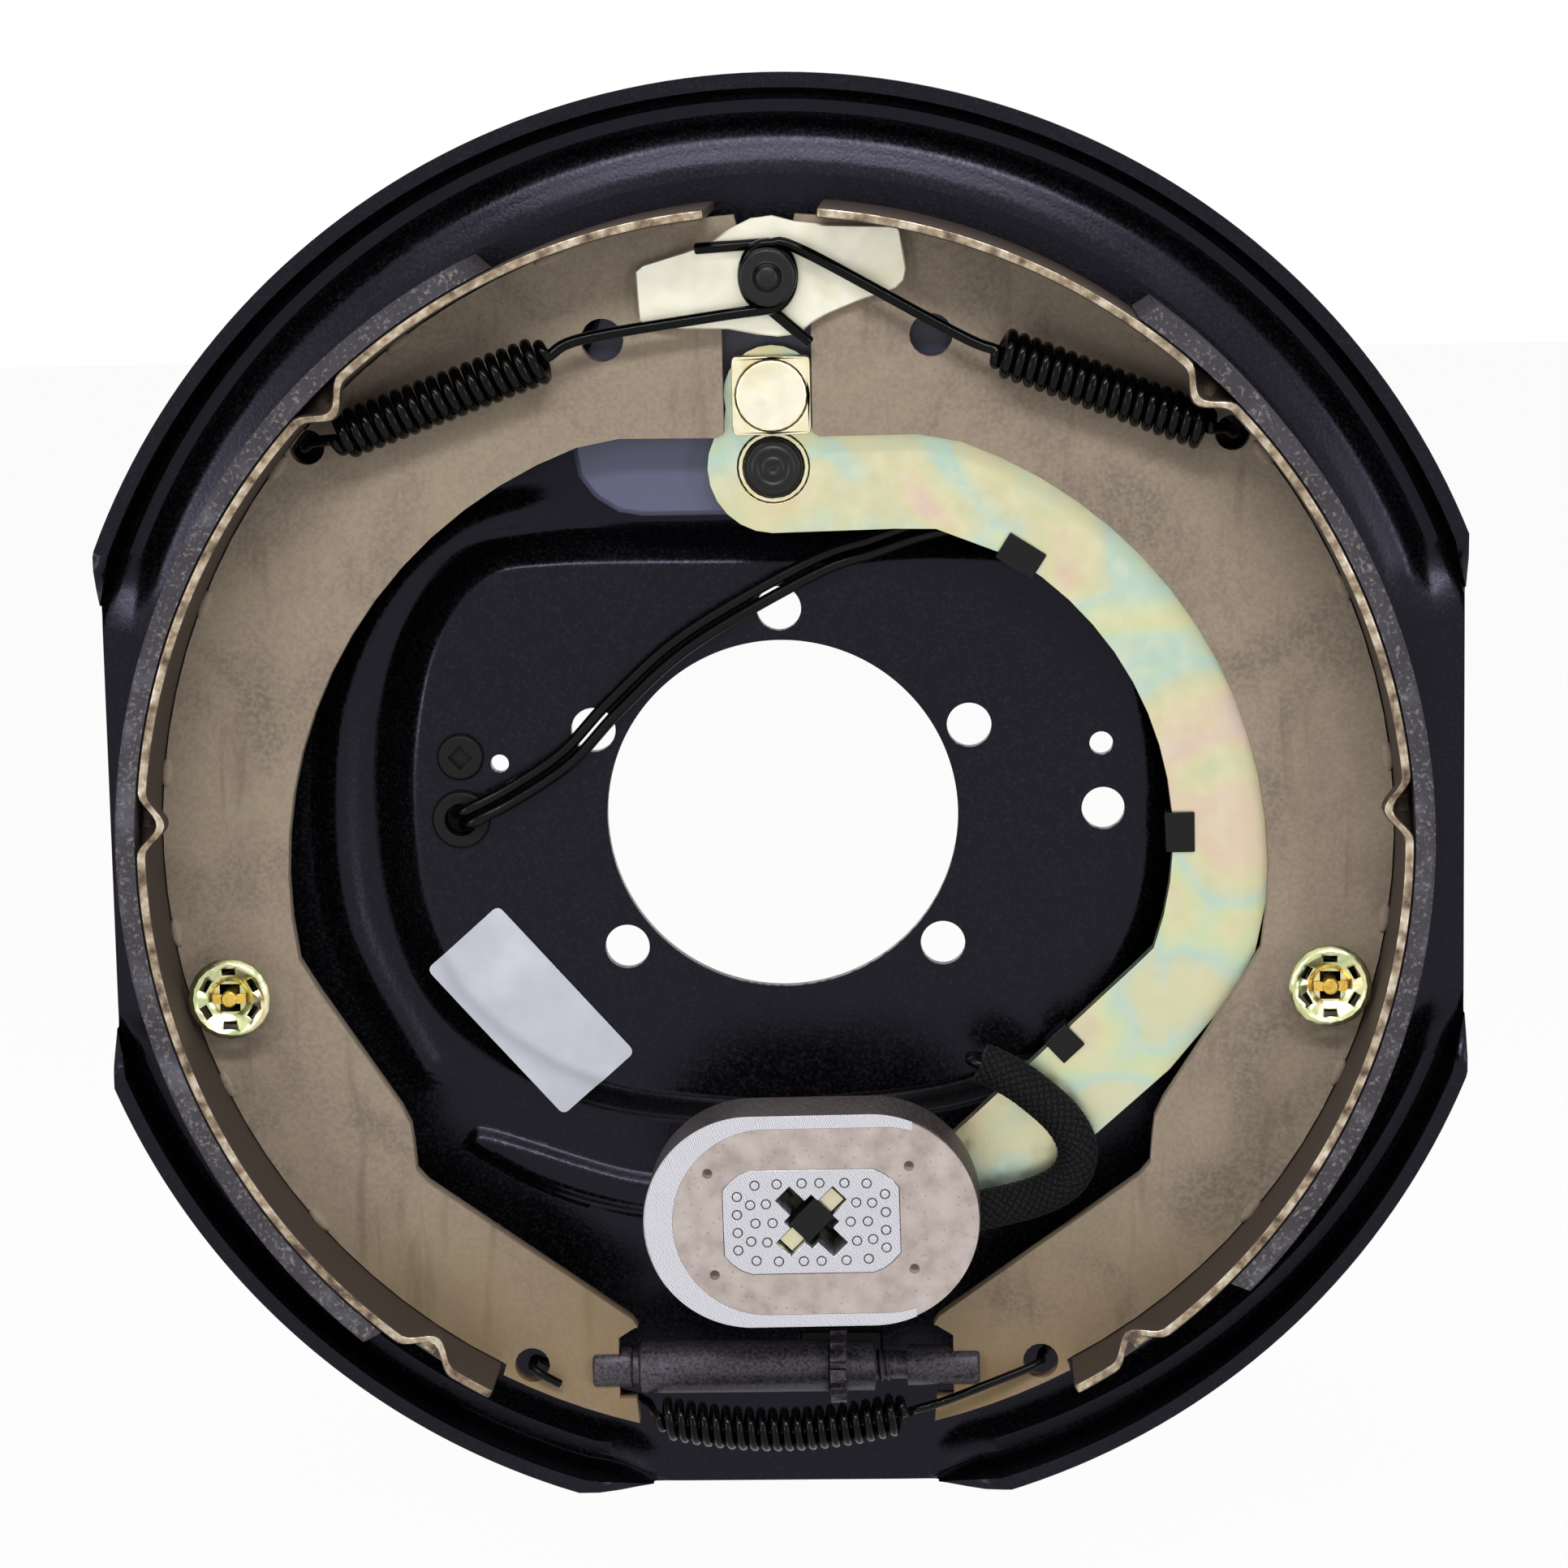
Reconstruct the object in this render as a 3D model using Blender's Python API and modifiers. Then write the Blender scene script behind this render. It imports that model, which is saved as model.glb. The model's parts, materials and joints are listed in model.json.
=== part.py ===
"""Electric trailer brake assembly, 12 inch, right hand.

Metres, +Z up. The origin is the axle's centre on the mounting plane, which is the rear face of the
raised mounting face. The brake's axis is Y: the shoes and the magnet face -Y, towards the drum, and
the axle flange stands at +Y. Outlines are given in the XZ plane, as the brake is seen from the front.
"""

import math

import bmesh
import bpy
from mathutils import Matrix, Vector

# Clearance between pieces that touch.
GAP = 0.0003

# Backing plate, pressed from one sheet.
SHEET = 0.0035
PLATE_RADIUS = 0.1746
PLATE_LIP = 0.0096
CHANNEL_DEPTH = 0.0052
SIDE_FLAT = 0.1622
BOTTOM_FLAT = 0.1665
TRIM = 0.0009
CENTRE_HOLE_RADIUS = 0.0417
BOLT_CIRCLE_RADIUS = 0.0492
BOLT_HOLE_RADIUS = 0.0053
BOLT_SPACING_DEG = 65.0
BOLT_COUNT = 5
FACE_TOP = 0.0605
FACE_SIDE = 0.0875
FACE_BOTTOM = 0.0702

# Brake shoes. The drum is 304.8 mm inside, and the linings run just inside it.
SHOE_CENTRE = (-0.0009, -0.0012)
LINING_RADIUS = 0.1514
LINING_THICKNESS = 0.0045
SHOE_WIDTH = 0.0508
TABLE_THICKNESS = 0.0024
TABLE_TOP_DEG = 85.0
TABLE_BOTTOM_DEG = -62.0
DENT_DEG = (46.0, 3.0, -55.0)
DENT_DEPTH = 0.0046
DENT_HALF_WIDTH = 0.0075
DENT_REACH = 0.0085
PRIMARY_LINING_DEG = (54.7, -44.7)
SECONDARY_LINING_DEG = (63.5, -50.4)
WEB_THICKNESS = 0.005

# Lever, its block and pivot.
LEVER_THICKNESS = 0.005
PIVOT_Z = 0.084
BLOCK_Z = 0.101
BLOCK_WIDTH = 0.0182
BLOCK_BORE_RADIUS = 0.0085
BOSS_RADIUS = 0.0082
PIVOT_RADIUS = 0.00685
BUSH_RADIUS = 0.0082
ARM_CENTRE = (0.014, -0.004)
ARM_INNER_RADIUS = 0.0779
ARM_WIDTH = 0.0231
MAGNET_CENTRE = (0.0068, -0.0869)

# Anchor post and guide plate.
ANCHOR_Z = 0.1288
ANCHOR_RADIUS = 0.008
ANCHOR_NECK_RADIUS = 0.004
ANCHOR_FLANGE_RADIUS = 0.0067
BRACKET_SHEET = 0.0035
GUIDE_THICKNESS = 0.0026

# Springs.
RETURN_WIRE = 0.0027
RETURN_SPRING_RADIUS = 0.0045
RETURN_TURNS = 18
LOWER_WIRE = 0.0021
LOWER_SPRING_RADIUS = 0.0042
LOWER_TURNS = 21
LOWER_SAG = 0.0038

# Adjuster.
ADJUSTER_Z = -0.1304
FORK_RADIUS = 0.0049
TUBE_RADIUS = 0.0062
TUBE_BORE_RADIUS = 0.0053
PILOT_RADIUS = 0.005
STAR_RADIUS = 0.0089
STAR_TEETH = 12
HUB_RADIUS = 0.0060
NUT_BORE_RADIUS = 0.0042
THREAD_RADIUS = 0.0039

# Hold-downs.
HOLD_DOWN_DEG = -15.8
HOLD_DOWN_RADIUS = 0.1336
CUP_RADIUS = 0.0096
PIN_RADIUS = 0.0019
WEB_PIN_HOLE = 0.0049

# Magnet.
MAGNET_LENGTH = 0.0777
MAGNET_HEIGHT = 0.0499
MAGNET_DEPTH = 0.0205
MAGNET_TILT_DEG = 0.6
MAGNET_SHELL = 0.0031
CORE_LENGTH = 0.0407
CORE_HEIGHT = 0.0245
TAB_THICKNESS = 0.004
TAB_WIDTH = 0.0172

# Leads.
LEAD_RADIUS = 0.0014
SLEEVE_RADIUS = 0.0048

# Depths along Y, from the mounting plane forward.
FACE_FRONT = -SHEET
SHOE_FRONT = -0.0465
SHOE_REAR = SHOE_FRONT + SHOE_WIDTH
FLOOR_FRONT = SHOE_REAR + GAP
FLOOR_REAR = FLOOR_FRONT + SHEET
WEB_MIDDLE = (SHOE_FRONT + SHOE_REAR) / 2
WEB_FRONT = WEB_MIDDLE - WEB_THICKNESS / 2
WEB_REAR = WEB_MIDDLE + WEB_THICKNESS / 2
LEVER_FRONT = WEB_REAR + GAP
LEVER_REAR = LEVER_FRONT + LEVER_THICKNESS
BRACKET_FRONT = LEVER_REAR + GAP
GUIDE_REAR = WEB_FRONT - GAP
GUIDE_FRONT = GUIDE_REAR - GUIDE_THICKNESS
LIP_FRONT = FLOOR_FRONT - PLATE_LIP
MAGNET_FRONT = SHOE_FRONT - 0.0075
MAGNET_REAR = MAGNET_FRONT + MAGNET_DEPTH

TABLE_OUTER = LINING_RADIUS - LINING_THICKNESS - GAP
TABLE_INNER = TABLE_OUTER - TABLE_THICKNESS
WEB_OUTER = TABLE_INNER - GAP
LIP_RADIUS = PLATE_RADIUS - SHEET

LEFT = -1
RIGHT = 1


def material(name, colour, roughness, metallic):
    made = bpy.data.materials.new(name)
    made.use_nodes = True
    shader = made.node_tree.nodes["Principled BSDF"]
    shader.inputs["Base Color"].default_value = (*colour, 1.0)
    shader.inputs["Roughness"].default_value = roughness
    shader.inputs["Metallic"].default_value = metallic
    return made


def make_materials():
    return {
        "black_paint": material("black_paint", (0.012, 0.012, 0.016), 0.35, 0.0),
        "primer": material("primer", (0.20, 0.15, 0.12), 0.6, 0.0),
        "table_steel": material("table_steel", (0.35, 0.27, 0.22), 0.45, 0.6),
        "lining": material("lining", (0.11, 0.10, 0.11), 0.9, 0.0),
        "yellow_zinc": material("yellow_zinc", (0.68, 0.64, 0.42), 0.35, 0.8),
        "pale_zinc": material("pale_zinc", (0.80, 0.77, 0.66), 0.35, 0.8),
        "spring_steel": material("spring_steel", (0.015, 0.015, 0.018), 0.25, 0.5),
        "phosphate": material("phosphate", (0.035, 0.03, 0.035), 0.5, 0.6),
        "magnet_case": material("magnet_case", (0.65, 0.65, 0.68), 0.35, 0.9),
        "friction": material("friction", (0.46, 0.39, 0.36), 0.8, 0.0),
        "sleeve": material("sleeve", (0.01, 0.01, 0.012), 0.8, 0.0),
        "rubber": material("rubber", (0.02, 0.02, 0.02), 0.7, 0.0),
        "label": material("label", (0.55, 0.56, 0.62), 0.4, 0.3),
    }


def collection(name, parent, hidden=False):
    made = bpy.data.collections.new(name)
    parent.children.link(made)
    made.hide_render = hidden
    return made


for old in list(bpy.data.objects):
    bpy.data.objects.remove(old)

SCENE = bpy.context.scene.collection
BRAKE = collection("electric_trailer_brake", SCENE)
CUTTERS = collection("cutters", SCENE, hidden=True)
MATERIALS = make_materials()

# Local XY onto the brake's XZ plane, with local +Z towards the front.
FACING = Matrix.Rotation(math.radians(90), 4, "X")
ALONG_X = Matrix.Rotation(math.radians(90), 4, "Y")


def arc(centre, radius, start_deg, end_deg, count):
    """Points on an arc in the XZ plane, both ends included."""
    turn = [math.radians(start_deg + (end_deg - start_deg) * i / (count - 1)) for i in range(count)]
    return [(centre[0] + radius * math.cos(a), centre[1] + radius * math.sin(a)) for a in turn]


def rounded(points, radius, steps=3):
    """A closed outline with each corner cut back by radius and rounded."""
    made = []
    for i, corner in enumerate(points):
        corner = Vector(corner)
        before = Vector(points[i - 1]) - corner
        after = Vector(points[(i + 1) % len(points)]) - corner
        reach = min(radius, before.length * 0.45, after.length * 0.45)
        start = corner + before.normalized() * reach
        end = corner + after.normalized() * reach
        for k in range(steps + 1):
            t = k / steps
            made.append(tuple((1 - t) ** 2 * start + 2 * t * (1 - t) * corner + t * t * end))
    return made


def mirrored(points, side, centre=(0.0, 0.0)):
    """Points given from a centre for the right-hand side, placed on either side of it."""
    placed = [(centre[0] + side * x, centre[1] + z) for x, z in points]
    return placed if side > 0 else placed[::-1]


def smooth(mesh, angle_deg=35):
    mesh.shade_smooth()
    mesh.set_sharp_from_angle(angle=math.radians(angle_deg))


def add_object(name, data, finish, place=Matrix()):
    made = bpy.data.objects.new(name, data)
    if finish:
        data.materials.append(MATERIALS[finish])
    BRAKE.objects.link(made)
    made.matrix_world = place
    return made


def curve_to_mesh(curve_object):
    """Turns a curve object into a mesh object with the same name, its caps welded."""
    name = curve_object.name
    place = curve_object.matrix_world.copy()
    bpy.context.view_layer.update()
    graph = bpy.context.evaluated_depsgraph_get()
    mesh = bpy.data.meshes.new_from_object(curve_object.evaluated_get(graph))
    work = bmesh.new()
    work.from_mesh(mesh)
    bmesh.ops.remove_doubles(work, verts=work.verts, dist=1e-6)
    bmesh.ops.recalc_face_normals(work, faces=work.faces)
    work.to_mesh(mesh)
    work.free()
    bpy.data.objects.remove(curve_object)
    made = bpy.data.objects.new(name, mesh)
    BRAKE.objects.link(made)
    made.matrix_world = place
    return made


def flat_piece(name, outlines, front, thickness, finish, edge=0.0):
    """A plate cut to the first outline, with the other outlines as holes."""
    curve = bpy.data.curves.new(name, "CURVE")
    curve.dimensions = "2D"
    curve.fill_mode = "BOTH"
    curve.extrude = thickness / 2
    curve.render_resolution_u = 0
    for outline in outlines:
        spline = curve.splines.new("POLY")
        spline.points.add(len(outline) - 1)
        for point, (x, z) in zip(spline.points, outline):
            point.co = (x, z, 0.0, 1.0)
        spline.use_cyclic_u = True
    middle = Matrix.Translation((0.0, front + thickness / 2, 0.0))
    made = curve_to_mesh(add_object(name, curve, finish, middle @ FACING))
    if edge:
        bevel = made.modifiers.new("edge", "BEVEL")
        bevel.width = edge
        bevel.segments = 1
        bevel.limit_method = "ANGLE"
        bevel.angle_limit = math.radians(60)
    return made


def turned(name, profile, finish, place, segments=24, closed=False):
    """A profile of (radius, height) points, from the top down, turned about local Z."""
    mesh = bpy.data.meshes.new(name)
    points = [(r, 0.0, h) for r, h in profile]
    edges = [(i, i + 1) for i in range(len(points) - 1)]
    if closed:
        edges.append((len(points) - 1, 0))
    mesh.from_pydata(points, edges, [])
    made = add_object(name, mesh, finish, place)
    screw = made.modifiers.new("turn", "SCREW")
    screw.steps = segments
    screw.render_steps = segments
    screw.use_merge_vertices = True
    screw.merge_threshold = 1e-5
    screw.use_smooth_shade = True
    return made


def facing_place(x, z, y=0.0):
    """Where local Z points to the front from (x, y, z)."""
    return Matrix.Translation((x, y, z)) @ FACING


def depth_profile(points):
    """Turns (radius, depth y) points, front first, into heights along local Z."""
    return [(r, -y) for r, y in points]


def wire(name, points, radius, finish, sides=1, parent_mesh=False):
    """A round wire through the points, with flat ends."""
    curve = bpy.data.curves.new(name, "CURVE")
    curve.dimensions = "3D"
    curve.bevel_depth = radius
    curve.bevel_resolution = sides
    curve.use_fill_caps = True
    curve.render_resolution_u = 0
    curve.twist_mode = "MINIMUM"
    spline = curve.splines.new("POLY")
    spline.points.add(len(points) - 1)
    for point, place in zip(spline.points, points):
        point.co = (*place, 1.0)
    made = add_object(name, curve, finish)
    return curve_to_mesh(made) if parent_mesh else made


def through(points, count):
    """Points evenly spaced along a Catmull-Rom curve through the route's own points."""
    route = [Vector(p) for p in points]
    ends = [2 * route[0] - route[1]] + route + [2 * route[-1] - route[-2]]
    fine = []
    for i in range(1, len(ends) - 2):
        p0, p1, p2, p3 = ends[i - 1], ends[i], ends[i + 1], ends[i + 2]
        for k in range(12):
            t = k / 12
            fine.append(0.5 * (2 * p1 + (p2 - p0) * t + (2 * p0 - 5 * p1 + 4 * p2 - p3) * t * t
                               + (3 * p1 - p0 - 3 * p2 + p3) * t ** 3))
    fine.append(route[-1])
    lengths = [0.0]
    for a, b in zip(fine, fine[1:]):
        lengths.append(lengths[-1] + (b - a).length)
    made = []
    index = 0
    for k in range(count):
        want = lengths[-1] * k / (count - 1)
        while index < len(fine) - 2 and lengths[index + 1] < want:
            index += 1
        step = lengths[index + 1] - lengths[index]
        made.append(fine[index].lerp(fine[index + 1], (want - lengths[index]) / step))
    return made


def coil(start, end, radius, turns, per_turn=6, sag=0.0, phase_deg=0.0, ease=0.5):
    """Points of a coil from start to end. The wire comes in to the axis over the last half turn."""
    start, end = Vector(start), Vector(end)
    axis = (end - start).normalized()
    forward = Vector((0.0, -1.0, 0.0))
    up = axis.cross(forward).normalized()
    side = up.cross(axis).normalized()
    points = []
    count = int(turns * per_turn)
    for i in range(count + 1):
        t = i / count
        turn = 2 * math.pi * turns * t + math.radians(phase_deg)
        near_end = min(turns * t, turns * (1 - t)) / ease
        reach = radius * (0.35 + 0.65 * min(1.0, near_end))
        centre = start.lerp(end, t) - Vector((0.0, 0.0, sag * 4 * t * (1 - t)))
        points.append(centre + reach * (math.cos(turn) * side + math.sin(turn) * up))
    return points


def cutter(name, made_by):
    """Moves an object to the cutters, as a wire shape that is not rendered."""
    made = made_by
    made.name = name
    for group in list(made.users_collection):
        group.objects.unlink(made)
    CUTTERS.objects.link(made)
    made.display_type = "WIRE"
    made.hide_render = True
    return made


def round_cutter(name, x, z, radius, y_front=-0.08, y_rear=0.03, segments=24):
    work = bmesh.new()
    bmesh.ops.create_cone(work, cap_ends=True, segments=segments, radius1=radius, radius2=radius,
                          depth=y_rear - y_front)
    mesh = bpy.data.meshes.new(name)
    work.to_mesh(mesh)
    work.free()
    twist = Matrix.Rotation(math.radians(3.7), 4, "Z")
    made = add_object(name, mesh, None, facing_place(x, z, (y_front + y_rear) / 2) @ twist)
    return cutter(name, made)


def box_cutter(name, size, place):
    work = bmesh.new()
    bmesh.ops.create_cube(work, size=1.0)
    bmesh.ops.scale(work, vec=size, verts=work.verts)
    mesh = bpy.data.meshes.new(name)
    work.to_mesh(mesh)
    work.free()
    return cutter(name, add_object(name, mesh, None, place))


def cut(target, tool):
    step = target.modifiers.new(f"cut_{tool.name}"[:60], "BOOLEAN")
    step.operation = "DIFFERENCE"
    step.solver = "EXACT"
    step.object = tool


def hang_on(empty, *pieces):
    """Parents pieces to an empty on their joint's axis, each staying where it is."""
    bpy.context.view_layer.update()
    for piece in pieces:
        piece.parent = empty
        piece.matrix_parent_inverse = empty.matrix_world.inverted()


def axis_empty(name, place):
    made = bpy.data.objects.new(name, None)
    made.empty_display_size = 0.01
    BRAKE.objects.link(made)
    made.location = place
    return made


def smoothstep(low, high, value):
    t = min(1.0, max(0.0, (value - low) / (high - low)))
    return t * t * (3 - 2 * t)


# Backing plate

FACE_OUTLINE = [(0.0, 1.0), (0.60, 1.0), (0.80, 0.94), (0.925, 0.70), (0.985, 0.36), (1.0, 0.0),
                (0.97, -0.32), (0.87, -0.60), (0.68, -0.81), (0.43, -0.94), (0.0, -1.0)]
SEGMENTS = 72


def face_radius(turn):
    """How far the edge of the raised face lies from the centre in a direction."""
    x, z = math.cos(turn), math.sin(turn)
    points = [(FACE_SIDE * a, (FACE_TOP if b > 0 else FACE_BOTTOM) * b) for a, b in FACE_OUTLINE]
    points = through([(a, 0.0, b) for a, b in points], 60)
    x = abs(x)
    best = None
    for a, b in zip(points, points[1:]):
        cross_a = a.x * z - a.z * x
        cross_b = b.x * z - b.z * x
        if cross_a <= 0.0 <= cross_b or cross_b <= 0.0 <= cross_a:
            t = 0.0 if cross_a == cross_b else cross_a / (cross_a - cross_b)
            hit = a.lerp(b, t)
            if best is None or hit.x * x + hit.z * z > best:
                best = hit.x * x + hit.z * z
    return best


def flat_reach(turn):
    """Distance from the centre to the nearest straight side in a direction, and how far round it."""
    x, z = math.cos(turn), math.sin(turn)
    reach = (SIDE_FLAT + TRIM) / abs(x) if abs(x) > 1e-6 else 1.0
    if z < -1e-6:
        reach = min(reach, (BOTTOM_FLAT + TRIM) / -z)
    return reach


def plate_rings(turn):
    """(radius, depth) of the front surface, from the centre hole out to the lip's edge."""
    edge = face_radius(turn)
    rise = FLOOR_FRONT - FACE_FRONT
    steps = [(CENTRE_HOLE_RADIUS, FACE_FRONT), (edge - 0.0012, FACE_FRONT), (edge + 0.0013, FACE_FRONT + 0.09 * rise),
             (edge + 0.0034, FACE_FRONT + 0.37 * rise), (edge + 0.0062, FACE_FRONT + 0.79 * rise),
             (edge + 0.0092, FLOOR_FRONT)]
    lip = [(-0.0115, 0.0), (-0.0088, 0.10), (-0.0062, 0.66), (-0.0038, 1.0), (-0.0014, 0.80)]
    reach = flat_reach(turn)
    formed = smoothstep(LIP_RADIUS * 0.990, LIP_RADIUS * 1.020, reach)
    reach -= SHEET * formed * reach / SIDE_FLAT
    out = min(LIP_RADIUS, reach) * formed + min(reach, PLATE_RADIUS) * (1 - formed)
    for inward, depth in lip:
        steps.append((out + inward, FLOOR_FRONT + CHANNEL_DEPTH * depth * formed))
    steps.append((out, FLOOR_FRONT + (LIP_FRONT - FLOOR_FRONT) * formed))
    return steps


def backing_plate():
    work = bmesh.new()
    rings = []
    for k in range(SEGMENTS):
        turn = 2 * math.pi * k / SEGMENTS
        x, z = math.cos(turn), math.sin(turn)
        rings.append([work.verts.new((x * r, y, z * r)) for r, y in plate_rings(turn)])
    for k in range(SEGMENTS):
        here, there = rings[k], rings[(k + 1) % SEGMENTS]
        for a in range(len(here) - 1):
            work.faces.new((here[a], there[a], there[a + 1], here[a + 1]))
    bmesh.ops.recalc_face_normals(work, faces=work.faces)
    mesh = bpy.data.meshes.new("backing_plate")
    work.to_mesh(mesh)
    work.free()
    if mesh.polygons[0].normal.y > 0:
        mesh.flip_normals()
    smooth(mesh)
    plate = add_object("backing_plate", mesh, "black_paint")
    wall = plate.modifiers.new("sheet", "SOLIDIFY")
    wall.thickness = SHEET
    wall.offset = -1.0
    wall.use_even_offset = True
    for k in range(BOLT_COUNT):
        turn = math.radians(90 + BOLT_SPACING_DEG * (k - BOLT_COUNT // 2))
        cut(plate, round_cutter(f"bolt_hole_{k + 1}", BOLT_CIRCLE_RADIUS * math.cos(turn),
                                BOLT_CIRCLE_RADIUS * math.sin(turn), BOLT_HOLE_RADIUS))
    for name, x, z, radius in PLATE_HOLES:
        cut(plate, round_cutter(name, x, z, radius))
    slot = box_cutter("adjuster_slot", (SLOT_LENGTH, 0.05, SLOT_HEIGHT),
                      Matrix.Translation((SLOT_X, 0.0, SLOT_Z)))
    cut(plate, slot)
    for name, x, z in (("left_trim", -SIDE_FLAT - 0.05, 0.0), ("right_trim", SIDE_FLAT + 0.05, 0.0),
                       ("bottom_trim", 0.0, -BOTTOM_FLAT - 0.05)):
        size = (0.1, 0.05, 0.3) if x else (0.3, 0.05, 0.1)
        cut(plate, box_cutter(name, size, Matrix.Translation((x, 0.0, z))))
    return plate


SLOT_LENGTH = 0.020
SLOT_HEIGHT = 0.009
SLOT_X = 0.0116
SLOT_Z = -0.1335
PLUG_HOLE = (-0.0764, 0.0148, 0.0040)
GROMMET_HOLE = (-0.0766, -0.0002, 0.0054)
ANCHOR_SHANK = 0.0062
PIVOT_SHANK = 0.0052
PIN_HOLE_RADIUS = 0.0028


def hold_down_place(side):
    turn = math.radians(HOLD_DOWN_DEG)
    spot = (HOLD_DOWN_RADIUS * math.cos(turn), HOLD_DOWN_RADIUS * math.sin(turn))
    return mirrored([spot], side, SHOE_CENTRE)[0]


PLATE_HOLES = [
    ("wire_hole", *GROMMET_HOLE),
    ("plug_hole", *PLUG_HOLE),
    ("small_hole", -0.0671, 0.0130, 0.0022),
    ("spare_wire_hole", 0.0761, 0.0004, 0.0051),
    ("spare_plug_hole", 0.0758, 0.0160, 0.0028),
    ("anchor_shank_hole", 0.0, ANCHOR_Z, ANCHOR_SHANK + GAP),
    ("pivot_shank_hole", 0.0, PIVOT_Z, PIVOT_SHANK + GAP),
    ("left_pin_hole", *hold_down_place(LEFT), PIN_HOLE_RADIUS),
    ("right_pin_hole", *hold_down_place(RIGHT), PIN_HOLE_RADIUS),
]


def plug(name, x, z, hole_radius, finish="rubber", bore=0.0, square=0.0):
    """A plug or grommet that grips the raised face's sheet from both sides."""
    lip = hole_radius + 0.0016
    waist = hole_radius - GAP
    front = FACE_FRONT - GAP
    rear = GAP
    outer = [(lip - 0.0006, front - 0.0014), (lip, front - 0.0007), (lip, front), (waist, front),
             (waist, rear), (lip, rear), (lip, rear + 0.0009), (lip - 0.0007, rear + 0.0018)]
    if bore:
        outer = [(bore, front - 0.0014)] + outer + [(bore, rear + 0.0018)]
    else:
        outer = [(0.0, front - 0.0014)] + outer + [(0.0, rear + 0.0018)]
    made = turned(name, depth_profile(outer), finish, facing_place(x, z), segments=16, closed=bool(bore))
    if square:
        recess = box_cutter(f"{name}_square", (square, 0.003, square),
                            Matrix.Translation((x, front - 0.0016, z)))
        cut(made, recess)
    return made


def adjuster_slot_plug():
    """The rubber plug in the adjusting slot, a flat body with a lip outside the plate."""
    flange = 0.0018
    work = bmesh.new()
    bmesh.ops.create_cube(work, size=1.0)
    bmesh.ops.scale(work, vec=(SLOT_LENGTH + 2 * flange, 0.0016, SLOT_HEIGHT + 2 * flange), verts=work.verts)
    mesh = bpy.data.meshes.new("adjuster_slot_plug")
    work.to_mesh(mesh)
    work.free()
    made = add_object("adjuster_slot_plug", mesh, "rubber",
                      Matrix.Translation((SLOT_X, FLOOR_REAR + GAP + 0.0008, SLOT_Z)))
    body = box_cutter("slot_plug_body", (SLOT_LENGTH - 2 * GAP, SHEET + 0.0016, SLOT_HEIGHT - 2 * GAP),
                      Matrix.Translation((SLOT_X, FLOOR_REAR - SHEET / 2 + 0.0007, SLOT_Z)))
    join = made.modifiers.new("body", "BOOLEAN")
    join.operation = "UNION"
    join.solver = "EXACT"
    join.object = body
    return made


def label():
    middle = Vector((-0.0613, -0.0470))
    along = Vector((math.cos(math.radians(-48.5)), math.sin(math.radians(-48.5))))
    across = Vector((-along.y, along.x))
    half_long, half_high = 0.0240, 0.0118
    corners = [middle + along * (a * half_long) + across * (b * half_high)
               for a, b in ((-1, -1), (1, -1), (1, 1), (-1, 1))]
    return flat_piece("label", [rounded(corners, 0.0028)], FACE_FRONT - GAP - 0.0003, 0.0003, "label")


# Anchor, guide and pivot

BRACKET_SIDE = [(0.0370, 0.0725), (0.0470, 0.0815), (0.0470, 0.1040), (0.0330, 0.1375)]
BRACKET_FLARE = 0.0016


def inset(points, distance):
    """A closed counterclockwise outline moved inwards by a distance."""
    made = []
    for i, point in enumerate(points):
        before = (Vector(point) - Vector(points[i - 1])).normalized()
        after = (Vector(points[(i + 1) % len(points)]) - Vector(point)).normalized()
        across = Vector((-before.y - after.y, before.x + after.x)).normalized()
        reach = distance / max(0.3, across.dot(Vector((-before.y, before.x))))
        made.append(tuple(Vector(point) + across * reach))
    return made


def anchor_bracket():
    """A pressed pan that carries the anchor and the lever's pivot in front of the plate."""
    outline = rounded(BRACKET_SIDE + [(-x, z) for x, z in reversed(BRACKET_SIDE)], 0.006, 2)
    foot = FLOOR_FRONT - GAP
    rings = [(0.0012, BRACKET_FRONT), (0.0, BRACKET_FRONT + 0.0012), (-BRACKET_FLARE, foot),
             (BRACKET_SHEET - BRACKET_FLARE, foot), (BRACKET_SHEET, BRACKET_FRONT + BRACKET_SHEET)]
    work = bmesh.new()
    made_rings = [[work.verts.new((x, y, z)) for x, z in inset(outline, away)] for away, y in rings]
    work.faces.new(made_rings[0])
    work.faces.new(made_rings[-1])
    for here, there in zip(made_rings, made_rings[1:]):
        for k in range(len(here)):
            other = (k + 1) % len(here)
            work.faces.new((here[k], here[other], there[other], there[k]))
    bmesh.ops.recalc_face_normals(work, faces=work.faces)
    mesh = bpy.data.meshes.new("anchor_bracket")
    work.to_mesh(mesh)
    work.free()
    made = add_object("anchor_bracket", mesh, "black_paint")
    cut(made, round_cutter("bracket_anchor_hole", 0.0, ANCHOR_Z, ANCHOR_RADIUS + GAP, segments=32))
    cut(made, round_cutter("bracket_pivot_hole", 0.0, PIVOT_Z, PIVOT_RADIUS + GAP, segments=32))
    return made


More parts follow.
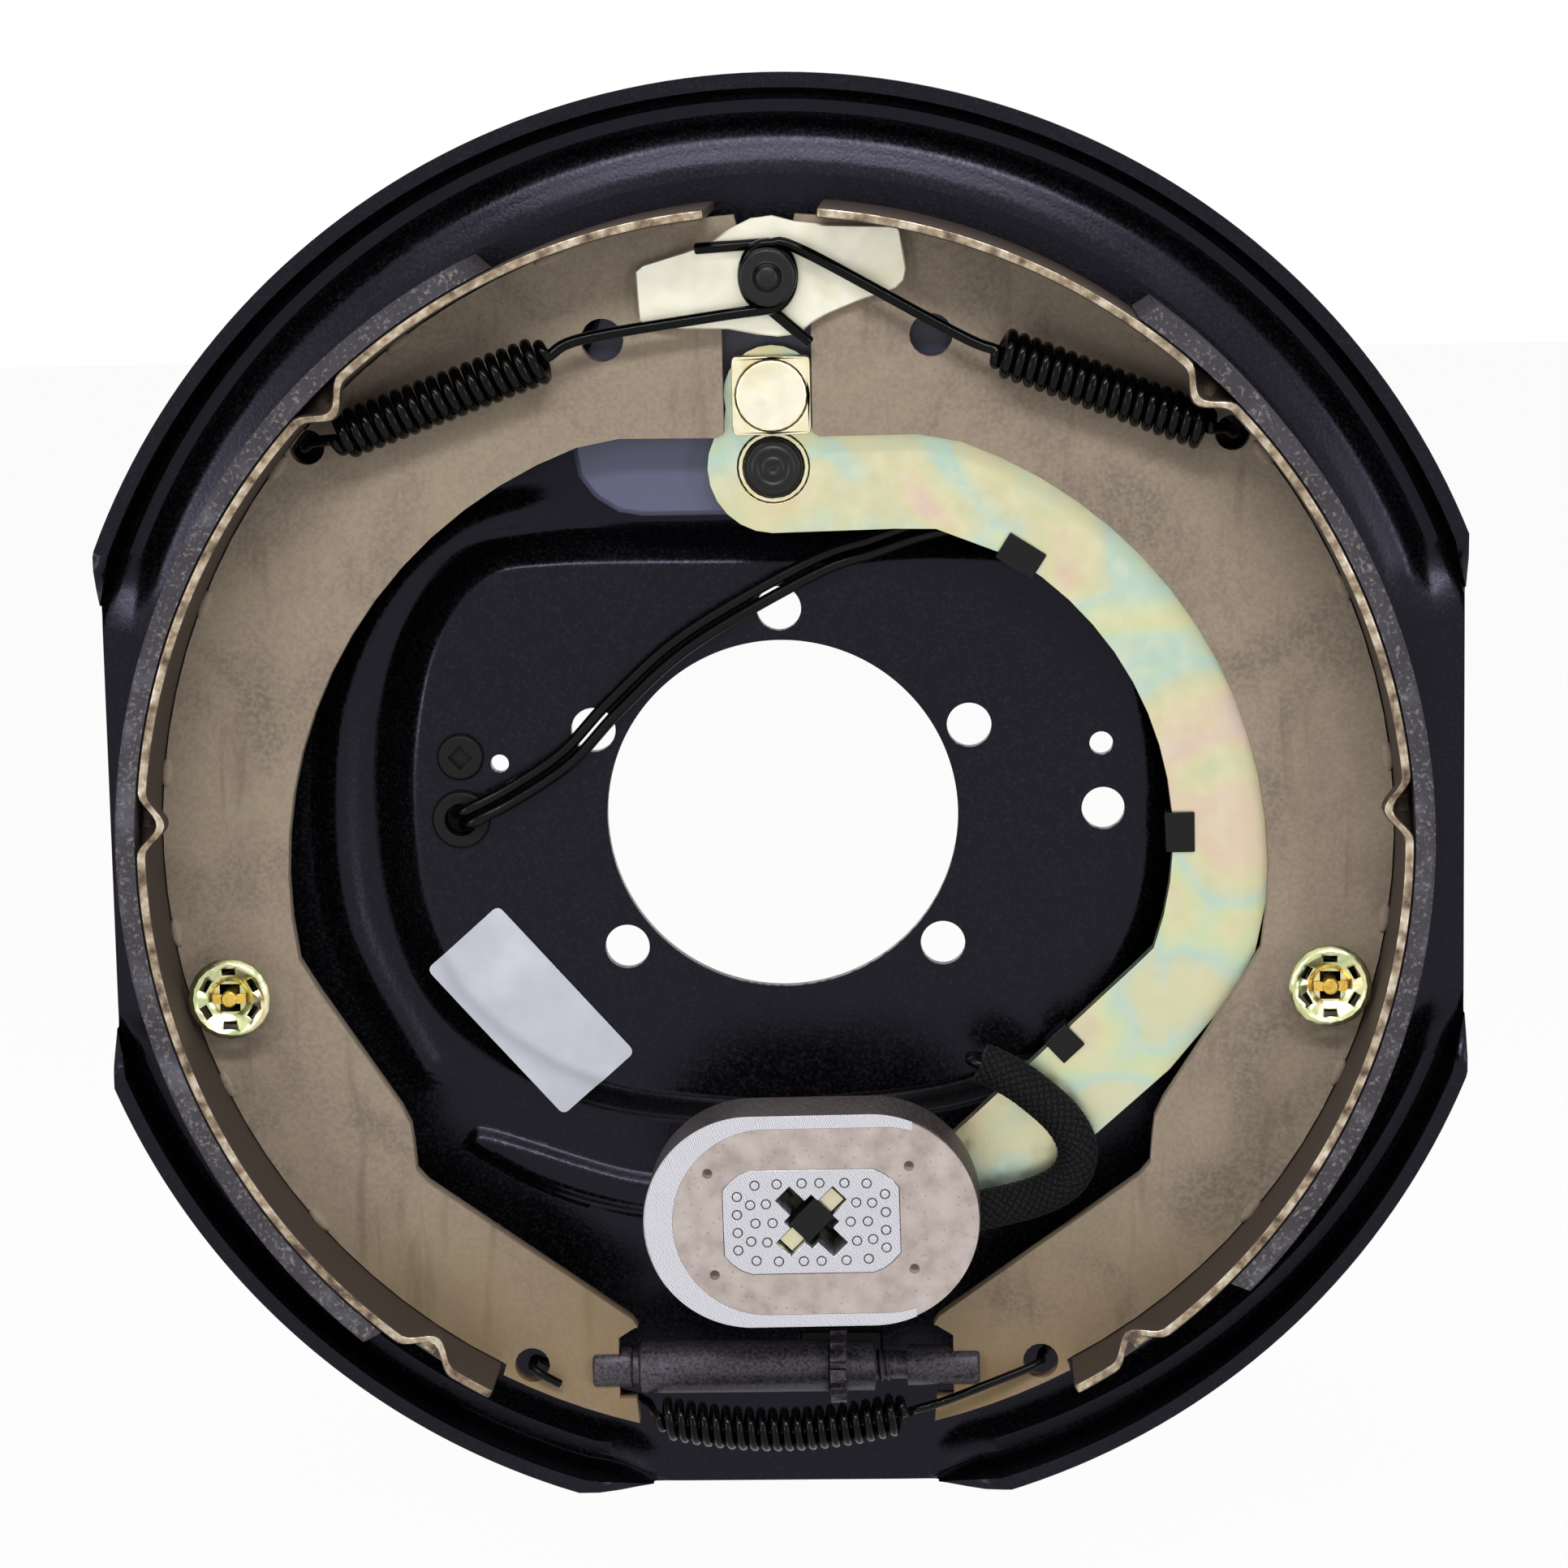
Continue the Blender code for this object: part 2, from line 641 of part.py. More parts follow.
def anchor_post():
    neck_end = GUIDE_FRONT - 0.0068
    rear = FLOOR_REAR + GAP
    profile = [(0.0, neck_end - 0.0034), (0.0022, neck_end - 0.0031), (0.0032, neck_end - 0.0021),
               (0.0034, neck_end - 0.0017), (ANCHOR_FLANGE_RADIUS - 0.0006, neck_end - 0.0017),
               (ANCHOR_FLANGE_RADIUS, neck_end - 0.0011), (ANCHOR_FLANGE_RADIUS, neck_end),
               (ANCHOR_NECK_RADIUS, neck_end), (ANCHOR_NECK_RADIUS, GUIDE_REAR + GAP),
               (ANCHOR_RADIUS, GUIDE_REAR + GAP), (ANCHOR_RADIUS, FLOOR_FRONT - GAP),
               (ANCHOR_SHANK, FLOOR_FRONT - GAP), (ANCHOR_SHANK, rear), (0.0088, rear),
               (0.0088, rear + 0.0016), (0.0070, rear + 0.0030), (0.0, rear + 0.0034)]
    return turned("anchor_post", depth_profile(profile), "phosphate", facing_place(0.0, ANCHOR_Z))


def pivot_post():
    front = LEVER_FRONT - 0.0022
    rear = FLOOR_REAR + GAP
    profile = [(0.0, front), (PIVOT_RADIUS - 0.0008, front), (PIVOT_RADIUS, front + 0.0008),
               (PIVOT_RADIUS, FLOOR_FRONT - GAP), (PIVOT_SHANK, FLOOR_FRONT - GAP), (PIVOT_SHANK, rear),
               (0.0074, rear), (0.0074, rear + 0.0014), (0.0060, rear + 0.0024), (0.0, rear + 0.0028)]
    return turned("pivot_post", depth_profile(profile), "phosphate", facing_place(0.0, PIVOT_Z))


def guide_plate():
    """The pale plate over the shoes' top ends, with a hump above the post and a bay below it."""
    top = [(0.0295, 0.1396), (0.0125, 0.1402), (0.0060, 0.1410), (0.0010, 0.1424), (-0.0040, 0.1418),
           (-0.0085, 0.1396), (-0.0135, 0.1366), (-0.0200, 0.1342), (-0.0290, 0.1316), (-0.0306, 0.1302)]
    bottom = [(-0.0300, 0.1190), (-0.0285, 0.1182), (-0.0195, 0.1167), (-0.0095, 0.1166), (-0.0030, 0.1153),
              (0.0020, 0.1147), (0.0068, 0.1153), (0.0095, 0.1175), (0.0135, 0.1198), (0.0205, 0.1226),
              (0.0292, 0.1254), (0.0310, 0.1270), (0.0316, 0.1298), (0.0304, 0.1384)]
    hole = arc((0.0, ANCHOR_Z), ANCHOR_NECK_RADIUS + GAP, 0, 360 - 360 / 20, 20)
    return flat_piece("guide_plate", [top + bottom, hole], GUIDE_FRONT, GUIDE_THICKNESS, "pale_zinc", 0.0004)


# Lever

LEG_BEND_DEG = -21.0
ARM_OUTER_RADIUS = ARM_INNER_RADIUS + ARM_WIDTH
LEVER_BUSH_GAP = GAP


def lever_outline():
    lobe = arc((0.0, BLOCK_Z), 0.0114, -30, 196, 16)
    head = arc((0.0, PIVOT_Z), 0.0154, 138, 268, 10)
    inner_top = [(0.0280, 0.0692), (0.0375, 0.0690), (0.0462, 0.0656)]
    inner_arc = arc(ARM_CENTRE, ARM_INNER_RADIUS, 58, LEG_BEND_DEG + 1, 14)
    x, z = MAGNET_CENTRE
    leg_in = [(0.0838, -0.0340), (0.0380, -0.0764), (0.0240, -0.0790)]
    boss = arc((x, z), 0.0088, 68, 286, 10)
    leg_out = [(0.0300, -0.0926), (0.0454, -0.0897), (0.0530, -0.0884), (0.0590, -0.0860), (0.0738, -0.0749),
               (0.0908, -0.0599), (0.1050, -0.0430)]
    outer_arc = arc(ARM_CENTRE, ARM_OUTER_RADIUS, -16, 80, 14)
    return lobe + head + inner_top + inner_arc + leg_in + boss + leg_out + outer_arc


def lever_arm():
    bush_hole = arc((0.0, PIVOT_Z), BUSH_RADIUS + LEVER_BUSH_GAP, 0, 360 - 360 / 28, 28)
    arm = flat_piece("lever_arm", [lever_outline(), bush_hole], LEVER_FRONT, LEVER_THICKNESS, "yellow_zinc")
    boss = turned("lever_boss", depth_profile([(0.0, WEB_FRONT + 0.0001), (BOSS_RADIUS - 0.0003, WEB_FRONT + 0.0001),
                                               (BOSS_RADIUS, WEB_FRONT + 0.0004), (BOSS_RADIUS, LEVER_REAR - 0.002),
                                               (0.0, LEVER_REAR - 0.002)]),
                  "yellow_zinc", facing_place(0.0, BLOCK_Z))
    join = arm.modifiers.new("boss", "BOOLEAN")
    join.operation = "UNION"
    join.solver = "EXACT"
    join.object = cutter("lever_boss", boss)
    tenon = box_cutter("tab_slot", (TAB_WIDTH * 0.5 + 2 * GAP, 0.02, TAB_THICKNESS + 2 * GAP), tab_place(LEVER_REAR))
    cut(arm, tenon)
    return arm


def tab_place(y):
    """Centre of the magnet's tab at a depth, its width along the diagonal."""
    x, z = MAGNET_CENTRE
    return Matrix.Translation((x, y, z)) @ Matrix.Rotation(math.radians(-45), 4, "Y")


def magnet_tab():
    """The flat tab that the magnet slides on, shouldered and riveted through the lever."""
    front = MAGNET_FRONT + 0.0024
    shoulder = LEVER_FRONT - GAP
    work = bmesh.new()
    bmesh.ops.create_cube(work, size=1.0)
    bmesh.ops.scale(work, vec=(TAB_WIDTH, shoulder - front, TAB_THICKNESS), verts=work.verts)
    mesh = bpy.data.meshes.new("magnet_tab")
    work.to_mesh(mesh)
    work.free()
    made = add_object("magnet_tab", mesh, "yellow_zinc", tab_place((shoulder + front) / 2))
    tenon = box_cutter("tab_tenon", (TAB_WIDTH * 0.5, LEVER_THICKNESS + 0.002, TAB_THICKNESS - 2 * GAP),
                       tab_place(shoulder + LEVER_THICKNESS / 2))
    join = made.modifiers.new("tenon", "BOOLEAN")
    join.operation = "UNION"
    join.solver = "EXACT"
    join.object = tenon
    return made


def lever_bush():
    front = LEVER_FRONT
    rear = LEVER_REAR
    inner = PIVOT_RADIUS + GAP
    profile = [(inner, front), (BUSH_RADIUS, front), (BUSH_RADIUS, rear), (inner, rear)]
    return turned("lever_bush", depth_profile(profile), "yellow_zinc", facing_place(0.0, PIVOT_Z), closed=True)


def lever_block():
    half = BLOCK_WIDTH / 2
    corners = [(-half, BLOCK_Z - half), (half, BLOCK_Z - half), (half, BLOCK_Z + half), (-half, BLOCK_Z + half)]
    bore = arc((0.0, BLOCK_Z), BLOCK_BORE_RADIUS, 0, 360 - 360 / 32, 32)
    return flat_piece("lever_block", [rounded(corners, 0.0014), bore], WEB_FRONT, WEB_THICKNESS - GAP, "pale_zinc")


def wire_clip(name, x, z, turn_deg, length):
    """A spring clip pressed on the lever's edge, which holds the leads behind it."""
    size = (0.0068, LEVER_THICKNESS + 2 * (GAP + 0.0008), length)
    place = Matrix.Translation((x, (LEVER_FRONT + LEVER_REAR) / 2, z)) @ Matrix.Rotation(math.radians(turn_deg), 4, "Y")
    work = bmesh.new()
    bmesh.ops.create_cube(work, size=1.0)
    bmesh.ops.scale(work, vec=size, verts=work.verts)
    mesh = bpy.data.meshes.new(name)
    work.to_mesh(mesh)
    work.free()
    made = add_object(name, mesh, "spring_steel", place)
    shift = Matrix.Translation((0.0010, 0.0, 0.0))
    mouth = box_cutter(f"{name}_mouth", (size[0], LEVER_THICKNESS + 2 * GAP, length * 2), place @ shift)
    cut(made, mouth)
    return made


# Shoes

SEAT_GAP = GAP
NOTCH_X = 0.0398
NOTCH_TOP = ADJUSTER_Z + 0.0078 - SHOE_CENTRE[1]
NOTCH_BOTTOM = ADJUSTER_Z - 0.0070 - SHOE_CENTRE[1]
TIP_X = 0.0352
TIP_OUTER = TABLE_OUTER
INNER_ARC_CENTRE = (0.008, -0.0095)
INNER_ARC_RADIUS = 0.1068
SPRING_HOLE = (0.1069, 0.0920, 0.0041)
LOWER_HOLE = (0.0605, -0.1278, 0.0042)
ROUND_HOLE = (0.0379, 0.1156, 0.0050)


def web_outline():
    """The right-hand web about the shoe's centre, counterclockwise from the anchor's seat."""
    seat_centre = (-SHOE_CENTRE[0], ANCHOR_Z - SHOE_CENTRE[1])
    seat = arc(seat_centre, ANCHOR_RADIUS + SEAT_GAP, 50, -40, 9)
    block_edge = BLOCK_WIDTH / 2 + GAP - SHOE_CENTRE[0]
    edge = [(block_edge, seat[-1][1] - 0.0012), (block_edge, 0.0935), (block_edge + 0.0016, 0.0926), (0.0345, 0.0928)]
    inner = arc(INNER_ARC_CENTRE, INNER_ARC_RADIUS, 70, -10.5, 16)
    lower = [(0.1085, -0.0365), (0.0900, -0.0646), (0.0879, -0.0690), (0.0873, -0.0735), (0.0868, -0.0800),
             (0.0842, -0.0830), (0.0365, -0.1168), (TIP_X, -0.1188), (TIP_X + 0.0008, NOTCH_TOP + 0.0024),
             (NOTCH_X, NOTCH_TOP), (NOTCH_X, NOTCH_BOTTOM), (TIP_X + 0.0006, NOTCH_BOTTOM)]
    tip_turn = math.degrees(math.acos(TIP_X / TIP_OUTER))
    tip = arc((0.0, 0.0), TIP_OUTER, -tip_turn, TABLE_BOTTOM_DEG - 0.6, 6)
    under_table = arc((0.0, 0.0), WEB_OUTER, TABLE_BOTTOM_DEG - 0.4, 87.2, 40)
    crown = [(0.0056, seat[0][1] + 0.0016)]
    return seat + edge + inner + lower + tip + under_table + crown


def circle_hole(x, z, radius, count=18):
    return arc((x, z), radius, 0, 360 - 360 / count, count)


def shoe_web(name, side):
    turn = math.radians(HOLD_DOWN_DEG)
    pin_hole = (HOLD_DOWN_RADIUS * math.cos(turn), HOLD_DOWN_RADIUS * math.sin(turn), WEB_PIN_HOLE)
    holes = [circle_hole(*hole) for hole in (SPRING_HOLE, LOWER_HOLE, ROUND_HOLE, pin_hole)]
    outlines = [mirrored(points, RIGHT, SHOE_CENTRE) for points in [web_outline(), *holes]]
    web = flat_piece(name, outlines, WEB_FRONT, WEB_THICKNESS, "primer")
    if side == LEFT:
        for point in web.data.vertices:
            point.co.x = 2 * SHOE_CENTRE[0] - point.co.x
        web.data.flip_normals()
    return web


def dent_depth(turn_deg, from_edge):
    """How far the table is pressed inwards, at an angle and a distance from its nearer edge."""
    across = 1.0 - smoothstep(DENT_REACH * 0.55, DENT_REACH, from_edge)
    for middle in DENT_DEG:
        off = abs(math.radians(turn_deg - middle)) * TABLE_INNER
        if off < DENT_HALF_WIDTH:
            return DENT_DEPTH * across * 0.5 * (1 + math.cos(math.pi * off / DENT_HALF_WIDTH))
    return 0.0


def table_turns():
    """Angles along the table, close together at the dents."""
    turns = {TABLE_TOP_DEG, TABLE_BOTTOM_DEG}
    half = math.degrees(DENT_HALF_WIDTH / TABLE_INNER)
    for middle in DENT_DEG:
        turns.update(middle + half * k / 3 for k in range(-3, 4))
    last = min(turns)
    filled = []
    for turn in sorted(turns):
        gap = turn - last
        parts = max(1, math.ceil(gap / 5.5))
        filled.extend(last + gap * k / parts for k in range(1, parts + 1))
        last = turn
    return [min(turns)] + [t for t in filled if t > min(turns)]


def shoe_table(name, side):
    """The shoe's curved table, an open sheet at its inner face that is thickened outwards."""
    turns = table_turns()
    rows = [0.0, DENT_REACH * 0.55, DENT_REACH, SHOE_WIDTH - DENT_REACH, SHOE_WIDTH - DENT_REACH * 0.55, SHOE_WIDTH]
    work = bmesh.new()
    grid = []
    for turn in turns:
        column = []
        for row in rows:
            radius = TABLE_INNER - dent_depth(turn, min(row, SHOE_WIDTH - row))
            x = SHOE_CENTRE[0] + side * radius * math.cos(math.radians(turn))
            z = SHOE_CENTRE[1] + radius * math.sin(math.radians(turn))
            column.append(work.verts.new((x, SHOE_FRONT + row, z)))
        grid.append(column)
    for here, there in zip(grid, grid[1:]):
        for k in range(len(rows) - 1):
            work.faces.new((here[k], here[k + 1], there[k + 1], there[k]))
    mesh = bpy.data.meshes.new(name)
    work.to_mesh(mesh)
    work.free()
    middle = mesh.polygons[len(mesh.polygons) // 2]
    outward = Vector((middle.center.x - SHOE_CENTRE[0], 0.0, middle.center.z - SHOE_CENTRE[1]))
    if middle.normal.dot(outward) > 0:
        mesh.flip_normals()
    smooth(mesh)
    made = add_object(name, mesh, "table_steel")
    wall = made.modifiers.new("sheet", "SOLIDIFY")
    wall.thickness = TABLE_THICKNESS
    wall.offset = -1.0
    return made


def lining(name, side, span):
    """A lining block bonded to the table, its ends chamfered."""
    start, end = span
    outer = arc((0.0, 0.0), LINING_RADIUS, start - 0.7, end + 0.7, 26)
    inner = arc((0.0, 0.0), TABLE_OUTER + GAP, end, start, 26)
    return flat_piece(name, [mirrored(outer + inner, side, SHOE_CENTRE)], SHOE_FRONT, SHOE_WIDTH, "lining")


# Springs

COIL_Y = WEB_FRONT - GAP - RETURN_SPRING_RADIUS - RETURN_WIRE / 2 - 0.0006


def return_spring(name, side, outer, inner, route_in, hook_turns):
    """A close coil with a hook in the web's hole at one end and one round the anchor at the other."""
    start = (outer[0], COIL_Y, outer[1])
    end = (inner[0], COIL_Y, inner[1])
    turns = coil(start, end, RETURN_SPRING_RADIUS, RETURN_TURNS)
    x, z = mirrored([SPRING_HOLE[:2]], side, SHOE_CENTRE)[0]
    behind = WEB_REAR + RETURN_WIRE / 2 + 0.0005
    hook_out = through([(x + side * -0.0040, behind, z + 0.0032), (x + side * -0.0008, behind - 0.0002, z + 0.0008),
                        (x, WEB_MIDDLE, z), (x, WEB_FRONT - 0.0022, z),
                        (x - side * 0.0022, COIL_Y + 0.0012, z + 0.0016), turns[0]], 12)[:-1]
    radius = RETURN_WIRE / 2
    loop_rear = GUIDE_FRONT - radius - GAP - 0.0001
    loop_front = loop_rear - RETURN_WIRE - GAP
    loop = []
    for k in range(11):
        t = k / 10
        angle = math.radians(hook_turns[0] + (hook_turns[1] - hook_turns[0]) * t)
        y = loop_front + (loop_rear - loop_front) * smoothstep(0.0, 1.0, t)
        loop.append((0.00565 * math.cos(angle), y, ANCHOR_Z + 0.0074 * math.sin(angle)))
    tail = (route_in[-1][0], loop_rear, route_in[-1][1])
    lead = [(a, loop_front + 0.0004, b) for a, b in route_in[:-1]]
    hook_in = through([turns[-1], *lead, loop[0]], 7)[1:-1]
    return wire(name, hook_out + turns + hook_in + loop + [tail], radius, "spring_steel")


def lower_spring():
    """The adjuster spring, which sags in front of the star wheel and hooks into both webs."""
    radius = LOWER_WIRE / 2
    y = WEB_FRONT - 0.0083
    start, end = (-0.0312, y, -0.1373), (0.0271, y, -0.1379)
    turns = coil(start, end, LOWER_SPRING_RADIUS, LOWER_TURNS, sag=LOWER_SAG)
    left = mirrored([LOWER_HOLE[:2]], LEFT, SHOE_CENTRE)[0]
    right = mirrored([LOWER_HOLE[:2]], RIGHT, SHOE_CENTRE)[0]
    behind = WEB_REAR + radius + 0.0006
    front = WEB_FRONT - radius - 0.0006
    hook_left = through([(left[0] + 0.0066, front, left[1] - 0.0042), (left[0] + 0.0008, front, left[1] - 0.0008),
                         (left[0], WEB_MIDDLE, left[1]), (left[0] + 0.0010, behind, left[1] - 0.0004),
                         (left[0] + 0.0080, behind, left[1] - 0.0040), (-0.0430, behind, -0.1372),
                         (-0.0362, behind - 0.0006, -0.1390), (-0.0338, WEB_MIDDLE, -0.1395),
                         (-0.0325, front - 0.0030, -0.1393), turns[0]], 22)[:-1]
    hook_right = through([turns[-1], (0.0300, front - 0.0034, -0.1392), (0.0370, front - 0.0030, -0.1372),
                          (0.0470, front - 0.0026, -0.1334), (right[0] - 0.0030, front - 0.0004, right[1] - 0.0012), (right[0], front + 0.0012, right[1]),
                          (right[0], WEB_MIDDLE, right[1]), (right[0] + 0.0008, behind, right[1] + 0.0006),
                          (right[0] + 0.0040, behind, right[1] + 0.0030)], 16)[1:]
    return wire("lower_spring", hook_left + turns + hook_right, radius, "spring_steel")


# Adjuster

LEFT_NOTCH = SHOE_CENTRE[0] - NOTCH_X
RIGHT_NOTCH = SHOE_CENTRE[0] + NOTCH_X
FORK_REACH = 0.0062
TUBE_LEFT = -0.0354
STAR_LEFT = 0.0097
STAR_THICKNESS = 0.0038
HUB_RIGHT = 0.0205
THREAD_RIGHT = 0.0279


def adjuster_place():
    return Matrix.Translation((0.0, WEB_MIDDLE, ADJUSTER_Z)) @ ALONG_X


def fork_slot(name, bottom, tip):
    """The slot that lets the fork straddle a web."""
    middle = (bottom + tip) / 2
    return box_cutter(name, (abs(tip - bottom), WEB_THICKNESS + 2 * GAP, 0.03),
                      Matrix.Translation((middle, WEB_MIDDLE, ADJUSTER_Z)))


def adjuster_socket():
    tip = LEFT_NOTCH - FORK_REACH
    slot_bottom = LEFT_NOTCH + GAP
    bore_end = STAR_LEFT - 0.020
    right = STAR_LEFT - GAP
    profile = [(TUBE_BORE_RADIUS, right), (TUBE_RADIUS, right), (TUBE_RADIUS, TUBE_LEFT),
               (FORK_RADIUS - 0.0007, TUBE_LEFT - 0.0006), (FORK_RADIUS - 0.0007, TUBE_LEFT - 0.0020),
               (FORK_RADIUS, TUBE_LEFT - 0.0024), (FORK_RADIUS, tip + 0.0005), (FORK_RADIUS - 0.0005, tip), (0.0, tip)]
    profile = [(0.0, bore_end), (TUBE_BORE_RADIUS, bore_end)] + profile
    made = turned("adjuster_socket", profile, "phosphate", adjuster_place(), segments=24)
    cut(made, fork_slot("left_fork_slot", slot_bottom, tip - 0.005))
    return made


def star_outline():
    """The star wheel's edge, square teeth with gaps as wide."""
    points = []
    root = STAR_RADIUS - 0.0018
    for k in range(STAR_TEETH):
        middle = 2 * math.pi * k / STAR_TEETH
        half_tip, half_root = 0.28 * math.pi / STAR_TEETH * 2, 0.34 * math.pi / STAR_TEETH * 2
        for radius, off in ((root, -half_root), (STAR_RADIUS, -half_tip), (STAR_RADIUS, half_tip), (root, half_root)):
            angle = middle + off
            points.append((radius * math.cos(angle), radius * math.sin(angle)))
    return points


def adjuster_nut():
    """The star wheel with its threaded hub and the pilot that turns in the socket."""
    left = STAR_LEFT - 0.018
    profile = [(NUT_BORE_RADIUS, HUB_RIGHT), (HUB_RADIUS - 0.0004, HUB_RIGHT), (HUB_RADIUS, HUB_RIGHT - 0.0004),
               (HUB_RADIUS, STAR_LEFT + 0.0004), (PILOT_RADIUS, STAR_LEFT + 0.0004), (PILOT_RADIUS, left),
               (NUT_BORE_RADIUS, left)]
    made = turned("adjuster_nut", profile, "phosphate", adjuster_place(), segments=20, closed=True)
    curve = bpy.data.curves.new("star", "CURVE")
    curve.dimensions = "2D"
    curve.fill_mode = "BOTH"
    curve.extrude = STAR_THICKNESS / 2
    curve.render_resolution_u = 0
    for outline in (star_outline(), arc((0.0, 0.0), HUB_RADIUS - 0.0008, 0, 360 - 15, 24)):
        spline = curve.splines.new("POLY")
        spline.points.add(len(outline) - 1)
        for point, (x, z) in zip(spline.points, outline):
            point.co = (x, z, 0.0, 1.0)
        spline.use_cyclic_u = True
    shift = Matrix.Translation((0.0, 0.0, STAR_LEFT + STAR_THICKNESS / 2))
    star = curve_to_mesh(add_object("star", curve, "phosphate", adjuster_place() @ shift))
    join = made.modifiers.new("star", "BOOLEAN")
    join.operation = "UNION"
    join.solver = "EXACT"
    join.object = cutter("star", star)
    return made


def adjuster_screw():
    tip = RIGHT_NOTCH + FORK_REACH
    slot_bottom = RIGHT_NOTCH - GAP
    left = STAR_LEFT - 0.014
    profile = [(0.0, tip), (FORK_RADIUS - 0.0005, tip), (FORK_RADIUS, tip - 0.0005), (FORK_RADIUS, THREAD_RIGHT),
               (THREAD_RADIUS - 0.0006, THREAD_RIGHT), (THREAD_RADIUS - 0.0006, THREAD_RIGHT - 0.0026),
               (THREAD_RADIUS, THREAD_RIGHT - 0.0029), (THREAD_RADIUS, left + 0.0006), (THREAD_RADIUS - 0.0006, left),
               (0.0, left)]
    made = turned("adjuster_screw", profile, "phosphate", adjuster_place(), segments=24)
    cut(made, fork_slot("right_fork_slot", slot_bottom, tip + 0.005))
    return made


# Hold-downs

CUP_REAR = WEB_FRONT - 0.0062
CUP_FRONT = CUP_REAR - 0.0026


def hold_down_cup(name, x, z):
    """A dished cup with six slots about a seat for the pin's head."""
    front, rear = CUP_FRONT, CUP_REAR
    slot_inner, slot_outer = 0.0052, 0.0073
    profile = [(0.0, rear - 0.0004), (0.0040, rear - 0.0004), (slot_inner, rear - 0.0012),
               (slot_outer, rear - 0.0020), (CUP_RADIUS - 0.0012, front), (CUP_RADIUS, front + 0.0008),
               (CUP_RADIUS, front + 0.0020), (CUP_RADIUS - 0.0008, front + 0.0022), (slot_outer, rear - 0.0008),
               (slot_inner, rear), (0.0040, rear + 0.0008), (0.0, rear + 0.0008)]
    made = turned(name, depth_profile(profile), "yellow_zinc", facing_place(x, z), segments=20)
    for k in range(6):
        turn = math.radians(60 * k + 30)
        reach = (slot_inner + slot_outer) / 2 + 0.0001
        place = (Matrix.Translation((x + reach * math.cos(turn), (front + rear) / 2, z + reach * math.sin(turn)))
                 @ Matrix.Rotation(-turn, 4, "Y"))
        cut(made, box_cutter(f"{name}_slot_{k + 1}", (0.0017, 0.012, 0.0032), place))
    cut(made, box_cutter(f"{name}_key", (0.0048, 0.02, 0.0066), Matrix.Translation((x, rear, z))))
    return made


def hold_down_pin(name, x, z):
    """A nail with its head behind the plate and a flattened end that locks across the cup."""
    rear = FLOOR_REAR + GAP
    tip = CUP_REAR - 0.0027
    profile = [(0.0, tip), (PIN_RADIUS - 0.0003, tip), (PIN_RADIUS, tip + 0.0003), (PIN_RADIUS, rear),
               (0.0042, rear), (0.0042, rear + 0.0010), (0.0034, rear + 0.0015), (0.0, rear + 0.0015)]
    made = turned(name, depth_profile(profile), "yellow_zinc", facing_place(x, z), segments=16)
    head = box_cutter(f"{name}_head", (0.0078, 0.0016, 0.0021), Matrix.Translation((x, tip + 0.0012, z)))
    join = made.modifiers.new("head", "BOOLEAN")
    join.operation = "UNION"
    join.solver = "EXACT"
    join.object = head
    return made


def hold_down_spring(name, x, z):
    radius = 0.0006
    start = (x, WEB_FRONT - radius - GAP, z)
    end = (x, CUP_REAR - 0.0004 + radius + GAP + 0.0011, z)
    turns = 2.0
    points = []
    for i in range(int(turns * 12) + 1):
        t = i / (turns * 12)
        angle = 2 * math.pi * turns * t
        y = start[1] + (end[1] - start[1]) * t
        points.append((x + 0.0062 * math.cos(angle), y, z + 0.0062 * math.sin(angle)))
    return wire(name, points, radius, "spring_steel")


# Magnet

def stadium(length, height, count=10):
    """A racetrack outline about the magnet's centre, in its own tilted frame."""
    radius = height / 2
    half = length / 2 - radius
    return arc((half, 0.0), radius, -90, 90, count) + arc((-half, 0.0), radius, 90, 270, count)


def magnet_frame(points, shift=0.0):
    turn = math.radians(MAGNET_TILT_DEG)
    x0, z0 = MAGNET_CENTRE
    return [(x0 + (x + shift) * math.cos(turn) - z * math.sin(turn), z0 + (x + shift) * math.sin(turn) + z * math.cos(turn))
            for x, z in points]


CROSS_ARM = 0.0047
CROSS_LENGTH = 0.0188
CROSS_MIDDLE = 0.0090


def cross_cut(target, name):
    """The X-shaped hole that lets the tab and its clip through."""
    x, z = MAGNET_CENTRE
    for key, size, turn in (("a", (CROSS_LENGTH, 0.05, CROSS_ARM), 45), ("b", (CROSS_LENGTH, 0.05, CROSS_ARM), -45),
                            ("m", (CROSS_MIDDLE, 0.05, CROSS_MIDDLE), 45)):
        place = Matrix.Translation((x, MAGNET_FRONT, z)) @ Matrix.Rotation(math.radians(turn), 4, "Y")
        cut(target, box_cutter(f"{name}_{key}", size, place))


def core_outline():
    half, high = CORE_LENGTH / 2, CORE_HEIGHT / 2
    quarter = [(half, 0.0078), (0.0185, 0.0098), (0.0165, 0.0113), (0.0140, high)]
    right = [(x, -z) for x, z in reversed(quarter)] + quarter
    return right + [(-x, -z) for x, z in right]


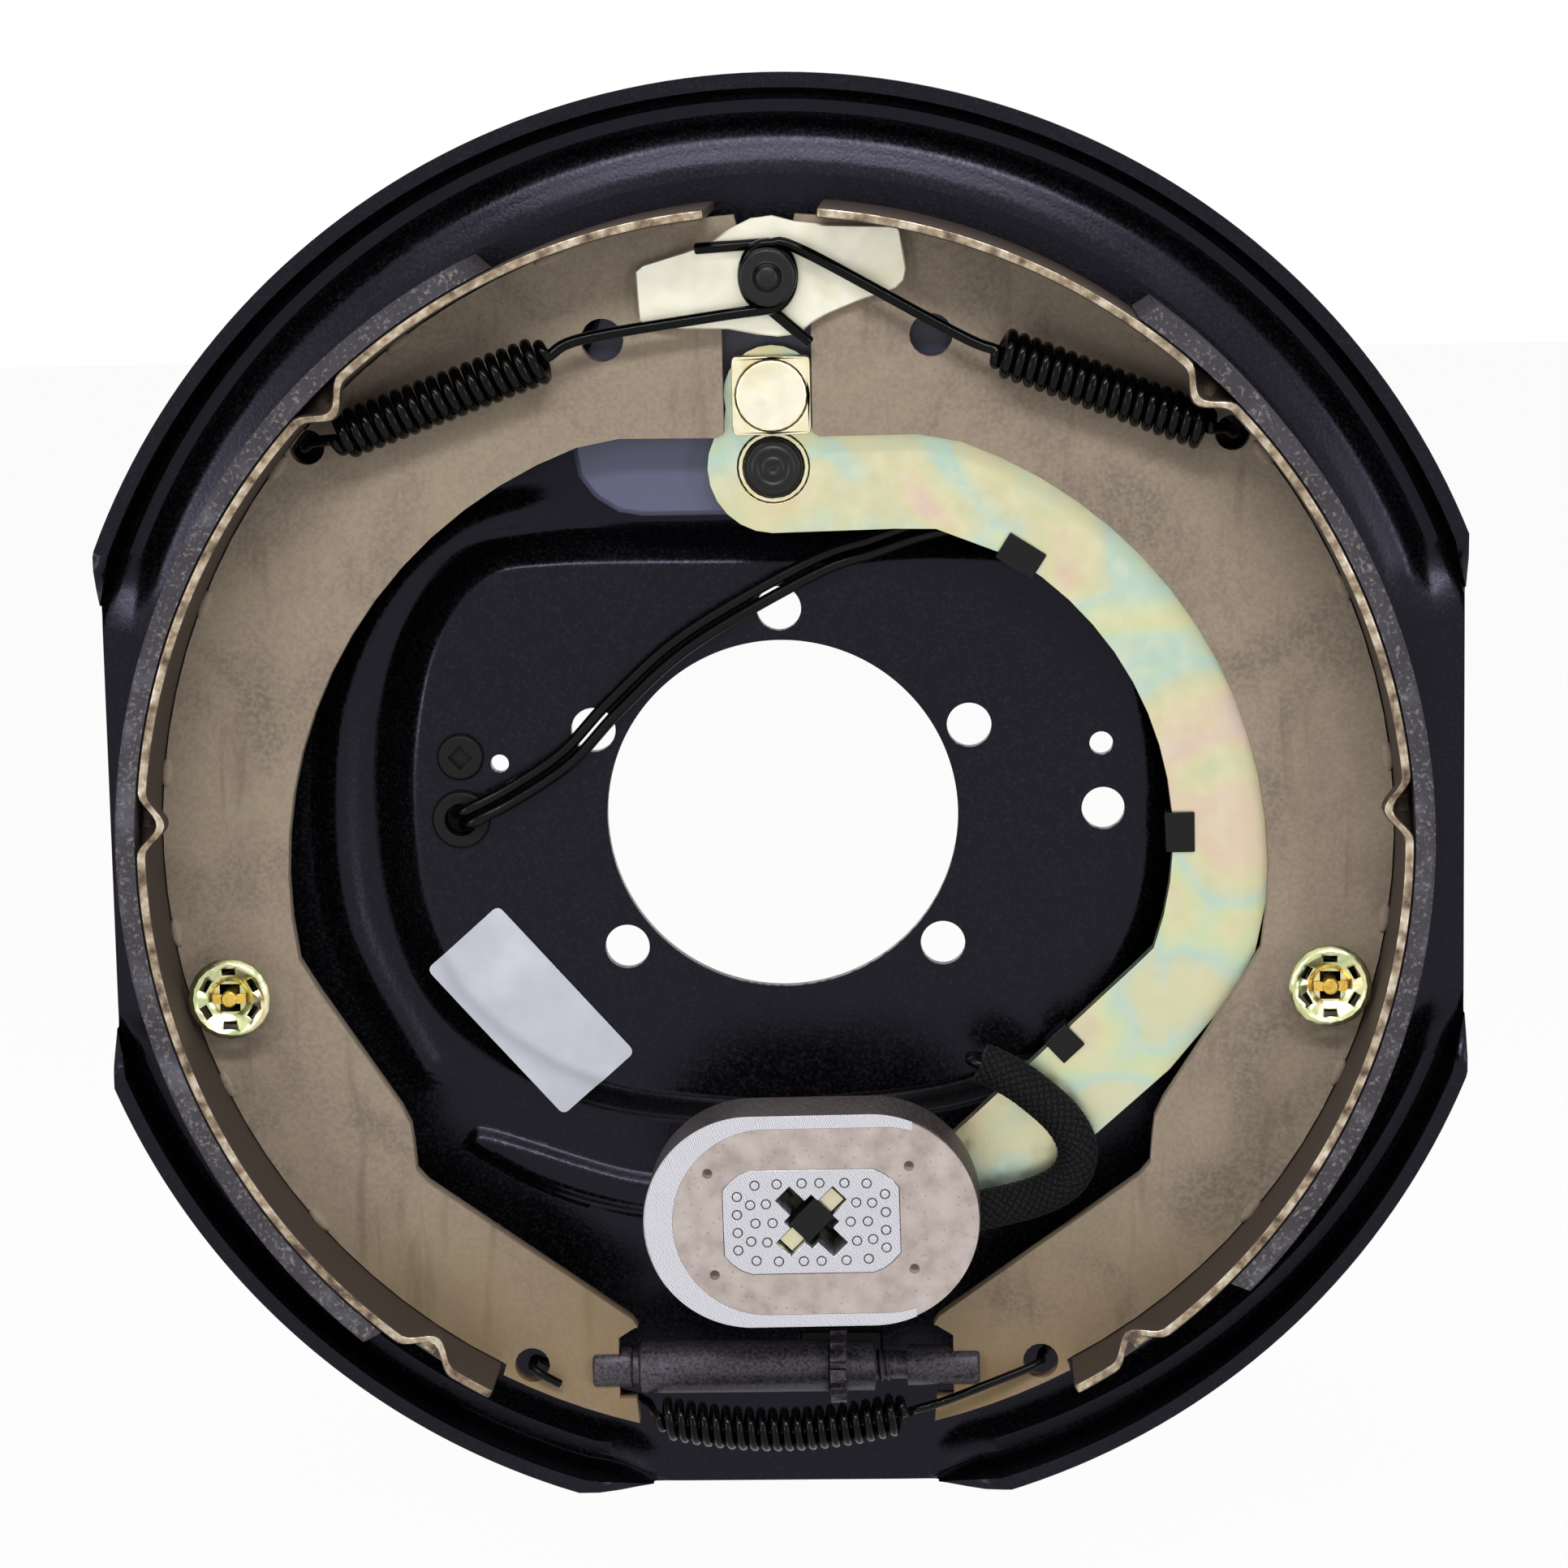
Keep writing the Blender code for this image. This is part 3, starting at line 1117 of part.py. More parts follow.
def magnet_case():
    """The steel case: a closed back with an oval wall, open on the drum's side."""
    wall = magnet_frame(stadium(MAGNET_LENGTH, MAGNET_HEIGHT))
    case = flat_piece("magnet_case", [wall], MAGNET_FRONT, MAGNET_DEPTH, "magnet_case", 0.0005)
    inside = magnet_frame(stadium(MAGNET_LENGTH - 2 * MAGNET_SHELL - 0.003, MAGNET_HEIGHT - 2 * MAGNET_SHELL), 0.0014)
    pocket = flat_piece("magnet_pocket", [inside], MAGNET_FRONT - 0.002, MAGNET_DEPTH - 0.0012, None)
    cut(case, cutter("magnet_pocket", pocket))
    cross_cut(case, "case_cross")
    lead = magnet_frame([LEAD_ENTRY])[0]
    cut(case, round_cutter("case_lead_hole", *lead, LEAD_RADIUS * 2 + 0.0006, y_front=MAGNET_REAR - 0.0015))
    return case


LEAD_ENTRY = (0.0200, -0.0060)


def magnet_coil():
    """The potted coil with its friction face, between the case's wall and the core."""
    outer = magnet_frame(stadium(MAGNET_LENGTH - 2 * MAGNET_SHELL - 0.003 - 2 * GAP,
                                 MAGNET_HEIGHT - 2 * MAGNET_SHELL - 2 * GAP), 0.0014)
    inner = magnet_frame([(x * (1 + 2 * GAP / CORE_LENGTH * 1.4), z * (1 + 2 * GAP / CORE_HEIGHT * 1.4))
                          for x, z in core_outline()])
    return flat_piece("magnet_coil", [outer, inner], MAGNET_FRONT, MAGNET_DEPTH - 0.0036, "friction")


def magnet_core():
    core = flat_piece("magnet_core", [magnet_frame(core_outline())], MAGNET_FRONT, MAGNET_DEPTH - 0.0036, "magnet_case")
    cross_cut(core, "core_cross")
    return core


def magnet_clip():
    """The black leaf clip over the tab's end, which keeps the magnet on."""
    bridge = 0.0009
    across = TAB_THICKNESS + 2 * (GAP + bridge)
    front = MAGNET_FRONT + 0.0024 - GAP - bridge
    length = 0.0100
    work = bmesh.new()
    bmesh.ops.create_cube(work, size=1.0)
    bmesh.ops.scale(work, vec=(0.0088, length, across), verts=work.verts)
    mesh = bpy.data.meshes.new("magnet_clip")
    work.to_mesh(mesh)
    work.free()
    made = add_object("magnet_clip", mesh, "spring_steel", tab_place(front + length / 2))
    cut(made, box_cutter("clip_mouth", (0.03, length, TAB_THICKNESS + 2 * GAP), tab_place(front + length / 2 + bridge)))
    return made


def magnet_spring():
    """The cone spring between the lever and the magnet's back."""
    radius = 0.0008
    start_y = LEVER_FRONT - radius - GAP
    end_y = MAGNET_REAR + radius + GAP
    turns = 4
    x, z = MAGNET_CENTRE
    points = []
    for i in range(turns * 9 + 1):
        t = i / (turns * 9)
        reach = 0.0108 + 0.0022 * t
        angle = 2 * math.pi * turns * t
        points.append((x + reach * math.cos(angle), start_y + (end_y - start_y) * t, z + reach * math.sin(angle)))
    return wire("magnet_spring", points, radius, "spring_steel")


# Leads

LEAD_ROUTE = [(-0.0766, -0.0012, -0.0002), (-0.0766, -0.0030, -0.0002), (-0.0762, -0.0064, 0.0002),
              (-0.0730, -0.0082, 0.0018), (-0.0640, -0.0074, 0.0062), (-0.0508, -0.0066, 0.0148),
              (-0.0389, -0.0064, 0.0272), (-0.0213, -0.0066, 0.0425), (0.0079, -0.0070, 0.0590),
              (0.0220, -0.0076, 0.0640), (0.0380, -0.0084, 0.0690), (0.0560, -0.0086, 0.0700),
              (0.0740, -0.0086, 0.0590), (0.0880, -0.0086, 0.0420), (0.0965, -0.0086, 0.0210),
              (0.0985, -0.0086, 0.0000), (0.0955, -0.0086, -0.0220), (0.0870, -0.0086, -0.0380),
              (0.0770, -0.0086, -0.0450), (0.0660, -0.0094, -0.0462), (0.0560, -0.0140, -0.0462),
              (0.0470, -0.0180, -0.0464), (0.0400, -0.0212, -0.0480), (0.0368, -0.0230, -0.0515),
              (0.0392, -0.0234, -0.0542), (0.0436, -0.0234, -0.0556)]
LEAD_SPREAD = 0.00165
# The leads lie side by side along the lever, and one over the other in the turn before the sleeve.
LEAD_TWIST = (17, 21)
SLEEVE_DEPTH = LEVER_FRONT - GAP - SLEEVE_RADIUS
SLEEVE_ROUTE = [(0.0462, SLEEVE_DEPTH, -0.0566), (0.0510, SLEEVE_DEPTH, -0.0587), (0.0578, SLEEVE_DEPTH, -0.0632),
                (0.0656, SLEEVE_DEPTH, -0.0706), (0.0688, SLEEVE_DEPTH, -0.0780), (0.0662, SLEEVE_DEPTH, -0.0850),
                (0.0578, SLEEVE_DEPTH, -0.0894), (0.0450, SLEEVE_DEPTH, -0.0916),
                (0.0350, SLEEVE_DEPTH - 0.0020, -0.0926), (0.0290, SLEEVE_DEPTH - 0.0040, -0.0928)]

# The leads' free tails, coiled and tied behind the plate.
TAIL_LAYER = 2 * LEAD_RADIUS + GAP
TAIL_DEPTH = FLOOR_REAR + LEAD_RADIUS + GAP
COIL_CENTRE = (-0.1240, 0.0)
COIL_RADIUS = 0.0160
COIL_TURNS = 2
TIE_WIDTH = 0.0026
TIE_WALL = 0.0009


def lead_wire(name, side):
    """One of the two leads, from behind the grommet along the lever to the sleeve."""
    spread = []
    for i, (x, y, z) in enumerate(LEAD_ROUTE):
        near = min(max(i, 4), len(LEAD_ROUTE) - 3)
        before, after = LEAD_ROUTE[near - 1], LEAD_ROUTE[near + 1]
        along = Vector((after[0] - before[0], after[2] - before[2])).normalized()
        twist = math.pi / 2 * smoothstep(LEAD_TWIST[0], LEAD_TWIST[1], i)
        away = side * LEAD_SPREAD * math.cos(twist)
        spread.append((x - away * along.y, y + side * LEAD_SPREAD * math.sin(twist), z + away * along.x))
    return wire(name, through(spread, 44), LEAD_RADIUS, "sleeve")


def lead_tail(name, side, layer):
    """A lead's free end, from the grommet into the tied coil."""
    x, _, z = LEAD_ROUTE[0]
    y = TAIL_DEPTH + layer * TAIL_LAYER
    bend = 0.0060 + layer * 0.0008
    top = COIL_RADIUS + COIL_TURNS * TAIL_LAYER / 2
    away = side * LEAD_SPREAD
    route = [(x, 0.0004, z + away), (x, y - bend, z + away), (x - bend * 0.3, y - bend * 0.3, z + away),
             (x - bend, y, z + away), (x - 0.0160, y, z + 0.0020 + away * 0.6), (x - 0.0280, y, z + 0.0110),
             (COIL_CENTRE[0] + 0.0100, y, top - 0.0026)]
    steps = COIL_TURNS * 14
    for k in range(steps + 1):
        turn = math.radians(90 + 360 * COIL_TURNS * k / steps)
        reach = top - COIL_TURNS * TAIL_LAYER * k / steps
        route.append((COIL_CENTRE[0] + reach * math.cos(turn), y, COIL_CENTRE[1] + reach * math.sin(turn)))
    return wire(name, through(route, 62), LEAD_RADIUS, "sleeve")


def lead_tie():
    """The band that holds the coil's strands together on its far side."""
    reach = COIL_TURNS * TAIL_LAYER / 2 + LEAD_RADIUS + GAP
    low, high = TAIL_DEPTH - LEAD_RADIUS - GAP * 0.3, TAIL_DEPTH + TAIL_LAYER + LEAD_RADIUS + GAP
    turn = math.radians(225)
    place = (Matrix.Translation((COIL_CENTRE[0] + COIL_RADIUS * math.cos(turn), (low + high) / 2,
                                 COIL_CENTRE[1] + COIL_RADIUS * math.sin(turn)))
             @ Matrix.Rotation(-turn, 4, "Y"))
    inner = (2 * reach, high - low, TIE_WIDTH)
    work = bmesh.new()
    bmesh.ops.create_cube(work, size=1.0)
    bmesh.ops.scale(work, vec=(inner[0] + 2 * TIE_WALL, inner[1] + TIE_WALL, TIE_WIDTH), verts=work.verts)
    mesh = bpy.data.meshes.new("lead_tie")
    work.to_mesh(mesh)
    work.free()
    made = add_object("lead_tie", mesh, "rubber", place @ Matrix.Translation((0.0, TIE_WALL / 2, 0.0)))
    cut(made, box_cutter("tie_inside", (inner[0], inner[1] + 0.0001, TIE_WIDTH * 3), place))
    return made


def lead_sleeve():
    return wire("lead_sleeve", through(SLEEVE_ROUTE, 22), SLEEVE_RADIUS, "sleeve", sides=3)


def build():
    plate = backing_plate()
    anchor_bracket()
    anchor_post()
    pivot_post()
    guide_plate()
    plug("wire_grommet", *GROMMET_HOLE, bore=0.0038)
    plug("hole_plug", *PLUG_HOLE, square=0.0028)
    adjuster_slot_plug()
    label()
    lever_axis = axis_empty("lever_axis", (0.0, LEVER_FRONT, PIVOT_Z))
    lever_parts = [lever_arm(), lever_bush(), magnet_tab()]
    lever_parts.append(wire_clip("upper_wire_clip", 0.0571, 0.0625, -57, 0.0100))
    lever_parts.append(wire_clip("middle_wire_clip", 0.0936, -0.0030, 0, 0.0095))
    lever_parts.append(wire_clip("lower_wire_clip", 0.0661, -0.0532, 47.2, 0.0068))
    hang_on(lever_axis, *lever_parts)
    block = lever_block()
    hang_on(axis_empty("block_axis", (0.0, WEB_MIDDLE, BLOCK_Z)), block)
    for side, word, span in ((LEFT, "left", SECONDARY_LINING_DEG), (RIGHT, "right", PRIMARY_LINING_DEG)):
        pieces = [shoe_web(f"{word}_shoe_web", side), shoe_table(f"{word}_shoe_table", side),
                  lining(f"{word}_lining", side, span)]
        foot = LEFT_NOTCH if side == LEFT else RIGHT_NOTCH
        hang_on(axis_empty(f"{word}_shoe_axis", (foot, WEB_MIDDLE, ADJUSTER_Z)), *pieces)
        x, z = hold_down_place(side)
        hold_down_pin(f"{word}_hold_down_pin", x, z)
        hold_down_spring(f"{word}_hold_down_spring", x, z)
        hold_down_cup(f"{word}_hold_down_cup", x, z)
    return_spring("left_return_spring", LEFT, (-0.0985, 0.0960), (-0.0500, 0.1112),
                  [(-0.0430, 0.1152), (-0.0145, 0.1196), (-0.0164, 0.1352)], (-90, 90))
    return_spring("right_return_spring", RIGHT, (0.0985, 0.0890), (0.0500, 0.1108),
                  [(0.0430, 0.1150), (0.0080, 0.1345), (0.0092, 0.1135)], (90, 270))
    lower_spring()
    hang_on(axis_empty("adjuster_axis", (0.0, WEB_MIDDLE, ADJUSTER_Z)), adjuster_socket(), adjuster_nut(),
            adjuster_screw())
    magnet_parts = [magnet_case(), magnet_coil(), magnet_core()]
    hang_on(axis_empty("magnet_axis", (MAGNET_CENTRE[0], MAGNET_REAR, MAGNET_CENTRE[1])), *magnet_parts)
    hang_on(lever_axis, magnet_clip(), magnet_spring())
    lead_wire("lead_wire_a", LEFT)
    lead_wire("lead_wire_b", RIGHT)
    lead_sleeve()
    lead_tail("lead_tail_a", LEFT, 0)
    lead_tail("lead_tail_b", RIGHT, 1)
    lead_tie()
    return plate


build()
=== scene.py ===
"""Electric trailer brake assembly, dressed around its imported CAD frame.

Metres, +Z up. The brake's axis is Y: shoes, lever and magnet face -Y, towards the camera. Outlines are
given in the XZ plane, as the brake is seen from the front, and a depth is a place along Y.
"""

from __future__ import annotations

import json
import logging
import math
from dataclasses import dataclass
from enum import Enum
from typing import Callable, Sequence

import bmesh
import bpy
import numpy as np
from mathutils import Matrix, Vector

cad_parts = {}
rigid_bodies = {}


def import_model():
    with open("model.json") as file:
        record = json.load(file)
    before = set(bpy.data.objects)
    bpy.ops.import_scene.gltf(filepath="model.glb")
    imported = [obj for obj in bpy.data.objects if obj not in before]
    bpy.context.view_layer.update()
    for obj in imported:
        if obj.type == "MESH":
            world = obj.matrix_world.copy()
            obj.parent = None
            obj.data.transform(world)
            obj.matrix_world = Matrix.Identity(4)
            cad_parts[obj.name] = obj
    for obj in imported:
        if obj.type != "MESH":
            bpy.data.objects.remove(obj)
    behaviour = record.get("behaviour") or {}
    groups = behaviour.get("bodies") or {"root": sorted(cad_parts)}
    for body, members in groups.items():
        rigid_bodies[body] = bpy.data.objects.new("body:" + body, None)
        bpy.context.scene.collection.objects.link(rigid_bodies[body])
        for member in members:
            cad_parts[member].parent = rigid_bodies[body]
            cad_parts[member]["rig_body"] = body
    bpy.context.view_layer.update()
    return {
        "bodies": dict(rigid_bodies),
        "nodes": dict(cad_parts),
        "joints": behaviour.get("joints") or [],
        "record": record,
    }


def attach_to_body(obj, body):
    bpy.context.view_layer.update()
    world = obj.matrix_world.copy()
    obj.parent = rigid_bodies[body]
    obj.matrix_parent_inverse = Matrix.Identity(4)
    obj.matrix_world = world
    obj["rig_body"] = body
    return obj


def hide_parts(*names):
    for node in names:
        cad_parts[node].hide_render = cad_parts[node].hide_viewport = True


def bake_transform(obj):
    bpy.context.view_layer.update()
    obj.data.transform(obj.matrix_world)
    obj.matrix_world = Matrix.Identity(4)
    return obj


log = logging.getLogger("trailer_brake")

Array = np.ndarray
Object = bpy.types.Object
Socket = bpy.types.NodeSocket

# Clearance between pieces that touch, and the plate's sheet.
GAP = 0.0003
SHEET = 0.0035

# Depths along Y, from the mounting plane forward.
FACE_FRONT = -SHEET
SHOE_WIDTH = 0.0508
SHOE_FRONT = -0.0465
SHOE_REAR = SHOE_FRONT + SHOE_WIDTH
FLOOR_FRONT = SHOE_REAR + GAP
FLOOR_REAR = FLOOR_FRONT + SHEET
WEB_THICKNESS = 0.005
WEB_MIDDLE = (SHOE_FRONT + SHOE_REAR) / 2
WEB_FRONT = WEB_MIDDLE - WEB_THICKNESS / 2
WEB_REAR = WEB_MIDDLE + WEB_THICKNESS / 2
LEVER_FRONT = WEB_REAR + GAP
GUIDE_REAR = WEB_FRONT - GAP
GUIDE_THICKNESS = 0.0026
GUIDE_FRONT = GUIDE_REAR - GUIDE_THICKNESS
MAGNET_PROUD = 0.0075
MAGNET_FRONT = SHOE_FRONT - MAGNET_PROUD
MAGNET_DEPTH = 0.0205
MAGNET_REAR = MAGNET_FRONT + MAGNET_DEPTH

# Centres in the XZ plane.
SHOE_CENTRE = (-0.0009, -0.0012)
PIVOT_Z = 0.084
BLOCK_Z = 0.101
ANCHOR_Z = 0.1288
ADJUSTER_Z = -0.1304
MAGNET_CENTRE = (0.0068, -0.0869)
SPRING_HOLE = (0.1069, 0.0920)
LOWER_HOLE = (0.0605, -0.1278)

# The label's long side, degrees from the X axis.
LABEL_TILT = -48.5

# Points of the magnet's outline left and right of the line where the friction pad wraps over its wall.
LEFT_POINTS = 320
RIGHT_POINTS = 120


class Side(Enum):
    """Which shoe a piece belongs to."""

    LEFT = -1
    RIGHT = 1

    @property
    def word(self) -> str:
        """The side's word in the pieces' names."""
        return self.name.lower()


# Finishes


def hex_colour(text: str) -> tuple[float, float, float, float]:
    """An sRGB hex value as linear red, green and blue, with an alpha of 1."""
    values = [int(text[i:i + 2], 16) / 255 for i in (1, 3, 5)]
    return (*[v / 12.92 if v <= 0.04045 else ((v + 0.055) / 1.055) ** 2.4 for v in values], 1.0)


def per_metre(millimetres: float) -> float:
    """A pattern's scale for features about this many millimetres apart."""
    return 1000.0 / millimetres


def add_node(tree: bpy.types.NodeTree, kind: str, settings: dict | None = None,
             inputs: dict | None = None) -> bpy.types.Node:
    """Add a node with its settings and links.

    Args:
        tree: The tree to add it to.
        kind: The node's type name, without the ShaderNode prefix.
        settings: Attributes to set on it.
        inputs: Values or output sockets for its inputs, by name or index.

    Returns:
        The node.
    """
    node = tree.nodes.new("ShaderNode" + kind)
    for key, value in (settings or {}).items():
        setattr(node, key, value)
    for key, value in (inputs or {}).items():
        if isinstance(value, bpy.types.NodeSocket):
            tree.links.new(value, node.inputs[key])
        else:
            node.inputs[key].default_value = value
    return node


def combined(tree: bpy.types.NodeTree, operation: str, first: Socket, second: Socket | float) -> Socket:
    """Two values put together by a maths operation."""
    return add_node(tree, "Math", {"operation": operation}, {0: first, 1: second}).outputs[0]


class Coat:
    """A material in the making: its tree, its shader, and the place that its patterns are read at."""

    def __init__(self, material: bpy.types.Material) -> None:
        """Take the material's tree, with patterns laid out in the object's own metres."""
        self.tree = material.node_tree
        self.shader = self.tree.nodes["Principled BSDF"]
        self.place = add_node(self.tree, "TexCoord").outputs["Object"]

    def mapped(self, **how: tuple[float, float, float]) -> Socket:
        """The place moved, turned or scaled, to centre a pattern or to draw it out."""
        return add_node(self.tree, "Mapping", inputs={"Vector": self.place, **how}).outputs[0]

    def noise(self, millimetres: float, detail: float = 2.0, distortion: float = 0.0,
              place: Socket | None = None) -> Socket:
        """Noise with features about this many millimetres across, at the coat's place or another."""
        where = self.place if place is None else place
        return add_node(self.tree, "TexNoise", inputs={
            "Vector": where, "Scale": per_metre(millimetres), "Detail": detail,
            "Distortion": distortion}).outputs["Fac"]

    def spread(self, factor: Socket, low: float, high: float, start: float = 0.3, end: float = 0.7) -> Socket:
        """A factor from start to end, mapped on to low to high."""
        return add_node(self.tree, "MapRange", inputs={
            "Value": factor, "From Min": start, "From Max": end, "To Min": low,
            "To Max": high}).outputs["Result"]

    def ramp(self, factor: Socket, *stops: tuple[float, str]) -> Socket:
        """Colour from a factor, by the place and sRGB hex colour of each stop, in order."""
        node = add_node(self.tree, "ValToRGB", inputs={"Fac": factor})
        band = node.color_ramp
        for _ in range(len(stops) - 2):
            band.elements.new(0.5)
        for element, (place, colour) in zip(band.elements, stops):
            element.position = place
            element.color = hex_colour(colour)
        return node.outputs["Color"]

    def mixed(self, factor: Socket, first: Socket, second: str) -> Socket:
        """A colour passing into an sRGB hex value as the factor grows."""
        return add_node(self.tree, "Mix", {"data_type": "RGBA"},
                        {0: factor, 6: first, 7: hex_colour(second)}).outputs[2]

    def drive(self, name: str, socket: Socket) -> None:
        """Let a socket drive one of the shader's inputs."""
        self.tree.links.new(socket, self.shader.inputs[name])

    def bump(self, height: Socket, millimetres: float, strength: float = 1.0) -> None:
        """Raise the surface by a height pattern, this many millimetres from its lowest to its highest."""
        self.drive("Normal", add_node(self.tree, "Bump", inputs={
            "Height": height, "Distance": millimetres / 1000, "Strength": strength}).outputs["Normal"])


@dataclass(frozen=True)
class Finish:
    """A surface finish, made once as a material.

    Attributes:
        name: The material's name.
        colour: Its main colour, sRGB hex.
        roughness: Roughness at the shader's own socket, where no pattern drives it.
        metallic: 0 for paint, rubber and fibre, near 1 for bare or plated metal.
        specular: Specular level of a coat or plastic.
    """

    name: str
    colour: str
    roughness: float = 0.5
    metallic: float = 0.0
    specular: float = 0.5

    def material(self) -> bpy.types.Material:
        """The finish's material, made at its first use."""
        made = bpy.data.materials.get(self.name)
        if made is not None:
            return made
        made = bpy.data.materials.new(self.name)
        made.use_nodes = True
        coat = Coat(made)
        inputs = coat.shader.inputs
        inputs["Base Color"].default_value = hex_colour(self.colour)
        inputs["Roughness"].default_value = self.roughness
        inputs["Metallic"].default_value = self.metallic
        if self.metallic < 0.5:
            inputs["Specular IOR Level"].default_value = self.specular
        self.dress(coat)
        return made

    def gloss(self, coat: Coat, factor: Socket, below: float, above: float) -> None:
        """Let a factor move the roughness from this far below the finish's own to this far above."""
        coat.drive("Roughness", coat.spread(factor, self.roughness - below, self.roughness + above))

    def dress(self, coat: Coat) -> None:
        """Add the finish's own pattern to its shader."""
        speckle = coat.noise(0.6)
        self.gloss(coat, speckle, 0.06, 0.06)
        coat.bump(speckle, 0.02)


@dataclass(frozen=True)
class BlackPaint(Finish):
    """Black electrocoat on pressed steel: a satin skin with fine orange peel, so its highlights look grainy
    and a little blue. The grain is drawn at 0.8 mm, coarser than the real coat's, so that it shows.
    """

    grain: float = 0.8

    def dress(self, coat: Coat) -> None:
        """Grain in tone, gloss and relief, and broad uneven gloss from the press and the dip."""
        grain, broad = coat.noise(self.grain, 3.0), coat.noise(22.0, 3.0)
        coat.drive("Base Color", coat.ramp(grain, (0.30, "#040405"), (0.52, self.colour), (0.75, "#1A181C")))
        fine = coat.spread(grain, self.roughness - 0.07, self.roughness + 0.07)
        coat.drive("Roughness", combined(coat.tree, "ADD", fine, coat.spread(broad, -0.05, 0.05)))
        coat.shader.inputs["Specular Tint"].default_value = hex_colour("#DEDAFB")
        coat.bump(grain, 0.05, 0.7)


@dataclass(frozen=True)
class ShopPrimer(Finish):
    """Brown-grey wash primer on the shoes' steel: flat and dusty, mottled at about 1 mm and in palm-sized
    blotches, with darker runs, and ochre towards the adjuster where rust has bled under it.
    """

    def dress(self, coat: Coat) -> None:
        """Mottle, blotches, runs and the ochre foot."""
        mottle, blotch = coat.noise(1.0, 4.0), coat.noise(30.0, 4.0, 1.0)
        run = coat.noise(7.0, 3.0, 0.6, coat.mapped(Scale=(1.0, 1.0, 0.16)))
        tone = coat.ramp(blotch, (0.30, "#74685D"), (0.50, self.colour), (0.70, "#918472"))
        tone = coat.mixed(coat.spread(mottle, 0.0, 0.42, 0.38, 0.62), tone, "#A3967F")
        tone = coat.mixed(coat.spread(run, 0.0, 0.42, 0.60, 0.74), tone, "#5E4F44")
        height = add_node(coat.tree, "SeparateXYZ", inputs={0: coat.place}).outputs["Z"]
        low = coat.spread(height, 0.85, 0.0, -0.135, -0.085)
        foot = combined(coat.tree, "MULTIPLY", low, coat.spread(blotch, 0.45, 1.0))
        coat.drive("Base Color", coat.mixed(foot, tone, "#876F49"))
        self.gloss(coat, mottle, 0.08, 0.08)
        coat.bump(mottle, 0.03, 0.6)


@dataclass(frozen=True)
class WornSteel(Finish):
    """Sheared edge of rolled strip under thin primer, rubbed to bronze and silver along its length."""

    def dress(self, coat: Coat) -> None:
        """Patches of bright steel and of primer, a few millimetres long."""
        patch = coat.noise(3.0, 5.0)
        coat.drive("Base Color", coat.ramp(patch, (0.32, "#54473E"), (0.48, self.colour), (0.60, "#BDAE98"),
                                           (0.72, "#DCD3C4")))
        coat.drive("Roughness", coat.spread(patch, 0.55, 0.30))
        coat.bump(patch, 0.05, 0.6)


@dataclass(frozen=True)
class BrakeLining(Finish):
    """Moulded brake lining: dark fibre and resin with pale and brassy flecks, ground dry and quite matt."""

    def dress(self, coat: Coat) -> None:
        """Flecks under a millimetre across in a cloudy ground."""
        tone = coat.ramp(coat.noise(9.0, 4.0), (0.30, "#3E3B40"), (0.55, self.colour), (0.75, "#63616B"))
        flecks = coat.spread(coat.noise(0.9, 4.0), 0.0, 0.6, 0.54, 0.70)
        coat.drive("Base Color", coat.mixed(flecks, tone, "#948D88"))
        coat.bump(coat.noise(0.7, 3.0), 0.08, 0.8)


@dataclass(frozen=True)
class ZincPlate(Finish):
    """Zinc plate with a chromate film: a soft metal sheen whose film thickness drifts, so that pale gold
    passes into green, pink and blue over a few centimetres.

    Attributes:
        drift: Size of the colour patches, mm.
        film: Colours that the film passes through, sRGB hex.
    """

    drift: float = 26.0
    film: tuple[str, ...] = ()

    def dress(self, coat: Coat) -> None:
        """Drifting film colours, clouded gloss, and fine tumbling scratches."""
        steps = np.linspace(0.30, 0.70, len(self.film))
        film = coat.ramp(coat.noise(self.drift, 2.0, 0.5), *zip(steps, self.film))
        cloud = coat.noise(4.0, 4.0)
        coat.drive("Base Color", coat.mixed(coat.spread(cloud, 0.05, 0.50), film, self.colour))
        self.gloss(coat, cloud, 0.07, 0.09)
        drawn = coat.mapped(Rotation=(0.0, 0.7, 0.0), Scale=(1.0, 1.0, 0.08))
        coat.bump(coat.noise(0.5, 3.0, place=drawn), 0.03, 0.5)


@dataclass(frozen=True)
class GroundSteel(Finish):
    """Face-turned steel: bright, with the tool's arcs 0.5 mm apart swept about a far centre."""

    centre: tuple[float, float] = (0.110, -0.020)

    def dress(self, coat: Coat) -> None:
        """Turning arcs in tone, gloss and relief. Rings lie 0.1 pi / scale apart."""
        about = coat.mapped(Location=(-self.centre[0], 0.0, -self.centre[1]))
        arcs = add_node(coat.tree, "TexWave", {"wave_type": "RINGS", "rings_direction": "Y"},
                        {"Vector": about, "Scale": 0.1 * math.pi * per_metre(0.5), "Distortion": 5.0,
                         "Detail": 3.0, "Detail Scale": 1.4}).outputs["Fac"]
        coat.drive("Base Color", coat.ramp(arcs, (0.0, "#B4B3BC"), (0.5, self.colour), (1.0, "#E4E3E9")))
        self.gloss(coat, coat.noise(6.0, 3.0), 0.06, 0.08)
        coat.bump(arcs, 0.010, 0.6)


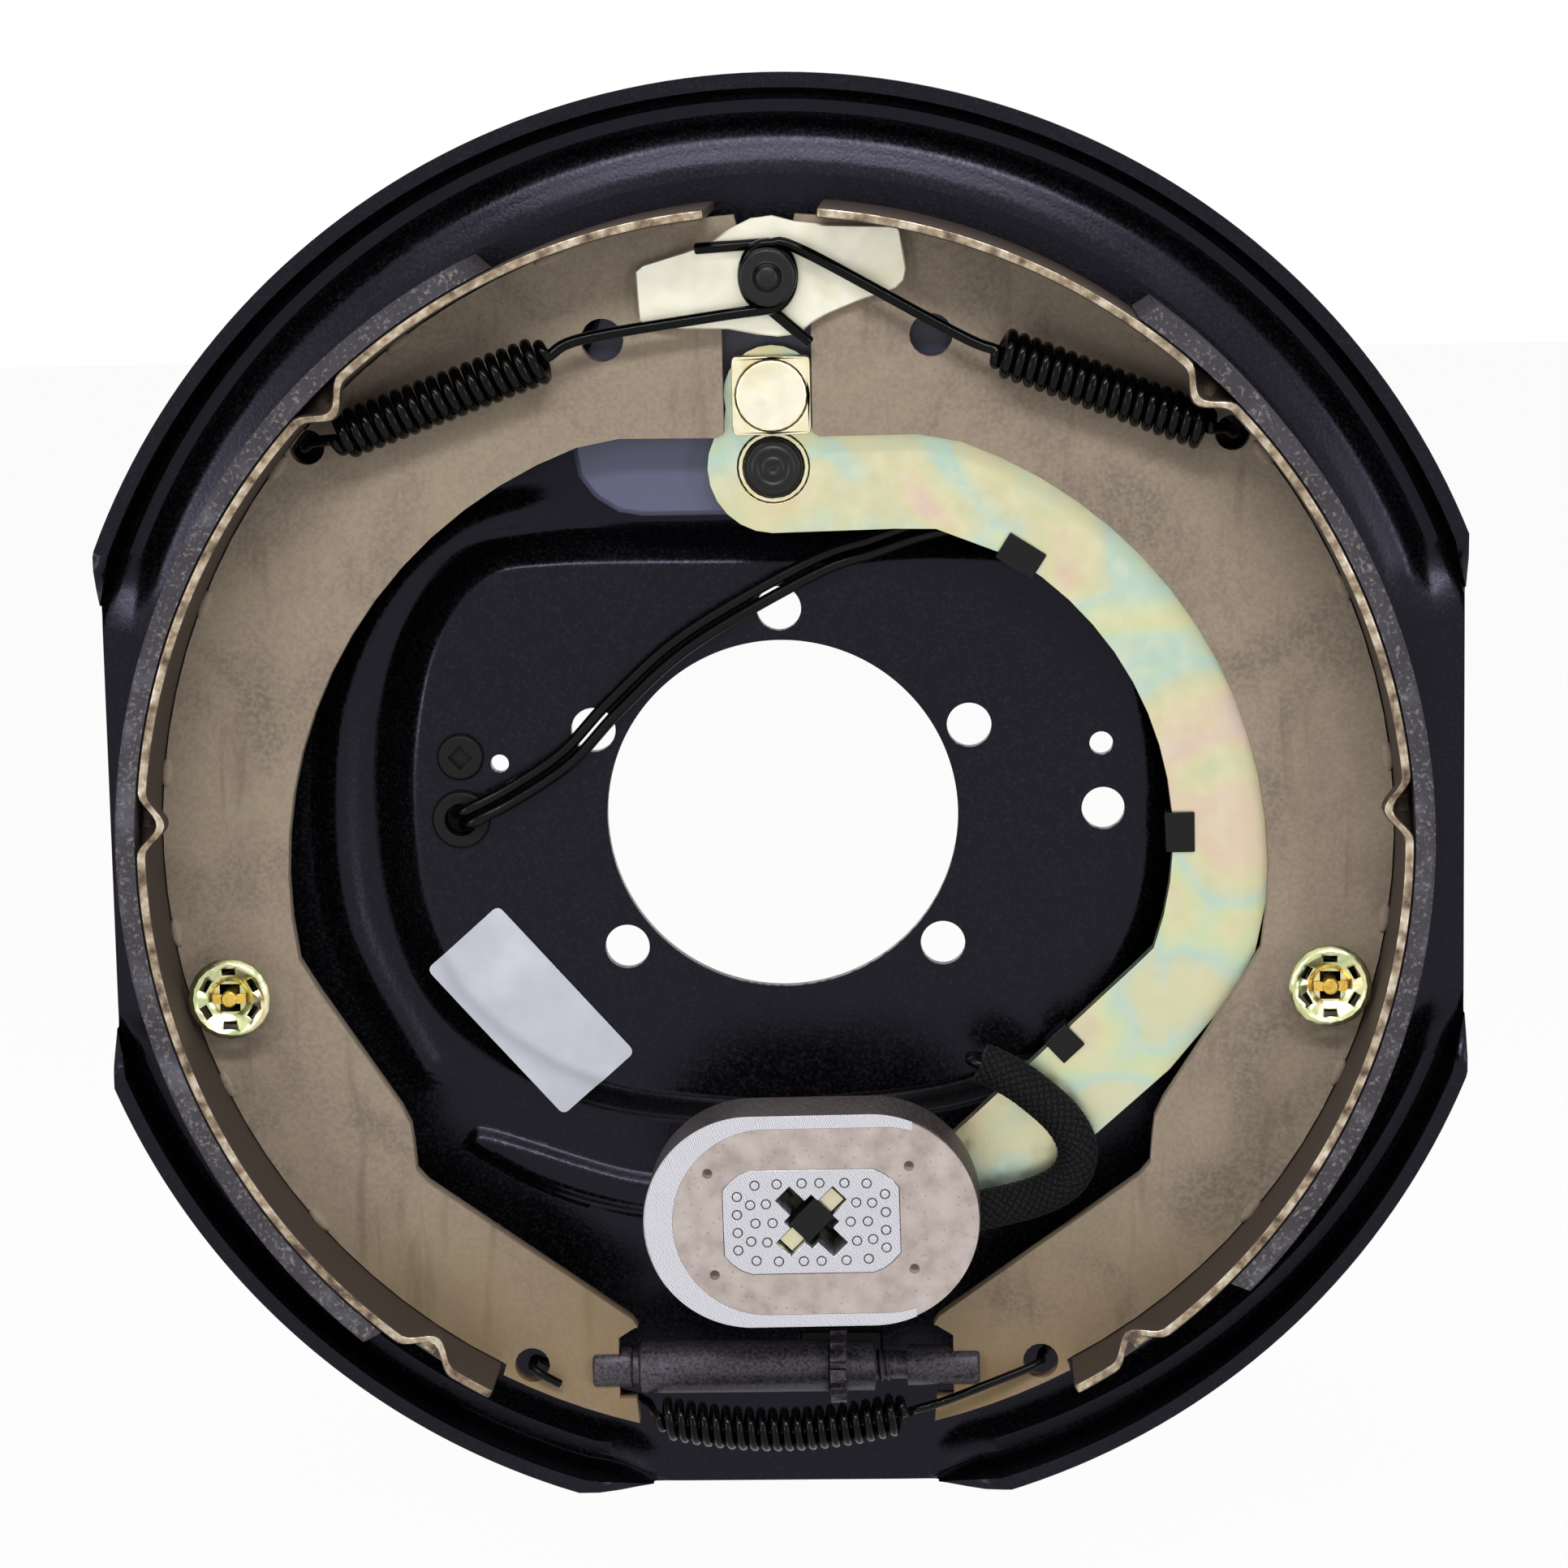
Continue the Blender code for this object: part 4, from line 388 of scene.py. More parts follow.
@dataclass(frozen=True)
class Phosphate(Finish):
    """Manganese phosphate on machined steel: nearly black, with a fine crystal tooth and brown edges."""

    def dress(self, coat: Coat) -> None:
        """Crystal grain and faint brown wear."""
        grain = coat.noise(0.7, 4.0)
        tone = coat.ramp(grain, (0.30, "#1B191D"), (0.55, self.colour), (0.75, "#5A555A"))
        wear = coat.spread(coat.noise(5.0, 4.0), 0.0, 0.5, 0.55, 0.75)
        coat.drive("Base Color", coat.mixed(wear, tone, "#4B3B31"))
        self.gloss(coat, grain, 0.1, 0.1)
        coat.bump(grain, 0.06, 0.8)


@dataclass(frozen=True)
class FrictionFace(Finish):
    """The magnet's moulded friction face: pale grey-pink, dry, with dark dust in its pores."""

    def dress(self, coat: Coat) -> None:
        """Cloudy ground with sparse pores."""
        spots = add_node(coat.tree, "TexVoronoi", {"feature": "F1"},
                         {"Vector": coat.place, "Scale": per_metre(1.8)}).outputs["Distance"]
        tone = coat.ramp(coat.noise(5.0, 5.0), (0.30, "#A39690"), (0.50, self.colour), (0.72, "#C3B7B2"))
        coat.drive("Base Color", coat.mixed(coat.spread(spots, 0.5, 0.0, 0.06, 0.2), tone, "#71645E"))
        coat.bump(coat.noise(0.8, 3.0), 0.05, 0.7)


@dataclass(frozen=True)
class BraidYarn(Finish):
    """Braided synthetic yarn with painted light: crowns painted pale as highlights, gaps black as shade."""

    def dress(self, coat: Coat) -> None:
        """Yarn tone from the sleeve's own height attribute: crowns painted pale as a highlight, gaps painted
        black as shade.
        """
        crown = add_node(coat.tree, "Attribute", {"attribute_name": "crown"}).outputs["Fac"]
        fibre = coat.noise(0.5, 3.0)
        tone = coat.ramp(crown, (0.25, "#020203"), (0.70, self.colour), (1.0, "#201F24"))
        coat.drive("Base Color", coat.mixed(coat.spread(fibre, 0.0, 0.5), tone, "#050507"))
        coat.shader.inputs["Sheen Weight"].default_value = 0.04
        coat.bump(fibre, 0.05, 0.6)


@dataclass(frozen=True)
class FoilLabel(Finish):
    """Silver-white foil with a brushed grain, left bare."""

    def dress(self, coat: Coat) -> None:
        """Brushing along the label and a slight handling sheen."""
        drawn = coat.mapped(Rotation=(0.0, math.radians(LABEL_TILT), 0.0), Scale=(0.07, 1.0, 1.0))
        brushed = coat.noise(0.6, 3.0, place=drawn)
        coat.drive("Base Color", coat.ramp(coat.noise(12.0, 3.0), (0.30, "#BDBFCC"), (0.55, self.colour),
                                           (0.75, "#D3D4DE")))
        coat.drive("Roughness", coat.spread(brushed, 0.38, 0.55))
        coat.bump(brushed, 0.01, 0.4)


BLACK_PAINT = BlackPaint("black_electrocoat", "#070608", 0.25, specular=0.26)
# The anchor bracket is black enamel; its blue-grey colour is a painted highlight, the sheen its faces catch.
BRACKET_SHEEN_PAINT = Finish("blue_black_enamel", "#54566F", 0.34)
PRIMER = ShopPrimer("brown_grey_primer", "#8C7C6F", 0.60, specular=0.25)
# Primer darkened as painted shade, for the shoe table's broad faces under the lining and web.
TABLE_SHADE_PRIMER = Finish("dark_primer", "#463C35", 0.60, specular=0.25)
TABLE_EDGE = WornSteel("worn_strip_steel", "#94826C", 0.42, 0.75)
LINING = BrakeLining("moulded_lining", "#454249", 0.9, specular=0.25)
YELLOW_ZINC = ZincPlate("yellow_chromate_zinc", "#D0CDB2", 0.36, 0.92, drift=34.0,
                        film=("#D4C8AA", "#D9D5A6", "#C8D8AE", "#B6D2C6", "#CDD0AC", "#D8D2A6", "#DFC5AE",
                              "#D8C2BC"))
CUP_ZINC = ZincPlate("yellow_zinc_bright", "#E2D6A6", 0.24, 0.97, drift=9.0,
                     film=("#EBDDA8", "#DCDDA4", "#A9BF8C", "#ECE2B8", "#D2B98A"))
PALE_ZINC = ZincPlate("pale_chromate_zinc", "#E9E6D2", 0.38, 0.85, drift=18.0,
                      film=("#DAD4B6", "#EAE6D2", "#F0EDDD", "#DFDCC4"))
BLOCK_ZINC = ZincPlate("block_zinc", "#EBE2BE", 0.34, 0.88, drift=8.0, film=("#DDD09A", "#F0E9CC", "#E6DAAE"))
STUD_ZINC = ZincPlate("stud_zinc", "#F0EAD0", 0.34, 0.88, drift=8.0, film=("#EAE2C2", "#F4EFDC", "#EFE8CE"))
PIN_ZINC = ZincPlate("pin_yellow_zinc", "#D9B04A", 0.28, 0.95, drift=3.0,
                     film=("#C99A35", "#E6C56A", "#D9B04A"))
SPRING_BLACK = Finish("black_spring_wire", "#030304", 0.13, specular=0.13)
CLIP_BLACK = Finish("black_spring_strip", "#0C0C0E", 0.30, specular=0.22)
PHOSPHATE = Phosphate("manganese_phosphate", "#48444D", 0.44, 0.6)
POST_BLACK = Finish("blackened_forging", "#0D0C0E", 0.36, specular=0.3)
MAGNET_STEEL = GroundSteel("face_turned_steel", "#CFCED5", 0.30, 0.92)
CORE_STEEL = GroundSteel("stamped_core_steel", "#C6C6CC", 0.34, 0.90)
MAGNET_SIDE = Phosphate("magnet_side_oxide", "#4F4646", 0.55, 0.4)
FRICTION = FrictionFace("magnet_friction_face", "#B5A8A4", 0.78, specular=0.3)
BRAID = BraidYarn("black_braid", "#0A0A0C", 0.75, specular=0.15)
LEAD_JACKET = Finish("black_lead_jacket", "#040405", 0.22, specular=0.16)
COPPER = Finish("tinned_copper_strands", "#C9A98C", 0.35, 0.95)
RUBBER = Finish("black_rubber", "#0C0C0E", 0.50, specular=0.18)
LABEL_FOIL = FoilLabel("silver_label_foil", "#C6C8D3", 0.45, 0.15)


# Surfaces


def grid_faces(rows: int, columns: int, close_rows: bool, close_columns: bool) -> Array:
    """Corner numbers of a grid's quads, as an (n, 4) array."""
    a = np.arange(rows if close_rows else rows - 1)[:, None]
    b = np.arange(columns if close_columns else columns - 1)[None, :]
    after_a, after_b = (a + 1) % rows, (b + 1) % columns
    corners = [a * columns + b, after_a * columns + b, after_a * columns + after_b, a * columns + after_b]
    return np.stack(np.broadcast_arrays(*corners), -1).reshape(-1, 4)


def mesh_from(name: str, points: Array, faces: Array) -> bpy.types.Mesh:
    """A mesh from whole arrays.

    Args:
        name: The mesh's name.
        points: (n, 3) places.
        faces: (m, 4) corner numbers.

    Returns:
        The mesh, before its seams are closed.
    """
    mesh = bpy.data.meshes.new(name)
    mesh.vertices.add(len(points))
    mesh.vertices.foreach_set("co", np.ascontiguousarray(points, np.float32).ravel())
    mesh.loops.add(faces.size)
    mesh.loops.foreach_set("vertex_index", np.ascontiguousarray(faces, np.int32).ravel())
    mesh.polygons.add(len(faces))
    mesh.polygons.foreach_set("loop_start", np.arange(0, faces.size, 4, dtype=np.int32))
    mesh.update(calc_edges=True)
    mesh.validate()
    return mesh


def close_seams(mesh: bpy.types.Mesh, outward: bool = True, distance: float = 1e-6) -> None:
    """Merge doubled points at seams and poles, and turn the faces of a closed shape outwards."""
    work = bmesh.new()
    work.from_mesh(mesh)
    bmesh.ops.remove_doubles(work, verts=work.verts, dist=distance)
    bmesh.ops.dissolve_degenerate(work, edges=work.edges, dist=distance)
    if outward:
        bmesh.ops.recalc_face_normals(work, faces=work.faces)
    work.to_mesh(mesh)
    work.free()


def shade(mesh: bpy.types.Mesh, degrees: float = 32.0) -> None:
    """Smooth shading that keeps edges sharper than this angle; faces square to the Y axis stay flat."""
    mesh.shade_smooth()
    mesh.set_sharp_from_angle(angle=math.radians(degrees))
    normals = np.zeros(len(mesh.polygons) * 3)
    mesh.polygons.foreach_get("normal", normals)
    smooth = np.abs(normals.reshape(-1, 3)[:, 1]) < 0.9996
    mesh.polygons.foreach_set("use_smooth", smooth)
    mesh.update()


def add_piece(name: str, mesh: bpy.types.Mesh, finish: Finish, sharp: float = 32.0) -> Object:
    """Add a mesh to the scene as a piece at the origin.

    Args:
        name: The piece's name.
        mesh: Its mesh.
        finish: Its finish.
        sharp: Angle in degrees above which an edge stays sharp.

    Returns:
        The piece.
    """
    made = bpy.data.objects.new(name, mesh)
    mesh.materials.clear()
    mesh.materials.append(finish.material())
    shade(mesh, sharp)
    bpy.context.scene.collection.objects.link(made)
    return made


def repaint(piece: Object, finish: Finish, chosen: Callable[[Array, Array], Array]) -> None:
    """Give a piece's chosen faces a second finish.

    Args:
        piece: The piece.
        finish: The second finish.
        chosen: From the faces' normals and middles, both (n, 3), to which of them it covers.
    """
    mesh = piece.data
    mesh.materials.append(finish.material())
    normals, middles = np.zeros((2, len(mesh.polygons) * 3))
    mesh.polygons.foreach_get("normal", normals)
    mesh.polygons.foreach_get("center", middles)
    covered = chosen(normals.reshape(-1, 3), middles.reshape(-1, 3))
    mesh.polygons.foreach_set("material_index", covered.astype(np.int32))
    mesh.update()


def grid_piece(name: str, points: Array, finish: Finish, close_rows: bool = False,
               close_columns: bool = False, sharp: float = 32.0) -> Object:
    """A closed piece from grids of points.

    Args:
        name: The piece's name.
        points: (rows, columns, 3), or (k, rows, columns, 3) for k like grids in one piece.
        finish: Its finish.
        close_rows: Whether the last row joins the first.
        close_columns: Whether the last column joins the first.
        sharp: Angle in degrees above which an edge stays sharp.

    Returns:
        The piece, with its seams and poles merged and its faces outwards.
    """
    grids = points if points.ndim == 4 else points[None]
    count, rows, columns = grids.shape[:3]
    faces = grid_faces(rows, columns, close_rows, close_columns)
    every = (faces[None] + (np.arange(count) * rows * columns)[:, None, None]).reshape(-1, 4)
    mesh = mesh_from(name, grids.reshape(-1, 3), every)
    close_seams(mesh)
    return add_piece(name, mesh, finish, sharp)


def settle(piece: Object) -> None:
    """Apply a piece's modifiers to its mesh."""
    bpy.context.view_layer.update()
    graph = bpy.context.evaluated_depsgraph_get()
    made = bpy.data.meshes.new_from_object(piece.evaluated_get(graph))
    made.name = piece.name
    piece.modifiers.clear()
    old = piece.data
    piece.data = made
    bpy.data.meshes.remove(old)


def bevel_edges(piece: Object, width: float, segments: int = 2, degrees: float = 30.0) -> None:
    """Round a piece's sharp edges over this width."""
    made = piece.modifiers.new("eased_edges", "BEVEL")
    made.width = width
    made.segments = segments
    made.limit_method = "ANGLE"
    made.angle_limit = math.radians(degrees)
    made.harden_normals = True
    made.use_clamp_overlap = True


def cut(piece: Object, cutter: Object) -> None:
    """Subtract a cutter from a piece and remove the cutter."""
    made = piece.modifiers.new("cut", "BOOLEAN")
    made.operation = "DIFFERENCE"
    made.solver = "EXACT"
    made.object = cutter
    settle(piece)
    bpy.data.objects.remove(cutter)


def attach(piece: Object, body: str, slot: str, *nodes: str) -> Object:
    """Ride a piece on a body, in place of CAD nodes.

    Args:
        piece: The piece.
        body: The body that carries it.
        slot: The record's material slot; not used.
        nodes: The CAD nodes that it replaces, if any.

    Returns:
        The piece.
    """
    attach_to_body(piece, body)
    if nodes:
        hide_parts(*nodes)
    log.info("%s: %d faces on %s", piece.name, len(piece.data.polygons), body)
    return piece


def cross_blend(piece: Object, bodies: tuple[str, str], start: Sequence[float], end: Sequence[float],
                slot: str, *nodes: str) -> Object:
    """Bake a piece's place into its mesh, in place of CAD nodes.

    Args:
        piece: The piece.
        bodies: The bodies for its two ends, named only in the log.
        start: Where it stops going wholly with the first; not used.
        end: Where it starts going wholly with the second; not used.
        slot: The record's material slot; not used.
        nodes: The CAD nodes that it replaces.

    Returns:
        The piece.
    """
    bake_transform(piece)
    if nodes:
        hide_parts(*nodes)
    log.info("%s: %d faces between %s and %s", piece.name, len(piece.data.polygons), *bodies)
    return piece


def dressed(frame: dict, node: str, finish: Finish, slot: str, edge: float, segments: int = 2,
            sharp: float = 35.0) -> Object:
    """A merged copy of a CAD node with eased edges, in a finish, riding where the node rides.

    Args:
        node: The CAD node's name.
        finish: The copy's finish.
        slot: The record's material slot; not used.
        edge: Width of the eased edges.
        segments: Segments across an eased edge.
        sharp: Angle in degrees above which an edge is eased.

    Returns:
        The copy, named after the node.
    """
    source = frame["nodes"][node]
    mesh = source.data.copy()
    mesh.name = f"{node}_dressed"
    work = bmesh.new()
    work.from_mesh(mesh)
    bmesh.ops.remove_doubles(work, verts=work.verts, dist=2e-6)
    bmesh.ops.dissolve_limit(work, angle_limit=math.radians(0.6), verts=work.verts, edges=work.edges,
                             delimit={"NORMAL"})
    work.to_mesh(mesh)
    work.free()
    if "custom_normal" in mesh.attributes:
        mesh.attributes.remove(mesh.attributes["custom_normal"])
    piece = add_piece(f"{node}_dressed", mesh, finish, sharp)
    bevel_edges(piece, edge, segments, sharp)
    settle(piece)
    shade(piece.data, 45.0)
    return attach(piece, source["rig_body"], slot, node)


# Lines and profiles


def full_turn(count: int) -> Array:
    """Angles once round, evenly spaced, in radians."""
    return np.linspace(0.0, 2 * math.pi, count, endpoint=False)


def smoothstep(low: float, high: float, value: Array) -> Array:
    """0 below low, 1 above high, and a smooth S between them."""
    t = np.clip((np.asarray(value, float) - low) / (high - low), 0.0, 1.0)
    return t * t * (3 - 2 * t)


def arc(centre: Sequence[float], radius: float, start: float, end: float, count: int) -> Array:
    """Evenly spaced points on an arc in the XZ plane.

    Args:
        centre: The arc's centre.
        radius: Its radius.
        start: Where it starts, degrees from the X axis.
        end: Where it ends.
        count: How many points, with both ends.

    Returns:
        A (count, 2) array.
    """
    turn = np.radians(np.linspace(start, end, count))
    return np.stack([centre[0] + radius * np.cos(turn), centre[1] + radius * np.sin(turn)], -1)


def even(points: Array, count: int) -> Array:
    """The same line with evenly spaced points, by interpolation along its length."""
    steps = np.linalg.norm(np.diff(points, axis=0), axis=1)
    along = np.concatenate([[0.0], np.cumsum(steps)])
    want = np.linspace(0.0, along[-1], count)
    return np.stack([np.interp(want, along, points[:, k]) for k in range(points.shape[1])], -1)


def through(points: Sequence[Sequence[float]], count: int) -> Array:
    """Evenly spaced points on a Catmull-Rom curve.

    Each stretch from p1 to p2 is half of 2 p1 + (p2 - p0) t + (2 p0 - 5 p1 + 4 p2 - p3) t squared
    + (3 p1 - p0 - 3 p2 + p3) t cubed.

    Args:
        points: The route's own points.
        count: How many points to return.

    Returns:
        A (count, k) array.
    """
    route = np.asarray(points, float)
    ends = np.vstack([2 * route[:1] - route[1:2], route, 2 * route[-1:] - route[-2:-1]])
    p0, p1, p2, p3 = (ends[k:len(ends) - 3 + k, None, :] for k in range(4))
    t = np.linspace(0.0, 1.0, 16, endpoint=False)[None, :, None]
    fine = 0.5 * (2 * p1 + (p2 - p0) * t + (2 * p0 - 5 * p1 + 4 * p2 - p3) * t ** 2
                  + (3 * p1 - p0 - 3 * p2 + p3) * t ** 3)
    return even(np.vstack([fine.reshape(-1, route.shape[1]), route[-1:]]), count)


def helix(start: Sequence[float], end: Sequence[float], radius: float, turns: int,
          sag: float = 0.0) -> Array:
    """A coil about the line from start to end.

    A point is the axis point plus radius times (cos a side + sin a up), where a grows evenly with the length
    and the radius draws in to the axis over the last half turn at each end. The axis sags as 4 t (1 - t).

    Args:
        start: Where the coil's axis starts.
        end: Where it ends.
        radius: The coil's mean radius.
        turns: How many turns, of 24 steps each.
        sag: How far the middle hangs down.

    Returns:
        The centreline, (24 turns + 1, 3).
    """
    first, last = np.asarray(start, float), np.asarray(end, float)
    axis = (last - first) / np.linalg.norm(last - first)
    up = np.cross(axis, (0.0, -1.0, 0.0))
    up /= np.linalg.norm(up)
    side = np.cross(up, axis)
    t = np.linspace(0.0, 1.0, turns * 24 + 1)[:, None]
    turn = 2 * math.pi * turns * t
    reach = radius * (0.35 + 0.65 * np.minimum(1.0, np.minimum(turns * t, turns * (1 - t)) / 0.5))
    centre = first + (last - first) * t - np.array([[0.0, 0.0, 1.0]]) * (sag * 4 * t * (1 - t))
    return centre + reach * (np.cos(turn) * side + np.sin(turn) * up)


def coil_along_y(centre: Sequence[float], radii: tuple[float, float], depths: tuple[float, float],
                 turns: int, count: int) -> Array:
    """A coil about an axis along Y, whose angle, radius and depth all grow evenly from end to end.

    Args:
        centre: The axis in the XZ plane.
        radii: Its radius at the two ends.
        depths: The depth of the two ends.
        turns: How many turns.
        count: How many points.

    Returns:
        The centreline, (count, 3).
    """
    t = np.linspace(0.0, 1.0, count)
    reach, turn = radii[0] + (radii[1] - radii[0]) * t, 2 * math.pi * turns * t
    return np.stack([centre[0] + reach * np.cos(turn), depths[0] + (depths[1] - depths[0]) * t,
                     centre[1] + reach * np.sin(turn)], -1)


def carried(path: Array) -> tuple[Array, Array, Array]:
    """Directions along a path and across it, carried from point to point without twist.

    Args:
        path: (n, 3) points.

    Returns:
        Tangents, and two directions across, each (n, 3).
    """
    tangent = np.gradient(path, axis=0)
    tangent /= np.linalg.norm(tangent, axis=1)[:, None]
    first = np.cross(tangent[0], (0.0, 1.0, 0.0) if abs(tangent[0][1]) < 0.9 else (1.0, 0.0, 0.0))
    across = [first / np.linalg.norm(first)]
    for direction in tangent[1:]:
        carry = across[-1] - direction * np.dot(across[-1], direction)
        across.append(carry / np.linalg.norm(carry))
    side = np.array(across)
    return tangent, side, np.cross(tangent, side)


def rings(side: Array, up: Array, count: int) -> Array:
    """Unit circles round a path, cos a side + sin a up, as an (n, count, 3) array."""
    turn = full_turn(count)[None, :, None]
    return np.cos(turn) * side[:, None, :] + np.sin(turn) * up[:, None, :]


def tube_piece(name: str, path: Array, radius: float, finish: Finish, sides: int = 12,
               sharp: float = 60.0) -> Object:
    """Round wire or cable along its centreline, each end closed by a dome 0.35 of its radius high.

    A point is the path's point plus the radius times (cos a side + sin a up).

    Args:
        name: The piece's name.
        path: (n, 3) centreline.
        radius: The wire's radius.
        finish: Its finish.
        sides: Points around it.
        sharp: Angle in degrees above which an edge stays sharp.

    Returns:
        The piece.
    """
    tangent, side, up = carried(path)
    ring = rings(side, up, sides)
    bend = np.radians([90.0, 60.0, 30.0])[:, None, None]
    dome = 0.35 * radius
    head = path[0] - tangent[0] * dome * np.sin(bend) + ring[:1] * radius * np.cos(bend)
    tail = path[-1] + tangent[-1] * dome * np.sin(bend) + ring[-1:] * radius * np.cos(bend)
    grid = np.concatenate([head, path[:, None, :] + radius * ring, tail[::-1]])
    return grid_piece(name, grid, finish, close_columns=True, sharp=sharp)


def turned_at(places: Array, reach: Array, depth: Array, turn: Array) -> Array:
    """A profile turned about an axis along Y at each of many places.

    A point is (x + reach cos a, depth, z + reach sin a).

    Args:
        places: (n, 2) places in the XZ plane.
        reach: (n, m) or (1, m) distances from the axis along the profile.
        depth: (m,) depths along the profile.
        turn: (k,) angles round the axis.

    Returns:
        An (n, m, k, 3) array, one grid at each place.
    """
    spot, away = places[:, :, None, None], reach[:, :, None]
    x, z = spot[:, 0] + away * np.cos(turn), spot[:, 1] + away * np.sin(turn)
    return np.stack([x, np.broadcast_to(depth[:, None], x.shape), z], -1)


def turned_along_x(radius: Array, along: Array, count: int) -> Array:
    """A profile of radii and places along X, (m, 1) or (m, count), turned about the adjuster's axis."""
    turn = full_turn(count)[None, :]
    return np.stack([along + 0 * turn, WEB_MIDDLE + radius * np.cos(turn),
                     ADJUSTER_Z + radius * np.sin(turn)], -1)


def softened(profile: Sequence[Sequence[float]], radius: float, steps: int = 3) -> Array:
    """A profile with each inner corner rounded by a quadratic curve, ends kept."""
    points = np.asarray(profile, float)
    corner, before, after = points[1:-1], points[:-2], points[2:]
    back, ahead = before - corner, after - corner
    back_length = np.linalg.norm(back, axis=1)[:, None]
    ahead_length = np.linalg.norm(ahead, axis=1)[:, None]
    reach = np.minimum(radius, 0.45 * np.minimum(back_length, ahead_length))
    first = corner + back / back_length * reach
    last = corner + ahead / ahead_length * reach
    t = np.linspace(0.0, 1.0, steps + 1)[None, :, None]
    curve = (1 - t) ** 2 * first[:, None] + 2 * t * (1 - t) * corner[:, None] + t * t * last[:, None]
    return np.vstack([points[:1], curve.reshape(-1, points.shape[1]), points[-1:]])


def turned_piece(name: str, profile: Sequence[Sequence[float]], ease: float, place: tuple[float, float],
                 finish: Finish) -> Object:
    """A profile turned about an axis along Y.

    Args:
        name: The piece's name.
        profile: (radius, depth) points.
        ease: How far the profile's corners are rounded.
        place: The axis in the XZ plane.
        finish: The piece's finish.

    Returns:
        The piece.
    """
    line = softened(profile, ease)
    grid = turned_at(np.array([place]), line[None, :, 0], line[:, 1], full_turn(48))
    return grid_piece(name, grid, finish, close_columns=True)


def box_mesh(size: Sequence[float], place: Matrix) -> bpy.types.Mesh:
    """A box mesh of this size at a place."""
    work = bmesh.new()
    bmesh.ops.create_cube(work, size=1.0)
    bmesh.ops.scale(work, vec=size, verts=work.verts)
    bmesh.ops.transform(work, matrix=place, verts=work.verts)
    mesh = bpy.data.meshes.new("box")
    work.to_mesh(mesh)
    work.free()
    return mesh


def on_side(points: Sequence[float] | Array, side: Side) -> Array:
    """Points given from the shoe's centre for the right-hand side, placed on either side of it."""
    made = np.asarray(points, float)
    return np.stack([SHOE_CENTRE[0] + side.value * made[..., 0], SHOE_CENTRE[1] + made[..., 1]], -1)


# Studio


